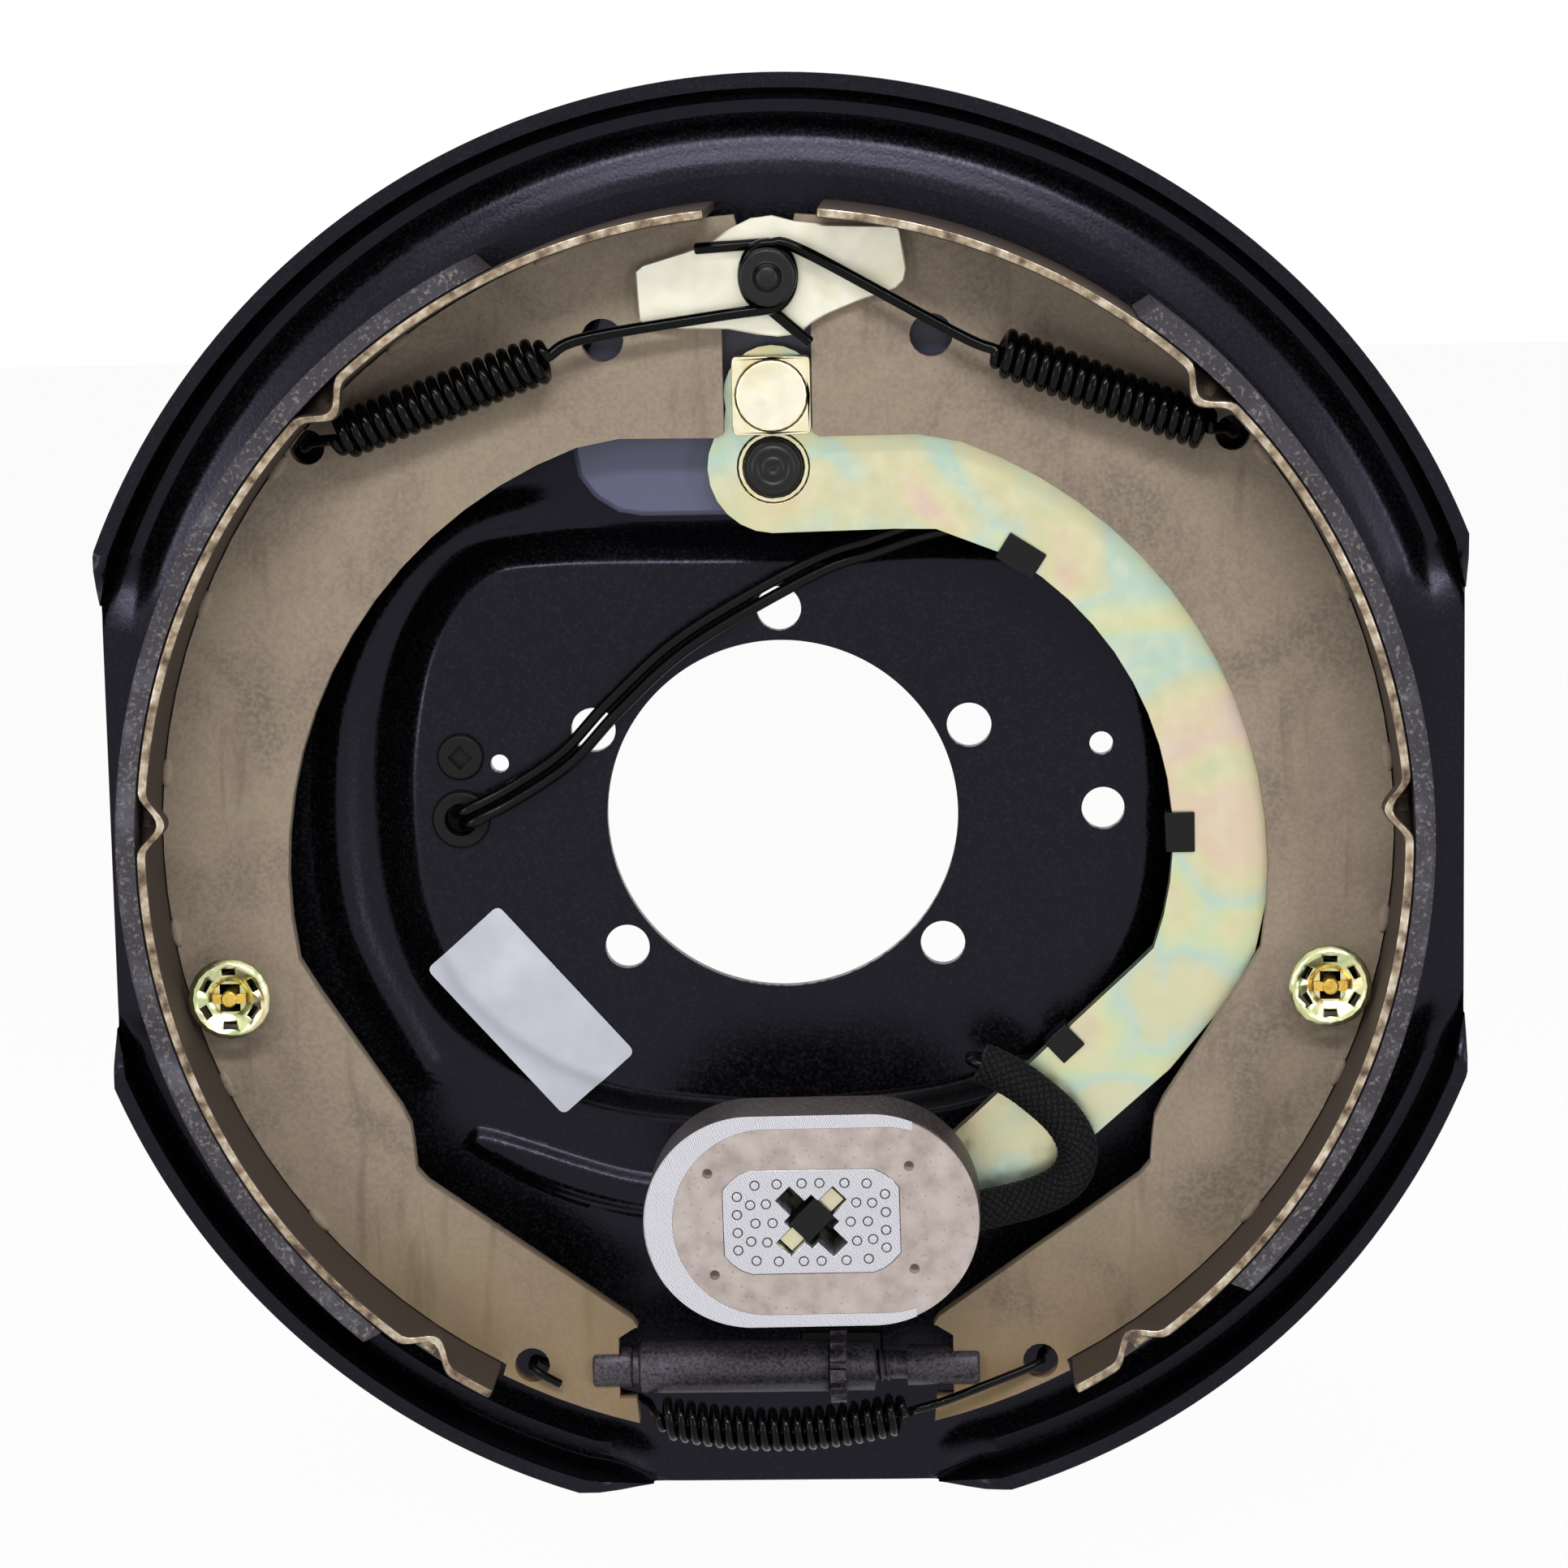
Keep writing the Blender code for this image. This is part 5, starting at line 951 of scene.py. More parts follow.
@dataclass(frozen=True)
class Studio:
    """Camera, lamps, floor and world.

    Attributes:
        position: The camera's place.
        turn: The camera's XYZ rotation, degrees.
        lens: Focal length on a 36 mm sensor, mm.
        floor: Height of the floor.
        unseen_light: The world's strength where it only lights the brake.
        floor_glow: How far the floor glows instead of taking light, where it is seen.
    """

    position: tuple[float, float, float] = (0.0430066, -1.1353006, 0.1861951)
    turn: tuple[float, float, float] = (81.018482, 1.086157, 1.980310)
    lens: float = 110.8326
    floor: float = -0.30
    unseen_light: float = 0.32
    floor_glow: float = 0.86

    def camera(self) -> None:
        """Place the camera as the photograph was taken."""
        data = bpy.data.cameras.new("camera")
        data.sensor_width = 36.0
        data.lens = self.lens
        made = bpy.data.objects.new("camera", data)
        made.location = self.position
        made.rotation_euler = [math.radians(a) for a in self.turn]
        bpy.context.scene.collection.objects.link(made)
        bpy.context.scene.camera = made

    def lamp(self, name: str, place: tuple[float, float, float], size: tuple[float, float],
             power: float) -> None:
        """Add a rectangular softbox, aimed at the brake's middle.

        Args:
            name: The lamp's name.
            place: Its place.
            size: Its width and height.
            power: Its power in watts.
        """
        data = bpy.data.lights.new(name, "AREA")
        data.shape = "RECTANGLE"
        data.size, data.size_y = size
        data.energy = power
        made = bpy.data.objects.new(name, data)
        made.location = place
        made.rotation_euler = (Vector((0.0, -0.02, 0.0)) - Vector(place)).to_track_quat("-Z", "Y").to_euler()
        bpy.context.scene.collection.objects.link(made)

    def seen(self, tree: bpy.types.NodeTree) -> bpy.types.NodeSocket:
        """1 for camera, glossy and transmission rays."""
        path = add_node(tree, "LightPath").outputs
        either = combined(tree, "MAXIMUM", path["Is Camera Ray"], path["Is Glossy Ray"])
        return combined(tree, "MAXIMUM", either, path["Is Transmission Ray"])

    def world(self) -> None:
        """A white world where it is seen, and a dimmer one that lights the brake evenly."""
        made = bpy.data.worlds.new("studio")
        made.use_nodes = True
        tree = made.node_tree
        shown = tree.nodes["Background"]
        shown.inputs["Color"].default_value = (1.0, 1.0, 1.0, 1.0)
        strength = add_node(tree, "MapRange", inputs={"Value": self.seen(tree), "To Min": self.unseen_light,
                                                      "To Max": 1.0}).outputs["Result"]
        tree.links.new(strength, shown.inputs["Strength"])
        bpy.context.scene.world = made

    def ground(self) -> None:
        """A pale floor that keeps the brake's shadow and is near white where it is seen."""
        corners = [(x, y, self.floor) for x, y in ((-6, -6), (6, -6), (6, 6), (-6, 6))]
        mesh = mesh_from("floor", np.array(corners, float), np.array([[0, 1, 2, 3]]))
        made = bpy.data.objects.new("floor", mesh)
        bpy.context.scene.collection.objects.link(made)
        material = bpy.data.materials.new("floor_paper")
        material.use_nodes = True
        tree = material.node_tree
        paper = tree.nodes["Principled BSDF"]
        paper.inputs["Base Color"].default_value = hex_colour("#F4F4F2")
        paper.inputs["Roughness"].default_value = 0.9
        paper.inputs["Specular IOR Level"].default_value = 0.0
        bright = add_node(tree, "Emission", inputs={"Color": (1.0, 1.0, 1.0, 1.0), "Strength": 1.07})
        share = combined(tree, "MULTIPLY", self.seen(tree), self.floor_glow)
        both = add_node(tree, "MixShader", inputs={0: share, 1: paper.outputs[0], 2: bright.outputs[0]})
        tree.links.new(both.outputs[0], tree.nodes["Material Output"].inputs["Surface"])
        mesh.materials.append(material)

    def build(self) -> None:
        """Set up the whole studio."""
        self.camera()
        self.lamp("top_box", (0.0, -1.35, 1.15), (1.3, 0.20), 17.0)
        self.lamp("left_box", (-1.30, -1.25, 0.20), (0.20, 0.7), 5.0)
        self.lamp("right_box", (1.30, -1.25, 0.20), (0.20, 0.7), 5.0)
        self.world()
        self.ground()
        bpy.context.scene.view_settings.view_transform = "Standard"
        log.info("studio ready")


# Backing plate


@dataclass(frozen=True)
class BackingPlate:
    """The pressed plate with its raised mounting face, rim and holes, and what is fixed to it."""

    radius: float = 0.1746
    side_flat: float = 0.1622
    bottom_flat: float = 0.1665
    trim: float = 0.0009
    lip: float = 0.0096
    channel: float = 0.0052
    centre_hole: float = 0.0417
    bolt_circle: float = 0.0492
    bolt_hole: float = 0.0053
    bolt_spacing: float = 65.0
    face_top: float = 0.0605
    face_side: float = 0.0875
    face_bottom: float = 0.0702
    grommet_hole: tuple[float, float, float] = (-0.0766, -0.0002, 0.0054)
    plug_hole: tuple[float, float, float] = (-0.0764, 0.0148, 0.0040)
    label_middle: tuple[float, float] = (-0.0613, -0.0470)
    label_half: tuple[float, float] = (0.0241, 0.0118)
    label_corner: float = 0.0016
    label_foil: float = 0.00028
    label_sag: float = 0.0016
    pad_height: float = 0.0021
    bead_height: float = 0.0021
    bead_half_width: float = 0.0070
    bead_route: tuple[tuple[float, float], ...] = (
        (-0.0846, -0.0685), (-0.0926, -0.0532), (-0.1002, -0.0384), (-0.1052, -0.0236), (-0.1070, -0.0017),
        (-0.1055, 0.0202), (-0.1010, 0.0358), (-0.0948, 0.0480), (-0.0850, 0.0600), (-0.0696, 0.0700),
        (-0.0463, 0.0735))
    slot_middle: tuple[float, float] = (0.0116, -0.1335)
    slot_size: tuple[float, float] = (0.020, 0.009)

    def face_edge(self, turn: Array) -> Array:
        """Distance from the centre to the raised face's edge, in each direction.

        The face's outline is a Catmull-Rom curve through a few points of a rounded shape, flat on top; the
        distance is read from it by angle.
        """
        shape = np.array([(0.0, 1.0), (0.60, 1.0), (0.80, 0.94), (0.925, 0.70), (0.985, 0.36), (1.0, 0.0),
                          (0.97, -0.32), (0.87, -0.60), (0.68, -0.81), (0.43, -0.94), (0.0, -1.0)])
        scaled = np.stack([self.face_side * shape[:, 0],
                           np.where(shape[:, 1] > 0, self.face_top, self.face_bottom) * shape[:, 1]], -1)
        outline = through(scaled, 400)
        angle = np.arctan2(outline[:, 1], outline[:, 0])
        x, z = np.abs(np.cos(turn)), np.sin(turn)
        return np.interp(np.arctan2(z, x), angle[::-1], np.hypot(outline[:, 0], outline[:, 1])[::-1])

    def slope_width(self, turn: Array) -> Array:
        """Width of the slope from the raised face down to the floor, in each direction."""
        return 0.0104 + 0.0020 * smoothstep(0.2, 0.9, -np.cos(turn))

    def slope(self, turn: Array, away: Array) -> Array:
        """Depth of the front surface at a distance outside the raised face: an S from face to floor."""
        share = (away + 0.0012) / self.slope_width(turn)
        return FACE_FRONT + (FLOOR_FRONT - FACE_FRONT) * smoothstep(0.0, 1.0, share)

    def pad(self, x: Array, z: Array) -> Array:
        """Height of the crescent pad pressed up from the floor below the label.

        The pad lies between two curves, read by x; its height is a smooth step of the distance inside them.
        """
        top = through([(-0.0790, -0.0815), (-0.0765, -0.0777), (-0.0735, -0.0772), (-0.0637, -0.0802),
                       (-0.0516, -0.0843), (-0.0403, -0.0877), (-0.0250, -0.0905), (-0.0120, -0.0935)], 120)
        bottom = through([(-0.0790, -0.0815), (-0.0760, -0.0842), (-0.0719, -0.0865), (-0.0639, -0.0910),
                          (-0.0563, -0.0943), (-0.0474, -0.0972), (-0.0360, -0.0996), (-0.0230, -0.1005),
                          (-0.0120, -0.0985)], 120)
        above = np.interp(x, top[:, 0], top[:, 1], -0.2, -0.2)
        below = np.interp(x, bottom[:, 0], bottom[:, 1], 0.2, 0.2)
        return self.pad_height * smoothstep(-0.0006, 0.0034, np.minimum(above - z, z - below))

    def bead(self, x: Array, z: Array) -> Array:
        """Height of the stiffening bead that runs round the left of the raised face.

        A raised cosine of the distance to the bead's ridge line, fading out towards both ends.
        """
        ridge = through(self.bead_route, 220)
        height = np.zeros_like(x)
        near = (x < -0.030) & (z > -0.090)
        spots = np.stack([x[near], z[near]], -1)
        gaps = np.linalg.norm(spots[:, None, :] - ridge[None], axis=2)
        nearest = gaps.argmin(1)
        share = nearest / (len(ridge) - 1)
        fade = smoothstep(0.0, 0.05, share) * (1 - smoothstep(0.90, 1.0, share))
        off = np.minimum(gaps.min(1) / self.bead_half_width, 1.0)
        height[near] = self.bead_height * fade * 0.5 * (1 + np.cos(math.pi * off))
        return height

    def flat_reach(self, turn: Array) -> Array:
        """Distance from the centre to the nearest straight side, in each direction."""
        x, z = np.cos(turn), np.sin(turn)
        side = (self.side_flat + self.trim) / np.maximum(np.abs(x), 1e-6)
        bottom = np.where(z < -1e-3, (self.bottom_flat + self.trim) / np.maximum(-z, 1e-3), 9.0)
        return np.minimum(side, bottom)

    def turns(self) -> Array:
        """Directions of the polar grid: 1.5 degrees apart, and 0.25 where the pad is."""
        wide = np.radians(np.arange(251.0, 555.0, 1.5))
        fine = np.radians(np.arange(195.0, 251.0, 0.25))
        return np.concatenate([fine, wide])

    def sheet_surface(self) -> Array:
        """The pressed sheet as a polar grid: its front surface outwards, then its rear surface back inwards.

        Each direction's profile is: the flat face, the slope, the floor, and the rim's channel and lip. The
        last two fade out towards the straight sides, where the sheet runs flat to its edge. The rear lies one
        sheet's thickness behind it, square to the profile.
        """
        turn = self.turns()[:, None]
        edge = self.face_edge(turn)
        face = self.centre_hole + (edge - 0.0014 - self.centre_hole) * np.linspace(0.0, 1.0, 4)[None, :]
        away = -0.0012 + self.slope_width(turn) * np.linspace(0.04, 1.0, 14)[None, :]
        reach = self.flat_reach(turn)
        inner = self.radius - SHEET
        formed = smoothstep(inner * 0.990, inner * 1.020, reach)
        reach = reach - SHEET * formed * reach / self.side_flat
        out = np.minimum(inner, reach) * formed + np.minimum(reach, self.radius) * (1 - formed)
        lip_line = through([(-0.0200, 0.0), (-0.0184, 0.03), (-0.0164, 0.13), (-0.0140, 0.27),
                            (-0.0116, 0.41), (-0.0094, 0.64), (-0.0072, 0.91), (-0.0050, 1.0),
                            (-0.0030, 0.98), (-0.0014, 0.80)], 22)
        channel_radius = out + lip_line[None, :, 0]
        channel_depth = FLOOR_FRONT + self.channel * lip_line[None, :, 1] * formed
        wall = np.linspace(0.15, 1.0, 7)[None, :]
        lip_front = FLOOR_FRONT - self.lip
        start = FLOOR_FRONT + self.channel * 0.80 * formed
        wall_radius = out + lip_line[-1, 0] * (1 - smoothstep(0.0, 0.35, wall))
        wall_depth = start + (FLOOR_FRONT + (lip_front - FLOOR_FRONT) * formed - start) * wall
        floor_start = edge + away[:, -1:]
        floor_end = channel_radius[:, :1]
        floor = floor_start + (floor_end - floor_start) * np.linspace(0.01, 0.99, 84)[None, :]
        radius = np.hstack([face, edge + away, floor, channel_radius, wall_radius])
        flat, level = np.full_like(face, FACE_FRONT), np.full_like(floor, FLOOR_FRONT)
        depth = np.hstack([flat, self.slope(turn, away), level, channel_depth, wall_depth])
        across, along = np.gradient(depth, axis=1), np.gradient(radius, axis=1)
        size = np.hypot(across, along)
        along = np.where(size > 1e-7, along, 1.0)
        size = np.where(size > 1e-7, size, 1.0)
        rear_radius, rear_depth = radius - SHEET * across / size, depth + SHEET * along / size
        rear_radius[:, 0] = radius[:, 0]
        every = np.r_[0:radius.shape[1]:2, radius.shape[1] - 1]
        front = self.raised(radius, depth, turn)
        rear = self.raised(rear_radius[:, every], rear_depth[:, every], turn)
        return np.concatenate([front, rear[:, ::-1]], 1)

    def raised(self, radius: Array, depth: Array, turn: Array) -> Array:
        """Points of a polar surface, with the pad and the bead pressed forward in it."""
        x, z = radius * np.cos(turn), radius * np.sin(turn)
        return np.stack([x, depth - np.maximum(self.pad(x, z), self.bead(x, z)), z], -1)

    def holes(self) -> Array:
        """Centre and radius of each round hole."""
        turns = np.radians(90 + self.bolt_spacing * (np.arange(5) - 2))
        bolts = np.stack([self.bolt_circle * np.cos(turns), self.bolt_circle * np.sin(turns),
                          np.full(5, self.bolt_hole)], -1)
        pins = [(*HoldDown(side).place(), 0.0028) for side in Side]
        others = [self.grommet_hole, self.plug_hole, (-0.0671, 0.0130, 0.0022), (0.0761, 0.0004, 0.0051),
                  (0.0758, 0.0160, 0.0028), (0.0, ANCHOR_Z, 0.0065), (0.0, PIVOT_Z, 0.0055), *pins]
        return np.vstack([bolts, np.array(others)])

    def cutters(self) -> Object:
        """Every hole's drill and the adjusting slot as one cutter, clear of each other."""
        holes = self.holes()
        drills = turned_at(holes[:, :2], holes[:, 2:] * np.array([0.0, 1.0, 1.0, 0.0]),
                           np.array([-0.03, -0.03, 0.04, 0.04]), np.radians(3.7) + full_turn(40))
        cutter = grid_piece("plate_cutter", drills, BLACK_PAINT, close_columns=True)
        work = bmesh.new()
        work.from_mesh(cutter.data)
        slot = (self.slot_size[0], 0.06, self.slot_size[1])
        boxes = [(slot, (self.slot_middle[0], 0.0, self.slot_middle[1])),
                 ((0.1, 0.06, 0.3), (self.side_flat + 0.05, 0.0, 0.0)),
                 ((0.1, 0.06, 0.3), (-self.side_flat - 0.05, 0.0, 0.0)),
                 ((0.2, 0.06, 0.1), (0.0, 0.0, -self.bottom_flat - 0.05))]
        for size, place in boxes:
            work.from_mesh(box_mesh(size, Matrix.Translation(place)))
        work.to_mesh(cutter.data)
        work.free()
        return cutter

    def plate(self) -> Object:
        """The pressed plate, drilled and trimmed."""
        piece = grid_piece("backing_plate_pressed", self.sheet_surface(), BLACK_PAINT, close_rows=True,
                           close_columns=True)
        cut(piece, self.cutters())
        bevel_edges(piece, 0.00035, 2, 50.0)
        settle(piece)
        shade(piece.data, 40.0)
        return attach(piece, "backing", "black_paint", "backing_plate")

    def label(self) -> Object:
        """The bare foil label, stuck over the raised face's lower left edge.

        A grid whose points lie on the face and, past its edge, bridge the slope: the foil falls by the sag
        times one less the exponential of the slope's own fall over the sag.
        """
        cosine, sine = math.cos(math.radians(LABEL_TILT)), math.sin(math.radians(LABEL_TILT))
        half, corner = self.label_half, self.label_corner
        sides = (half[0] * np.linspace(-1.0, 1.0, 60)[:, None], half[1] * np.linspace(-1.0, 1.0, 30)[None, :])
        past = [np.maximum(np.abs(side) - reach + corner, 0) for side, reach in zip(sides, half)]
        over = np.hypot(*past)
        shrink = np.where(over > corner, corner / np.maximum(over, 1e-9), 1.0)
        a, b = (np.sign(side) * (np.minimum(np.abs(side), reach - corner) + far * shrink)
                for side, reach, far in zip(sides, half, past))
        x = self.label_middle[0] + a * cosine - b * sine
        z = self.label_middle[1] + a * sine + b * cosine
        turn = np.arctan2(z, x)
        fall = self.slope(turn, np.hypot(x, z) - self.face_edge(turn)) - FACE_FRONT
        depth = FACE_FRONT - GAP - 0.0003 + self.label_sag * (1 - np.exp(-fall / self.label_sag))
        piece = grid_piece("label_foil", np.stack([x, depth, z], -1), LABEL_FOIL)
        if piece.data.polygons[0].normal.y > 0:
            piece.data.flip_normals()
        wall = piece.modifiers.new("foil", "SOLIDIFY")
        wall.thickness = self.label_foil
        wall.offset = -1.0
        settle(piece)
        shade(piece.data, 45.0)
        return attach(piece, "backing", "label", "label")

    def plug(self, name: str, hole: tuple[float, float, float], bore: float, node: str) -> Object:
        """A rubber plug or grommet, grooved to grip the sheet, turned about its own axis.

        Args:
            name: The piece's name.
            hole: The hole's X, Z and radius.
            bore: Radius of the grommet's bore, or 0 for a plug with a square recess.
            node: The CAD node that it replaces.

        Returns:
            The piece.
        """
        x, z, radius = hole
        lip, waist, front = radius + 0.0016, radius - GAP, FACE_FRONT - GAP
        profile = [(bore, front - 0.0014), (lip - 0.0006, front - 0.0014), (lip, front - 0.0007),
                   (lip, front), (waist, front), (waist, GAP), (lip, GAP), (lip, 0.0012),
                   (lip - 0.0007, 0.0021), (bore, 0.0021)]
        if bore:
            profile = [(0.0, 0.0002), (bore, 0.0002), *profile, (bore, 0.0012), (0.0, 0.0012)]
        piece = turned_piece(name, profile, 0.0003, (x, z), RUBBER)
        if not bore:
            turn = Matrix.Rotation(math.radians(45), 4, "Y")
            recess = box_mesh((0.0042, 0.0034, 0.0042), Matrix.Translation((x, front - 0.0016, z)) @ turn)
            cut(piece, add_piece("plug_recess", recess, RUBBER))
        return attach(piece, "backing", "rubber", node)

    def build(self, frame: dict) -> None:
        """Build the plate and everything fixed to it."""
        self.plate()
        self.label()
        self.plug("wire_grommet_rubber", self.grommet_hole, 0.0038, "wire_grommet")
        self.plug("hole_plug_rubber", self.plug_hole, 0.0, "hole_plug")
        dressed(frame, "adjuster_slot_plug", RUBBER, "rubber", 0.0005, sharp=30.0)
        # The bracket's blue-grey finish is a painted highlight on black enamel.
        dressed(frame, "anchor_bracket", BRACKET_SHEEN_PAINT, "black_paint", 0.0007, 3)


# Anchor


@dataclass(frozen=True)
class Anchor:
    """The riveted anchor post with its guide plate, and the lever's pivot post."""

    radius: float = 0.008
    neck: float = 0.004
    flange: float = 0.0067
    shank: float = 0.0062
    pivot_radius: float = 0.00685
    pivot_shank: float = 0.0052

    def post(self) -> Object:
        """The anchor: a shoulder under the guide plate, a neck for the springs and a domed, flanged end."""
        end = GUIDE_FRONT - 0.0068
        rear = FLOOR_REAR + GAP
        profile = [(0.0, end - 0.0034), (0.0010, end - 0.0033), (0.0022, end - 0.0031),
                   (0.0032, end - 0.0021), (0.0034, end - 0.0017), (self.flange - 0.0006, end - 0.0017),
                   (self.flange, end - 0.0011), (self.flange, end), (self.neck, end),
                   (self.neck, GUIDE_REAR + GAP),
                   (self.radius, GUIDE_REAR + GAP), (self.radius, FLOOR_FRONT - GAP),
                   (self.shank, FLOOR_FRONT - GAP), (self.shank, rear), (0.0088, rear),
                   (0.0088, rear + 0.0016), (0.0070, rear + 0.0030), (0.0, rear + 0.0034)]
        piece = turned_piece("anchor_post_forging", profile, 0.0004, (0.0, ANCHOR_Z), POST_BLACK)
        return attach(piece, "backing", "phosphate", "anchor_post")

    def pivot(self) -> Object:
        """The lever's pivot: a plain post with a rough, riveted end."""
        front, rear = LEVER_FRONT - 0.0022, FLOOR_REAR + GAP
        reaches = np.linspace(0.0, self.pivot_radius - 0.0009, 10)
        face = [(r, front + 0.0002 * math.sin(r * 2600)) for r in reaches]
        profile = face + [(self.pivot_radius, front + 0.0008), (self.pivot_radius, FLOOR_FRONT - GAP),
                          (self.pivot_shank, FLOOR_FRONT - GAP), (self.pivot_shank, rear), (0.0074, rear),
                          (0.0074, rear + 0.0014), (0.0060, rear + 0.0024), (0.0, rear + 0.0028)]
        piece = turned_piece("pivot_post_forging", profile, 0.0003, (0.0, PIVOT_Z), POST_BLACK)
        return attach(piece, "backing", "phosphate", "pivot_post")

    def build(self, frame: dict) -> None:
        """Build the posts and the guide plate."""
        self.post()
        self.pivot()
        dressed(frame, "guide_plate", PALE_ZINC, "pale_zinc", 0.0005, 3)


# Lever


@dataclass(frozen=True)
class Lever:
    """The actuating arm with its block, bush, clips and the magnet's tab."""

    stud_zone: float = 0.0084

    def build(self, frame: dict) -> None:
        """Dress the arm and its small pieces."""
        arm = dressed(frame, "lever_arm", YELLOW_ZINC, "yellow_zinc", 0.0005, 3)
        repaint(arm, STUD_ZINC, lambda _, middles: (
            (np.hypot(middles[:, 0], middles[:, 2] - BLOCK_Z) < self.stud_zone)
            & (middles[:, 1] < LEVER_FRONT - GAP)))
        dressed(frame, "lever_bush", BLOCK_ZINC, "yellow_zinc", 0.0003)
        dressed(frame, "lever_block", BLOCK_ZINC, "pale_zinc", 0.0004, 3)
        dressed(frame, "magnet_tab", YELLOW_ZINC, "yellow_zinc", 0.0004)
        for name in ("upper", "middle", "lower"):
            dressed(frame, f"{name}_wire_clip", CLIP_BLACK, "spring_steel", 0.0003)


# Springs


@dataclass(frozen=True)
class ReturnSpring:
    """A shoe's return spring: a hook in the web, a close coil, an arm, and a loop round the anchor."""

    side: Side
    outer: tuple[float, float]
    inner: tuple[float, float]
    route_in: tuple[tuple[float, float], ...]
    hook_turns: tuple[float, float]
    wire: float = 0.0027
    coil_radius: float = 0.0045
    turns: int = 18
    loop_half: tuple[float, float] = (0.00565, 0.0074)

    def path(self) -> Array:
        """The wire's centreline from the web's hook to the anchor's tail."""
        coil_y = WEB_FRONT - GAP - self.coil_radius - self.wire / 2 - 0.0006
        coil = helix((self.outer[0], coil_y, self.outer[1]), (self.inner[0], coil_y, self.inner[1]),
                     self.coil_radius, self.turns)
        x, z = on_side(SPRING_HOLE, self.side)
        s, behind = self.side.value, WEB_REAR + self.wire / 2 + 0.0005
        hook = through([(x - s * 0.0040, behind, z + 0.0032), (x - s * 0.0008, behind - 0.0002, z + 0.0008),
                        (x, WEB_MIDDLE, z), (x, WEB_FRONT - 0.0022, z),
                        (x - s * 0.0022, coil_y + 0.0012, z + 0.0016), tuple(coil[0])], 40)[:-1]
        loop_rear = GUIDE_FRONT - self.wire / 2 - GAP - 0.0001
        loop_front = loop_rear - self.wire - GAP
        t = np.linspace(0.0, 1.0, 33)
        angle = np.radians(self.hook_turns[0] + (self.hook_turns[1] - self.hook_turns[0]) * t)
        rise = smoothstep(0.0, 1.0, t)
        loop = np.stack([self.loop_half[0] * np.cos(angle), loop_front + (loop_rear - loop_front) * rise,
                         ANCHOR_Z + self.loop_half[1] * np.sin(angle)], -1)
        lead = [(a, loop_front + 0.0004, b) for a, b in self.route_in[:-1]]
        arm = through([tuple(coil[-1]), *lead, tuple(loop[0])], 60)[1:-1]
        tail = np.array([[self.route_in[-1][0], loop_rear, self.route_in[-1][1]]])
        steps = np.linspace(0.0, 1.0, 8)[1:, None]
        return np.vstack([hook, coil, arm, loop, loop[-1] + (tail - loop[-1]) * steps])

    def build(self) -> None:
        """Build the spring, in place of its CAD node."""
        name = f"{self.side.word}_return_spring"
        piece = tube_piece(f"{name}_wire", self.path(), self.wire / 2, SPRING_BLACK)
        near = (self.inner[0], -0.03, self.inner[1])
        far = (self.outer[0], -0.03, self.outer[1])
        cross_blend(piece, ("backing", f"{self.side.word}_shoe"), near, far, "spring_steel", name)


# Hold-downs


@dataclass(frozen=True)
class HoldDown:
    """A nail through the web, its spring and the slotted cup that locks on the nail's flat end."""

    side: Side
    angle: float = -15.8
    reach: float = 0.1336
    coil_radius: float = 0.0062
    wire: float = 0.0012

    def place(self) -> tuple[float, float]:
        """The nail's place in the XZ plane."""
        turn = math.radians(self.angle)
        x, z = on_side((self.reach * math.cos(turn), self.reach * math.sin(turn)), self.side)
        return float(x), float(z)

    def build(self, frame: dict) -> None:
        """Dress the cup and the nail, and wind the spring."""
        word = self.side.word
        x, z = self.place()
        dressed(frame, f"{word}_hold_down_cup", CUP_ZINC, "yellow_zinc", 0.00025, sharp=30.0)
        dressed(frame, f"{word}_hold_down_pin", PIN_ZINC, "yellow_zinc", 0.0002)
        start, end = WEB_FRONT - 0.0009, WEB_FRONT - 0.0046
        path = coil_along_y((x, z), (self.coil_radius, self.coil_radius), (start, end), 2, 97)
        piece = tube_piece(f"{word}_hold_down_spring_wire", path, self.wire / 2, SPRING_BLACK)
        cross_blend(piece, ("backing", f"{word}_cup"), (x, start, z), (x, end, z), "spring_steel",
                    f"{word}_hold_down_spring")


# Shoes


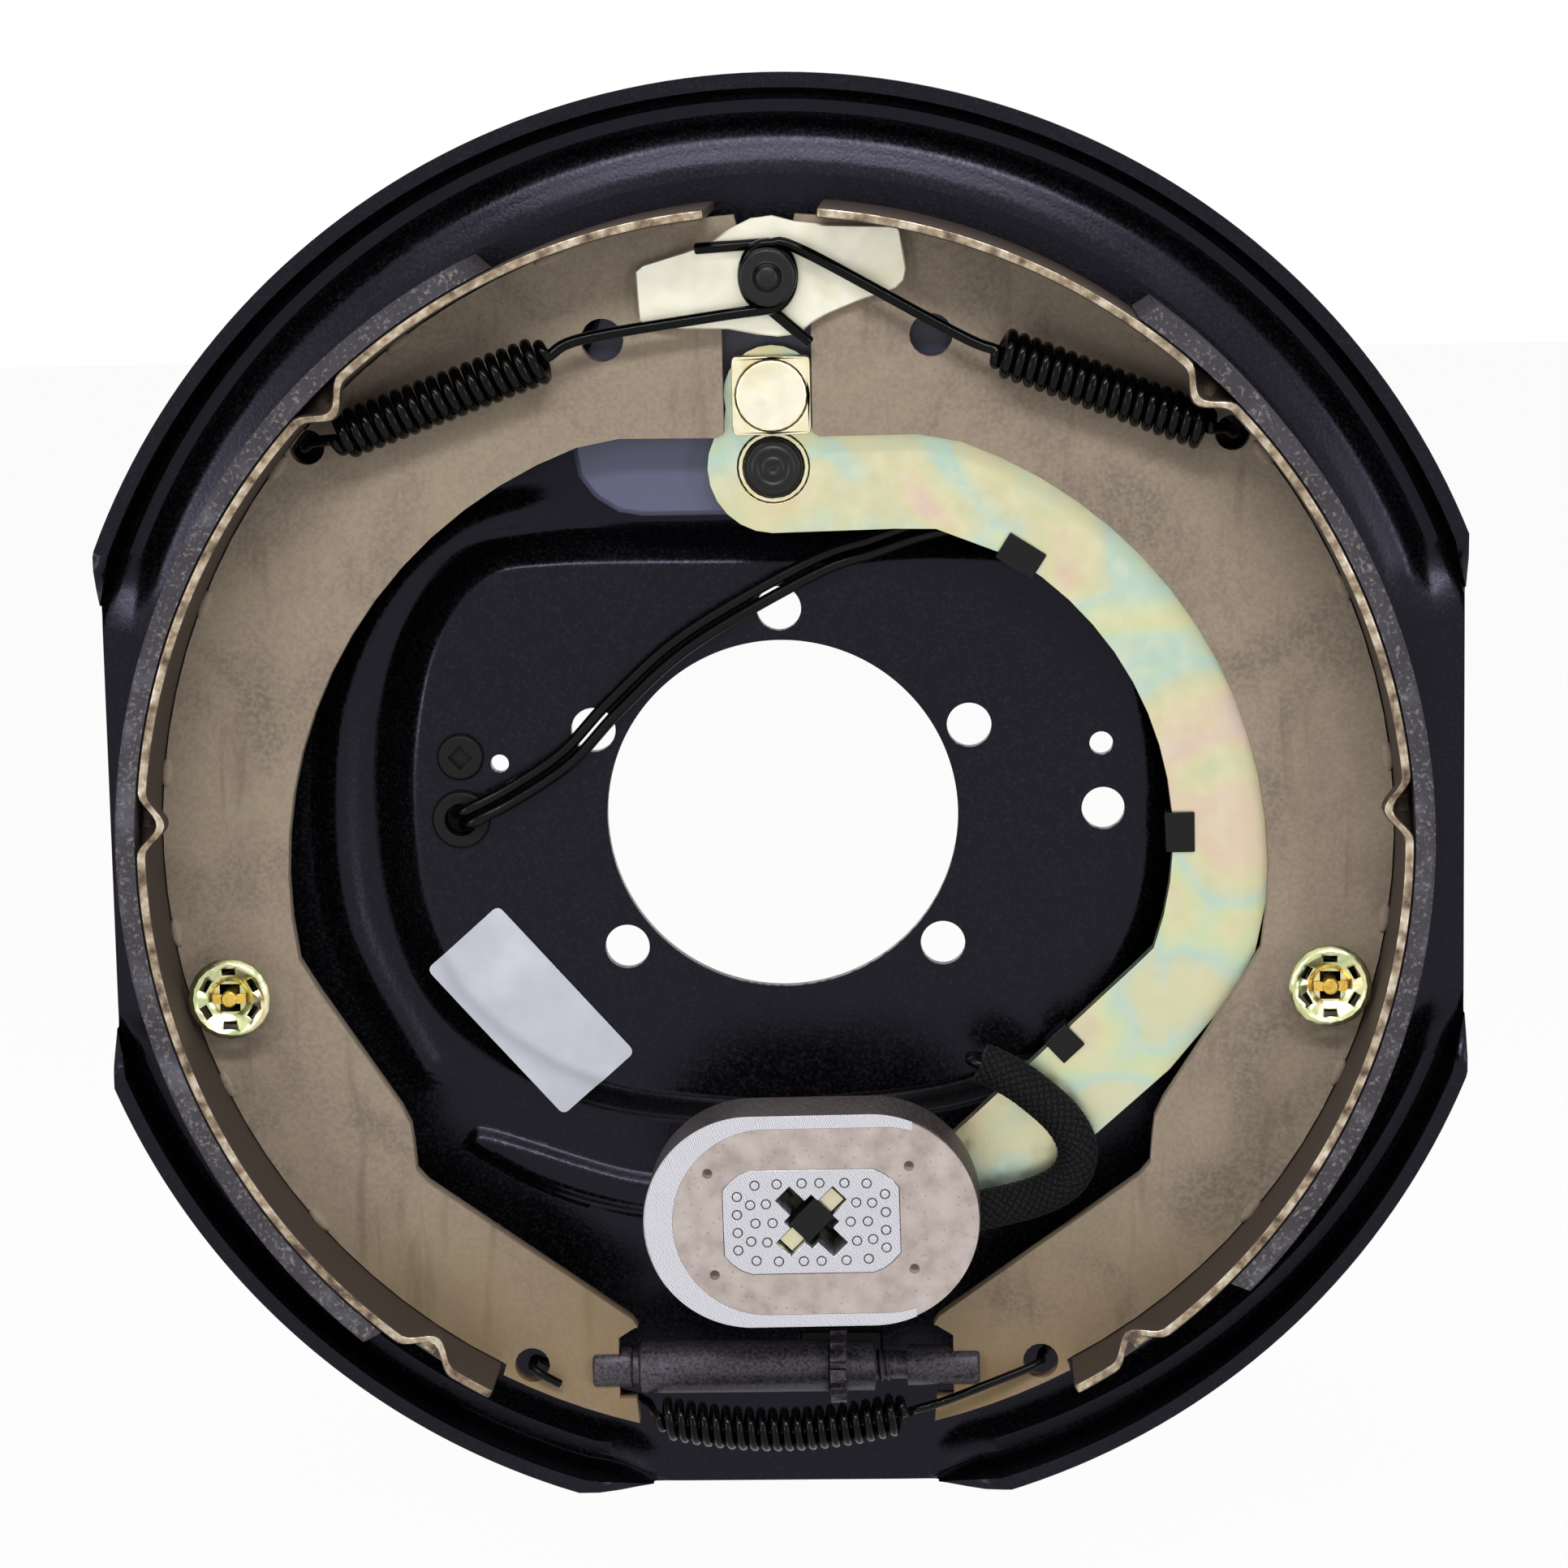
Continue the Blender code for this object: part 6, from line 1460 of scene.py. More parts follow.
@dataclass(frozen=True)
class Shoe:
    """One brake shoe: web, table with pressed dents, bonded lining and weld nubs."""

    side: Side
    lining_span: tuple[float, float]
    lining_radius: float = 0.1514
    lining_thickness: float = 0.0045
    table_thickness: float = 0.0024
    table_span: tuple[float, float] = (85.0, -62.0)
    dents: tuple[float, ...] = (46.0, 3.0, -55.0)
    dent_depth: float = 0.0046
    dent_half_width: float = 0.0075
    dent_reach: float = 0.0085
    nub_half: tuple[float, float] = (0.0036, 0.0014)
    nub_height: float = 0.0012
    nub_places: tuple[tuple[float, float], ...] = (
        (-0.0190, 0.1418), (-0.0510, 0.1341), (-0.0862, 0.1150), (-0.1162, 0.0872), (-0.1343, 0.0552),
        (-0.1442, 0.0152), (-0.1440, -0.0234), (-0.1333, -0.0604), (-0.1123, -0.0939))

    @property
    def table_outer(self) -> float:
        """Radius of the table's outer face."""
        return self.lining_radius - self.lining_thickness - GAP

    def swung(self, radius: Array, across: Array, turn: Array) -> Array:
        """Points at a radius about the shoe's centre, a distance behind its front edge, and an angle."""
        plane = on_side(np.stack([radius * np.cos(turn), radius * np.sin(turn)], -1), self.side)
        return np.stack([plane[..., 0], SHOE_FRONT + across + 0 * turn, plane[..., 1]], -1)

    def table(self) -> Object:
        """The table: an arc of strip whose edges are pressed in at the dents.

        A point's radius is the table's less depth times a raised cosine along the arc and a fade across it.
        """
        inner = self.table_outer - self.table_thickness
        turn = np.radians(np.linspace(self.table_span[0], self.table_span[1], 300))[:, None]
        across = np.concatenate([np.linspace(0.0, self.dent_reach, 10),
                                 np.linspace(self.dent_reach, SHOE_WIDTH - self.dent_reach, 6)[1:-1],
                                 np.linspace(SHOE_WIDTH - self.dent_reach, SHOE_WIDTH, 10)])[None, :]
        off = np.abs(turn[..., None] - np.radians(np.array(self.dents))) * inner / self.dent_half_width
        along = np.where(off < 1.0, 0.5 * (1 + np.cos(math.pi * np.minimum(off, 1.0))), 0.0).sum(-1)
        near = np.minimum(across, SHOE_WIDTH - across)
        fade = 1.0 - smoothstep(self.dent_reach * 0.55, self.dent_reach, near)
        radius = inner - self.dent_depth * along * fade
        outside = self.swung(radius + self.table_thickness, across, turn)
        loop = np.concatenate([self.swung(radius, across, turn), outside[:, ::-1]], 1)
        name = f"{self.side.word}_shoe_table_strip"
        piece = grid_piece(name, self.capped(loop), TABLE_EDGE, close_columns=True)
        bevel_edges(piece, 0.0006, 3, 50.0)
        settle(piece)
        # The table's broad inner and outer faces take the darker primer: painted shade.
        repaint(piece, TABLE_SHADE_PRIMER, lambda normals, _: np.abs(normals[:, 1]) < 0.8)
        return attach(piece, f"{self.side.word}_shoe", "table_steel", f"{self.side.word}_shoe_table")

    def capped(self, loop: Array) -> Array:
        """A sweep of sections with a flat fold at each end: the two halves of an end section meet."""
        half = loop.shape[1] // 2
        first = np.concatenate([loop[:1, :half], loop[:1, :half][:, ::-1]], 1)
        last = np.concatenate([loop[-1:, :half], loop[-1:, :half][:, ::-1]], 1)
        return np.concatenate([first, loop, last])

    def lining(self) -> Object:
        """The lining: a block swept along the arc, its ends chamfered and its outer edges eased."""
        start, end = self.lining_span
        inner, outer = self.table_outer + GAP, self.lining_radius
        ease = 0.0006
        section = np.array([(inner, 0.0), (outer - ease, 0.0), (outer, ease), (outer, SHOE_WIDTH - ease),
                            (outer - ease, SHOE_WIDTH), (inner, SHOE_WIDTH)])
        share = np.linspace(0.0, 1.0, 160)
        lift = (section[:, 0] - inner) / (outer - inner)
        turn = np.radians(start + (end - start) * share)[:, None]
        chamfer = np.zeros((len(share), 1))
        chamfer[[0, -1], 0] = -np.radians(0.7), np.radians(0.7)
        turn = turn + chamfer * lift[None, :]
        loop = self.swung(section[None, :, 0], section[None, :, 1], turn)
        piece = grid_piece(f"{self.side.word}_lining_block", self.capped(loop), LINING, close_columns=True)
        return attach(piece, f"{self.side.word}_shoe", "lining", f"{self.side.word}_lining")

    def nubs(self) -> Object:
        """Projection welds along the web's rim: low, long domes on the web's face.

        Each is half an ellipsoid 7.2 mm long, 2.8 mm wide and 1.2 mm high, turned along the rim.
        """
        places = np.array(self.nub_places) - np.array(SHOE_CENTRE)
        angle = np.arctan2(places[:, 1], np.abs(places[:, 0]))
        if self.side is Side.RIGHT:
            angle = angle[2:]
        rim = self.table_outer - self.table_thickness - 0.0009
        centre = on_side(np.stack([rim * np.cos(angle), rim * np.sin(angle)], -1), self.side)
        radial = np.stack([self.side.value * np.cos(angle), np.sin(angle)], -1)
        along = np.stack([-radial[:, 1], radial[:, 0]], -1)
        lift = np.radians(np.linspace(0.0, 90.0, 7))[None, :, None]
        turn = full_turn(20)[None, None, :]
        u = self.nub_half[0] * np.cos(lift) * np.cos(turn)
        v = self.nub_half[1] * np.cos(lift) * np.sin(turn)
        flat = (centre[:, None, None] + u[..., None] * along[:, None, None]
                + v[..., None] * radial[:, None, None])
        depth = np.broadcast_to(WEB_FRONT + 0.0001 - self.nub_height * np.sin(lift), flat.shape[:3])
        top = np.stack([flat[..., 0], depth, flat[..., 1]], -1)
        base = top[:, :1].copy()
        base[..., 1] = WEB_FRONT + 0.0008
        bottom = np.repeat(base.mean(2, keepdims=True), 20, 2)
        grids = np.concatenate([bottom, base, top], 1)
        piece = grid_piece(f"{self.side.word}_shoe_welds", grids, PRIMER, close_columns=True)
        return attach(piece, f"{self.side.word}_shoe", "primer")

    def build(self, frame: dict) -> None:
        """Build the shoe."""
        dressed(frame, f"{self.side.word}_shoe_web", PRIMER, "primer", 0.0004)
        self.table()
        self.lining()
        self.nubs()


# Adjuster


@dataclass(frozen=True)
class Adjuster:
    """The star-wheel adjuster: forked socket, star nut and forked screw, with the spring below it."""

    fork_radius: float = 0.0049
    thread_radius: float = 0.0039
    thread_pitch: float = 0.0016
    thread_right: float = 0.0279
    notch: float = 0.0398
    fork_reach: float = 0.0062
    star_left: float = 0.0097
    spring_wire: float = 0.0021
    spring_radius: float = 0.0042
    spring_turns: int = 21
    sag: float = 0.0038

    def screw(self) -> Object:
        """The screw: a thread between the wheel and a forked head.

        The thread's radius falls by its depth times a triangle wave of (x / pitch - turn / 2 pi).
        """
        tip = SHOE_CENTRE[0] + self.notch + self.fork_reach
        left = self.star_left - 0.014
        head = softened([(0.0, tip), (self.fork_radius - 0.0005, tip), (self.fork_radius, tip - 0.0005),
                         (self.fork_radius, self.thread_right),
                         (self.thread_radius - 0.0006, self.thread_right),
                         (self.thread_radius - 0.0006, self.thread_right - 0.0022)], 0.0003)
        x = np.linspace(self.thread_right - 0.0026, left + 0.0004, 420)
        wave = (x[:, None] / self.thread_pitch - full_turn(40)[None, :] / (2 * math.pi)) % 1.0
        fade = smoothstep(0.0, 0.0012, self.thread_right - 0.0026 - x)[:, None]
        depth = 0.0007 * fade * (1 - np.abs(2 * wave - 1))
        radius = self.thread_radius - 0.0006 * (1 - fade) - depth * 0.9
        grid = np.concatenate([turned_along_x(head[:, :1], head[:, 1:], 40),
                               turned_along_x(radius, x[:, None], 40),
                               np.repeat(np.array([[[left, WEB_MIDDLE, ADJUSTER_Z]]]), 40, 1)])
        piece = grid_piece("adjuster_screw_thread", grid, PHOSPHATE, close_columns=True, sharp=40.0)
        slot_bottom = SHOE_CENTRE[0] + self.notch - GAP
        size = (tip + 0.005 - slot_bottom, WEB_THICKNESS + 2 * GAP, 0.03)
        middle = Matrix.Translation(((slot_bottom + tip + 0.005) / 2, WEB_MIDDLE, ADJUSTER_Z))
        cut(piece, add_piece("fork_cutter", box_mesh(size, middle), PHOSPHATE))
        return attach(piece, "screw", "phosphate", "adjuster_screw")

    def lower_path(self) -> Array:
        """Centreline of the adjuster spring, from its hook in the left web to the one in the right."""
        radius = self.spring_wire / 2
        y = WEB_FRONT - 0.0083
        coil = helix((-0.0308, y, -0.1392), (0.0270, y, -0.1388), self.spring_radius, self.spring_turns,
                     self.sag)
        left, right = on_side(LOWER_HOLE, Side.LEFT), on_side(LOWER_HOLE, Side.RIGHT)
        behind, front = WEB_REAR + radius + 0.0006, WEB_FRONT - radius - 0.0006
        x, z = left
        hook_left = through([(x + 0.0066, front, z - 0.0042), (x + 0.0008, front, z - 0.0008),
                             (x, WEB_MIDDLE, z), (x + 0.0010, behind, z - 0.0004),
                             (x + 0.0080, behind, z - 0.0040), (-0.0430, behind, -0.1372),
                             (-0.0362, behind - 0.0006, -0.1390), (-0.0338, WEB_MIDDLE, -0.1395),
                             (-0.0325, front - 0.0030, -0.1393), tuple(coil[0])], 80)[:-1]
        x, z = right
        hook_right = through([tuple(coil[-1]), (0.0300, front - 0.0034, -0.1392),
                              (0.0370, front - 0.0030, -0.1372), (0.0470, front - 0.0026, -0.1334),
                              (x - 0.0030, front - 0.0004, z - 0.0012), (x, front + 0.0012, z),
                              (x, WEB_MIDDLE, z), (x + 0.0008, behind, z + 0.0006),
                              (x + 0.0040, behind, z + 0.0030)], 70)[1:]
        return np.vstack([hook_left, coil, hook_right])

    def build(self, frame: dict) -> None:
        """Build the adjuster and its spring."""
        dressed(frame, "adjuster_socket", PHOSPHATE, "phosphate", 0.0003)
        dressed(frame, "adjuster_nut", PHOSPHATE, "phosphate", 0.0002)
        self.screw()
        piece = tube_piece("lower_spring_wire", self.lower_path(), self.spring_wire / 2, SPRING_BLACK)
        cross_blend(piece, ("backing", "left_shoe"), (0.0271, -0.03, -0.1379), (-0.0312, -0.03, -0.1373),
                    "spring_steel", "lower_spring")


# Magnet


@dataclass(frozen=True)
class Magnet:
    """The oval magnet: steel case, potted coil with its friction face, dimpled core, spring and clip."""

    length: float = 0.0777
    height: float = 0.0499
    pad_length: float = 0.0709
    pad_height: float = 0.0439
    pad_shift: float = 0.0033
    pad_thickness: float = 0.0012
    play: float = 0.00006
    wrap: float = 0.0237
    tilt: float = 0.6
    spring_radii: tuple[float, float] = (0.0108, 0.0130)
    spring_wire: float = 0.0016
    core_half: float = 0.02035
    core_high: float = 0.01225
    cross: tuple[tuple[float, float, int], ...] = (
        (0.0188, 0.0047, 45), (0.0188, 0.0047, -45), (0.0090, 0.0090, 45))
    dimples: tuple[tuple[float, float], ...] = (
        (0.01290, 0.00880), (0.00780, 0.00900), (0.00205, 0.00910), (0.01705, 0.00620),
        (0.01405, 0.00420), (0.01040, 0.00435), (0.01715, 0.00195), (0.01295, -0.00015),
        (0.00900, -0.00015), (0.01710, -0.00230), (0.01405, -0.00440), (0.01035, -0.00470),
        (0.01710, -0.00645), (0.01295, -0.00900), (0.00780, -0.00925), (0.00205, -0.00930))
    pores: tuple[tuple[float, float], ...] = ((-0.0237, 0.0118), (0.0227, 0.0127), (-0.0227, -0.0122),
                                              (0.0234, -0.0116))

    def place(self, x: Array, z: Array) -> tuple[Array, Array]:
        """From the magnet's own tilted axes to the brake's X and Z."""
        turn = math.radians(self.tilt)
        return (MAGNET_CENTRE[0] + x * math.cos(turn) - z * math.sin(turn),
                MAGNET_CENTRE[1] + x * math.sin(turn) + z * math.cos(turn))

    def racetrack(self, length: float, height: float, shift: float) -> Array:
        """A racetrack outline that starts and ends where the friction pad wraps over the case's wall.

        LEFT_POINTS points run round the left of that line, then RIGHT_POINTS round the right, each evenly.

        Args:
            length: Its length along its own axis.
            height: Its height.
            shift: How far its middle lies to the right of the magnet's.

        Returns:
            An (n, 2) array in the magnet's own axes.
        """
        radius = height / 2
        half = length / 2 - radius
        bend = math.degrees(math.acos((self.wrap - shift - half) / radius))
        near, far = (shift + half, 0.0), (shift - half, 0.0)
        left = np.vstack([arc(near, radius, bend, 90, 40), arc(far, radius, 90, 270, 160),
                          arc(near, radius, 270, 360 - bend, 40)])
        return np.vstack([even(left, LEFT_POINTS), arc(near, radius, -bend, bend, RIGHT_POINTS)])

    def core_edge(self, points: Array, gap: float) -> Array:
        """The core's outline in the directions of these points, this far outside it."""
        quarter = np.array([(self.core_half, 0.0078), (0.0185, 0.0098), (0.0165, 0.0113),
                            (0.0140, self.core_high)])
        right = np.vstack([quarter[::-1] * (1, -1), quarter])
        outline = even(np.vstack([right, -right, right[:1]]), 800)
        angle = np.arctan2(outline[:, 1], outline[:, 0])
        order = np.argsort(angle)
        want = np.arctan2(points[:, 1], points[:, 0])
        reach = gap + np.interp(want, angle[order], np.hypot(*outline.T)[order], period=2 * math.pi)
        return np.stack([reach * np.cos(want), reach * np.sin(want)], -1)

    def swept(self, columns: Sequence[tuple[Array, Array | float]]) -> Array:
        """A grid from outlines and their depths: each outline, placed on the brake, is one column."""
        rows = len(columns[0][0])
        made = []
        for outline, depth in columns:
            x, z = self.place(outline[:, 0], outline[:, 1])
            made.append(np.stack([x, np.broadcast_to(depth, (rows,)), z], -1))
        return np.stack(made, 1)

    def outer(self, inset: float = 0.0) -> Array:
        """The case's outline, this far inside itself."""
        return self.racetrack(self.length - 2 * inset, self.height - 2 * inset, 0.0)

    def pad_edge(self, gap: float) -> Array:
        """The friction pad's outline: a shorter racetrack on the left, the case's own edge on the right."""
        inner = self.racetrack(self.pad_length - 2 * gap, self.pad_height - 2 * gap, self.pad_shift)
        wide = self.outer(0.0002 + gap)
        right = np.arange(len(inner)) >= LEFT_POINTS
        return np.where(right[:, None], wide, inner)

    def case(self) -> Object:
        """The steel case: a wall with a pocket, its front cut back where the friction pad wraps over it."""
        outer, low = self.outer(), self.outer(0.0003)
        right = np.arange(len(outer)) >= LEFT_POINTS
        pocket = np.where(right[:, None], self.outer(0.0031), self.pad_edge(0.0))
        front = np.where(right, MAGNET_FRONT + self.pad_thickness, MAGNET_FRONT)
        floor = MAGNET_FRONT + 0.0174
        grid = self.swept([(outer * 0.0, floor), (pocket * 0.5, floor), (pocket, floor), (pocket, front),
                           (low, front), (outer, front + 0.0003), (outer, MAGNET_REAR - 0.0005),
                           (self.outer(0.0005), MAGNET_REAR), (outer * 0.5, MAGNET_REAR),
                           (outer * 0.0, MAGNET_REAR)])
        piece = grid_piece("magnet_case_cup", grid, MAGNET_STEEL, close_rows=True, sharp=40.0)
        x, z = MAGNET_CENTRE
        for long, wide, turn in self.cross:
            place = Matrix.Translation((x, MAGNET_FRONT, z)) @ Matrix.Rotation(math.radians(turn), 4, "Y")
            cut(piece, add_piece("cross_cutter", box_mesh((long, 0.06, wide), place), MAGNET_STEEL))
        shade(piece.data, 40.0)
        repaint(piece, MAGNET_SIDE,
                lambda normals, middles: ~((normals[:, 1] < -0.35) & (middles[:, 1] < MAGNET_FRONT + 0.001)))
        return attach(piece, "magnet", "magnet_case", "magnet_case")

    def pad(self) -> Object:
        """The friction pad round the core, with four small pores moulded in it."""
        edge = self.pad_edge(self.play)
        right = np.arange(len(edge)) >= LEFT_POINTS
        waist = np.where(right[:, None], self.outer(0.0034), edge)
        play = 2 * self.play
        inner = self.racetrack(self.pad_length - play, self.pad_height - play, self.pad_shift)
        hole = self.core_edge(inner, play)
        bulge = 0.3 * np.sin(np.linspace(0.0, math.pi, RIGHT_POINTS))
        draw = np.concatenate([np.zeros(LEFT_POINTS), bulge])[:, None]
        middle = inner + (hole - inner) * draw
        ledge, rear = MAGNET_FRONT + self.pad_thickness - self.play, MAGNET_FRONT + 0.0168
        grid = self.swept([(hole, MAGNET_FRONT), (middle, MAGNET_FRONT), (edge, MAGNET_FRONT),
                           (edge, ledge), (waist, ledge), (waist, rear), (hole, rear)])
        piece = grid_piece("magnet_friction_pad", grid, FRICTION, close_rows=True, close_columns=True,
                           sharp=40.0)
        drills = turned_at(np.stack(self.place(*np.array(self.pores).T), -1),
                           np.array([[0.0, 0.0012, 0.0012, 0.0]]),
                           MAGNET_FRONT + np.array([-0.001, -0.001, 0.0016, 0.0022]), full_turn(16))
        cut(piece, grid_piece("pore_cutter", drills, PHOSPHATE, close_columns=True))
        shade(piece.data, 40.0)
        return attach(piece, "magnet", "friction", "magnet_coil")

    def studs(self, name: str, profile: Sequence[tuple[float, float]], finish: Finish) -> Object:
        """One small turned shape at each dimple, mirrored left and right of the core's middle.

        Args:
            name: The piece's name.
            profile: Radius and height above the core's face, from the foot inwards.
            finish: The shape's finish.

        Returns:
            The piece.
        """
        half = np.array(self.dimples)
        spots = np.vstack([half, half * (-1, 1)])
        reach, lift = np.array(profile).T
        places = np.stack(self.place(*spots.T), -1)
        points = turned_at(places, reach[None], MAGNET_FRONT - lift, full_turn(14))
        piece = grid_piece(name, points, finish, close_columns=True, sharp=40.0)
        return attach(piece, "magnet", "magnet_case")

    def dimples_and_moats(self) -> None:
        """Low round studs 1.9 mm across, each in a dark ring that is painted shade round its foot."""
        self.studs("magnet_core_dimples",
                   [(0.0, -0.0002), (0.00095, -0.0002), (0.00095, 0.0001), (0.00088, 0.00022),
                    (0.00070, 0.00028), (0.0, 0.00030)], CORE_STEEL)
        # A thin dark annulus in the oxide finish, a hair proud of the face: painted shade round each stud.
        self.studs("magnet_core_moats",
                   [(0.0, -0.0003), (0.00122, -0.0003), (0.00122, 0.00003), (0.0, 0.00004)], MAGNET_SIDE)

    def build(self, frame: dict) -> None:
        """Build the magnet and its spring."""
        self.case()
        self.pad()
        dressed(frame, "magnet_core", CORE_STEEL, "magnet_case", 0.0002)
        dressed(frame, "magnet_clip", CLIP_BLACK, "spring_steel", 0.0003)
        self.dimples_and_moats()
        start, end = LEVER_FRONT - self.spring_wire / 2 - GAP, MAGNET_REAR + self.spring_wire / 2 + GAP
        path = coil_along_y(MAGNET_CENTRE, self.spring_radii, (start, end), 4, 161)
        piece = tube_piece("magnet_spring_wire", path, self.spring_wire / 2, SPRING_BLACK)
        cross_blend(piece, ("lever", "magnet"), (MAGNET_CENTRE[0], start, MAGNET_CENTRE[1]),
                    (MAGNET_CENTRE[0], end, MAGNET_CENTRE[1]), "spring_steel", "magnet_spring")


# Leads


@dataclass(frozen=True)
class Leads:
    """The magnet's two leads, their braided sleeve, and the tied tails behind the plate."""

    radius: float = 0.0014
    core: float = 0.0008
    stripped: float = 0.006
    spread: float = 0.00165
    twist: tuple[float, float] = (17.0, 21.0)
    sleeve_radius: float = 0.0048
    coil_centre: tuple[float, float] = (-0.1240, 0.0)
    coil_radius: float = 0.0160
    coil_turns: int = 2
    route: tuple[tuple[float, float, float], ...] = (
        (-0.0766, -0.0012, -0.0002), (-0.0766, -0.0030, -0.0002), (-0.0762, -0.0064, 0.0002),
        (-0.0730, -0.0082, 0.0018), (-0.0640, -0.0074, 0.0062), (-0.0508, -0.0066, 0.0148),
        (-0.0389, -0.0064, 0.0272), (-0.0213, -0.0066, 0.0425), (0.0079, -0.0070, 0.0590),
        (0.0220, -0.0076, 0.0640), (0.0380, -0.0084, 0.0690), (0.0560, -0.0086, 0.0700),
        (0.0740, -0.0086, 0.0590), (0.0880, -0.0086, 0.0420), (0.0965, -0.0086, 0.0210),
        (0.0985, -0.0086, 0.0000), (0.0955, -0.0086, -0.0220), (0.0880, -0.0086, -0.0400),
        (0.0800, -0.0086, -0.0490), (0.0710, -0.0086, -0.0545), (0.0630, -0.0088, -0.0580),
        (0.0560, -0.0100, -0.0595), (0.0500, -0.0130, -0.0588), (0.0458, -0.0168, -0.0572),
        (0.0440, -0.0205, -0.0562), (0.0452, -0.0230, -0.0564), (0.0490, -0.0234, -0.0580))

    @property
    def layer(self) -> float:
        """Distance between neighbouring strands in the coil."""
        return 2 * self.radius + GAP

    def lead_path(self, side: int) -> Array:
        """One lead's centreline: the shared route, moved by the spread to one side of it.

        Args:
            side: 1 or -1, the side of the route that the lead keeps to.

        Returns:
            Its centreline, (360, 3).
        """
        route = np.array(self.route)
        index = np.arange(len(route))
        near = np.clip(index, 4, len(route) - 3)
        along = (route[near + 1] - route[near - 1])[:, [0, 2]]
        along /= np.linalg.norm(along, axis=1)[:, None]
        twist = math.pi / 2 * smoothstep(self.twist[0], self.twist[1], index)
        away = side * self.spread * np.cos(twist)
        aside = [-away * along[:, 1], side * self.spread * np.sin(twist), away * along[:, 0]]
        return through(route + np.stack(aside, -1), 360)

    def tail_path(self, side: int, layer: int) -> Array:
        """One lead's free end, from the grommet back, round and into the tied coil.

        Args:
            side: 1 or -1, the side of the shared route that the lead keeps to.
            layer: How many leads lie between it and the plate.

        Returns:
            Its centreline, (300, 3).
        """
        x, _, z = self.route[0]
        y = FLOOR_REAR + self.radius + GAP + layer * self.layer
        bend = 0.0060 + layer * 0.0008
        top = self.coil_radius + self.coil_turns * self.layer / 2
        away = side * self.spread
        start = [(x, 0.0004, z + away), (x, y - bend, z + away), (x - bend * 0.3, y - bend * 0.3, z + away),
                 (x - bend, y, z + away), (x - 0.0160, y, z + 0.0020 + away * 0.6),
                 (x - 0.0280, y, z + 0.0110), (self.coil_centre[0] + 0.0100, y, top - 0.0026)]
        steps = self.coil_turns * 14
        share = np.arange(steps + 1) / steps
        turn = np.radians(90 + 360 * self.coil_turns * share)
        reach = top - self.coil_turns * self.layer * share
        ring = np.stack([self.coil_centre[0] + reach * np.cos(turn), np.full_like(turn, y),
                         self.coil_centre[1] + reach * np.sin(turn)], -1)
        return through(np.vstack([np.array(start), ring]), 300)

    def sleeve(self) -> Object:
        """The braided sleeve: a tube whose radius rises over each yarn.

        Two families of helices cross; where one passes over, its crown shows. The height is the larger of the
        two families' cosine crowns, each lowered where the checkerboard of crossings puts it below.
        """
        depth = LEVER_FRONT - GAP - self.sleeve_radius
        path = through([(0.0462, depth, -0.0566), (0.0510, depth, -0.0587), (0.0578, depth, -0.0632),
                        (0.0656, depth, -0.0706), (0.0688, depth, -0.0780), (0.0662, depth, -0.0850),
                        (0.0578, depth, -0.0894), (0.0450, depth - 0.0026, -0.0916),
                        (0.0350, depth - 0.0051, -0.0926), (0.0290, depth - 0.0052, -0.0928)], 420)
        _, side, up = carried(path)
        length = np.linalg.norm(np.diff(path, axis=0), axis=1).sum()
        sides, strands, pitch = 72, 12, 0.0021
        along = np.linspace(0.0, length, len(path))[:, None] / pitch
        around = full_turn(sides)[None, :] * strands / (2 * math.pi)
        first, second = around + along, around - along
        over = np.cos(math.pi * first) * np.cos(math.pi * second)
        crown_a = np.abs(np.cos(math.pi * first)) * (0.55 + 0.45 * np.sign(over))
        crown_b = np.abs(np.cos(math.pi * second)) * (0.55 - 0.45 * np.sign(over))
        crown = np.clip(np.maximum(crown_a, crown_b), 0.0, 1.0)
        reach = self.sleeve_radius - 0.0006 + 0.0006 * crown
        body = path[:, None, :] + reach[..., None] * rings(side, up, sides)
        poles = [np.repeat(path[None, k:k + 1], sides, 1) for k in (0, len(path) - 1)]
        grid = np.concatenate([poles[0], body, poles[1]])
        mesh = mesh_from("lead_sleeve_braid", grid.reshape(-1, 3), grid_faces(len(grid), sides, False, True))
        value = mesh.attributes.new("crown", "FLOAT", "POINT")
        padded = np.concatenate([np.zeros((1, sides)), crown, np.zeros((1, sides))])
        value.data.foreach_set("value", padded.ravel().astype(np.float32))
        close_seams(mesh)
        piece = add_piece("lead_sleeve_braid", mesh, BRAID, 70.0)
        return cross_blend(piece, ("lever", "magnet"), (0.0578, depth, -0.0894), (0.0340, depth, -0.0926),
                           "sleeve", "lead_sleeve")

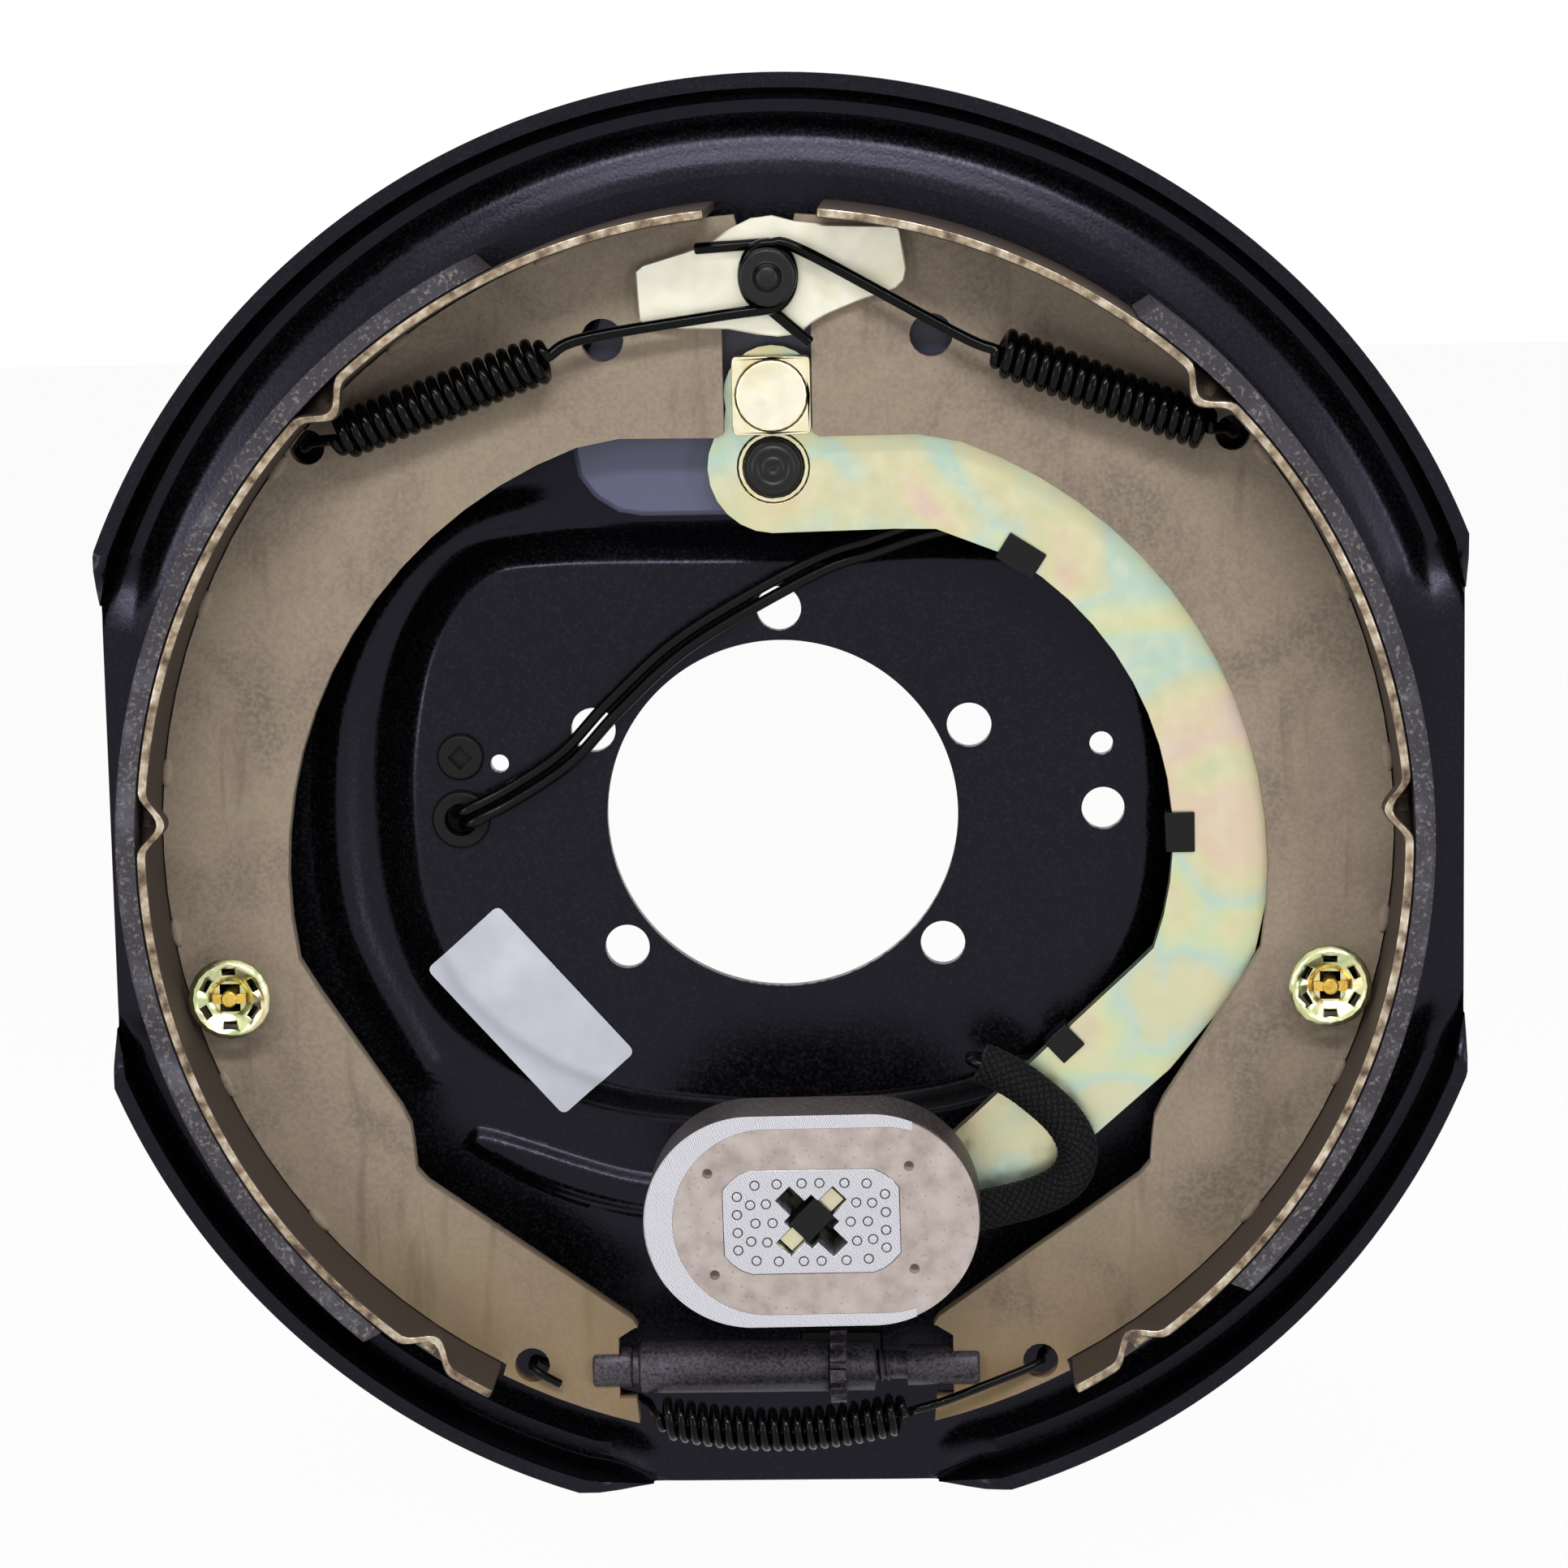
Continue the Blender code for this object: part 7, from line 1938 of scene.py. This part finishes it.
    def wires(self) -> None:
        """The two leads from the grommet to the sleeve."""
        for side, word in ((-1, "a"), (1, "b")):
            piece = tube_piece(f"lead_wire_{word}_jacket", self.lead_path(side), self.radius, LEAD_JACKET, 14)
            cross_blend(piece, ("backing", "lever"), (0.0, -0.007, 0.056), (0.0560, -0.0086, 0.0700),
                        "lead_wire", f"lead_wire_{word}")

    def tails(self, frame: dict) -> None:
        """The leads' free ends, tied in a small coil behind the plate, with stripped ends."""
        tie = dressed(frame, "lead_tie", RUBBER, "rubber", 0.0002)
        for side, layer, word in ((-1, 0, "a"), (1, 1, "b")):
            path = self.tail_path(side, layer)
            piece = tube_piece(f"lead_tail_{word}_jacket", path, self.radius, LEAD_JACKET)
            attach(piece, "backing", "lead_wire", f"lead_tail_{word}")
            inner = self.coil_radius - self.coil_turns * self.layer / 2
            bare = arc(self.coil_centre, inner, 90, 90 + math.degrees(self.stripped / inner), 14)
            strands = np.stack([bare[:, 0], np.full(len(bare), path[-1][1]), bare[:, 1]], -1)
            end = tube_piece(f"lead_tail_{word}_strands", strands, self.core, COPPER, 10, 32.0)
            attach(end, "backing", "lead_wire")

    def build(self, frame: dict) -> None:
        """Build the leads."""
        self.tails(frame)
        self.wires()
        self.sleeve()


def main() -> None:
    """Load the frame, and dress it."""
    logging.basicConfig(level=logging.INFO, format="%(name)s: %(message)s")
    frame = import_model()
    Studio().build()
    Leads().build(frame)
    BackingPlate().build(frame)
    Anchor().build(frame)
    Lever().build(frame)
    for side, span in ((Side.LEFT, (63.5, -50.4)), (Side.RIGHT, (54.7, -44.7))):
        Shoe(side, span).build(frame)
        HoldDown(side).build(frame)
    ReturnSpring(Side.LEFT, (-0.1004, 0.0932), (-0.0510, 0.1112),
                 ((-0.0430, 0.1152), (-0.0145, 0.1196), (-0.0164, 0.1352)), (-90.0, 90.0)).build()
    ReturnSpring(Side.RIGHT, (0.1004, 0.0925), (0.0520, 0.1112),
                 ((0.0430, 0.1150), (0.0080, 0.1345), (0.0092, 0.1135)), (90.0, 270.0)).build()
    Adjuster().build(frame)
    Magnet().build(frame)


if __name__ == "__main__":
    main()
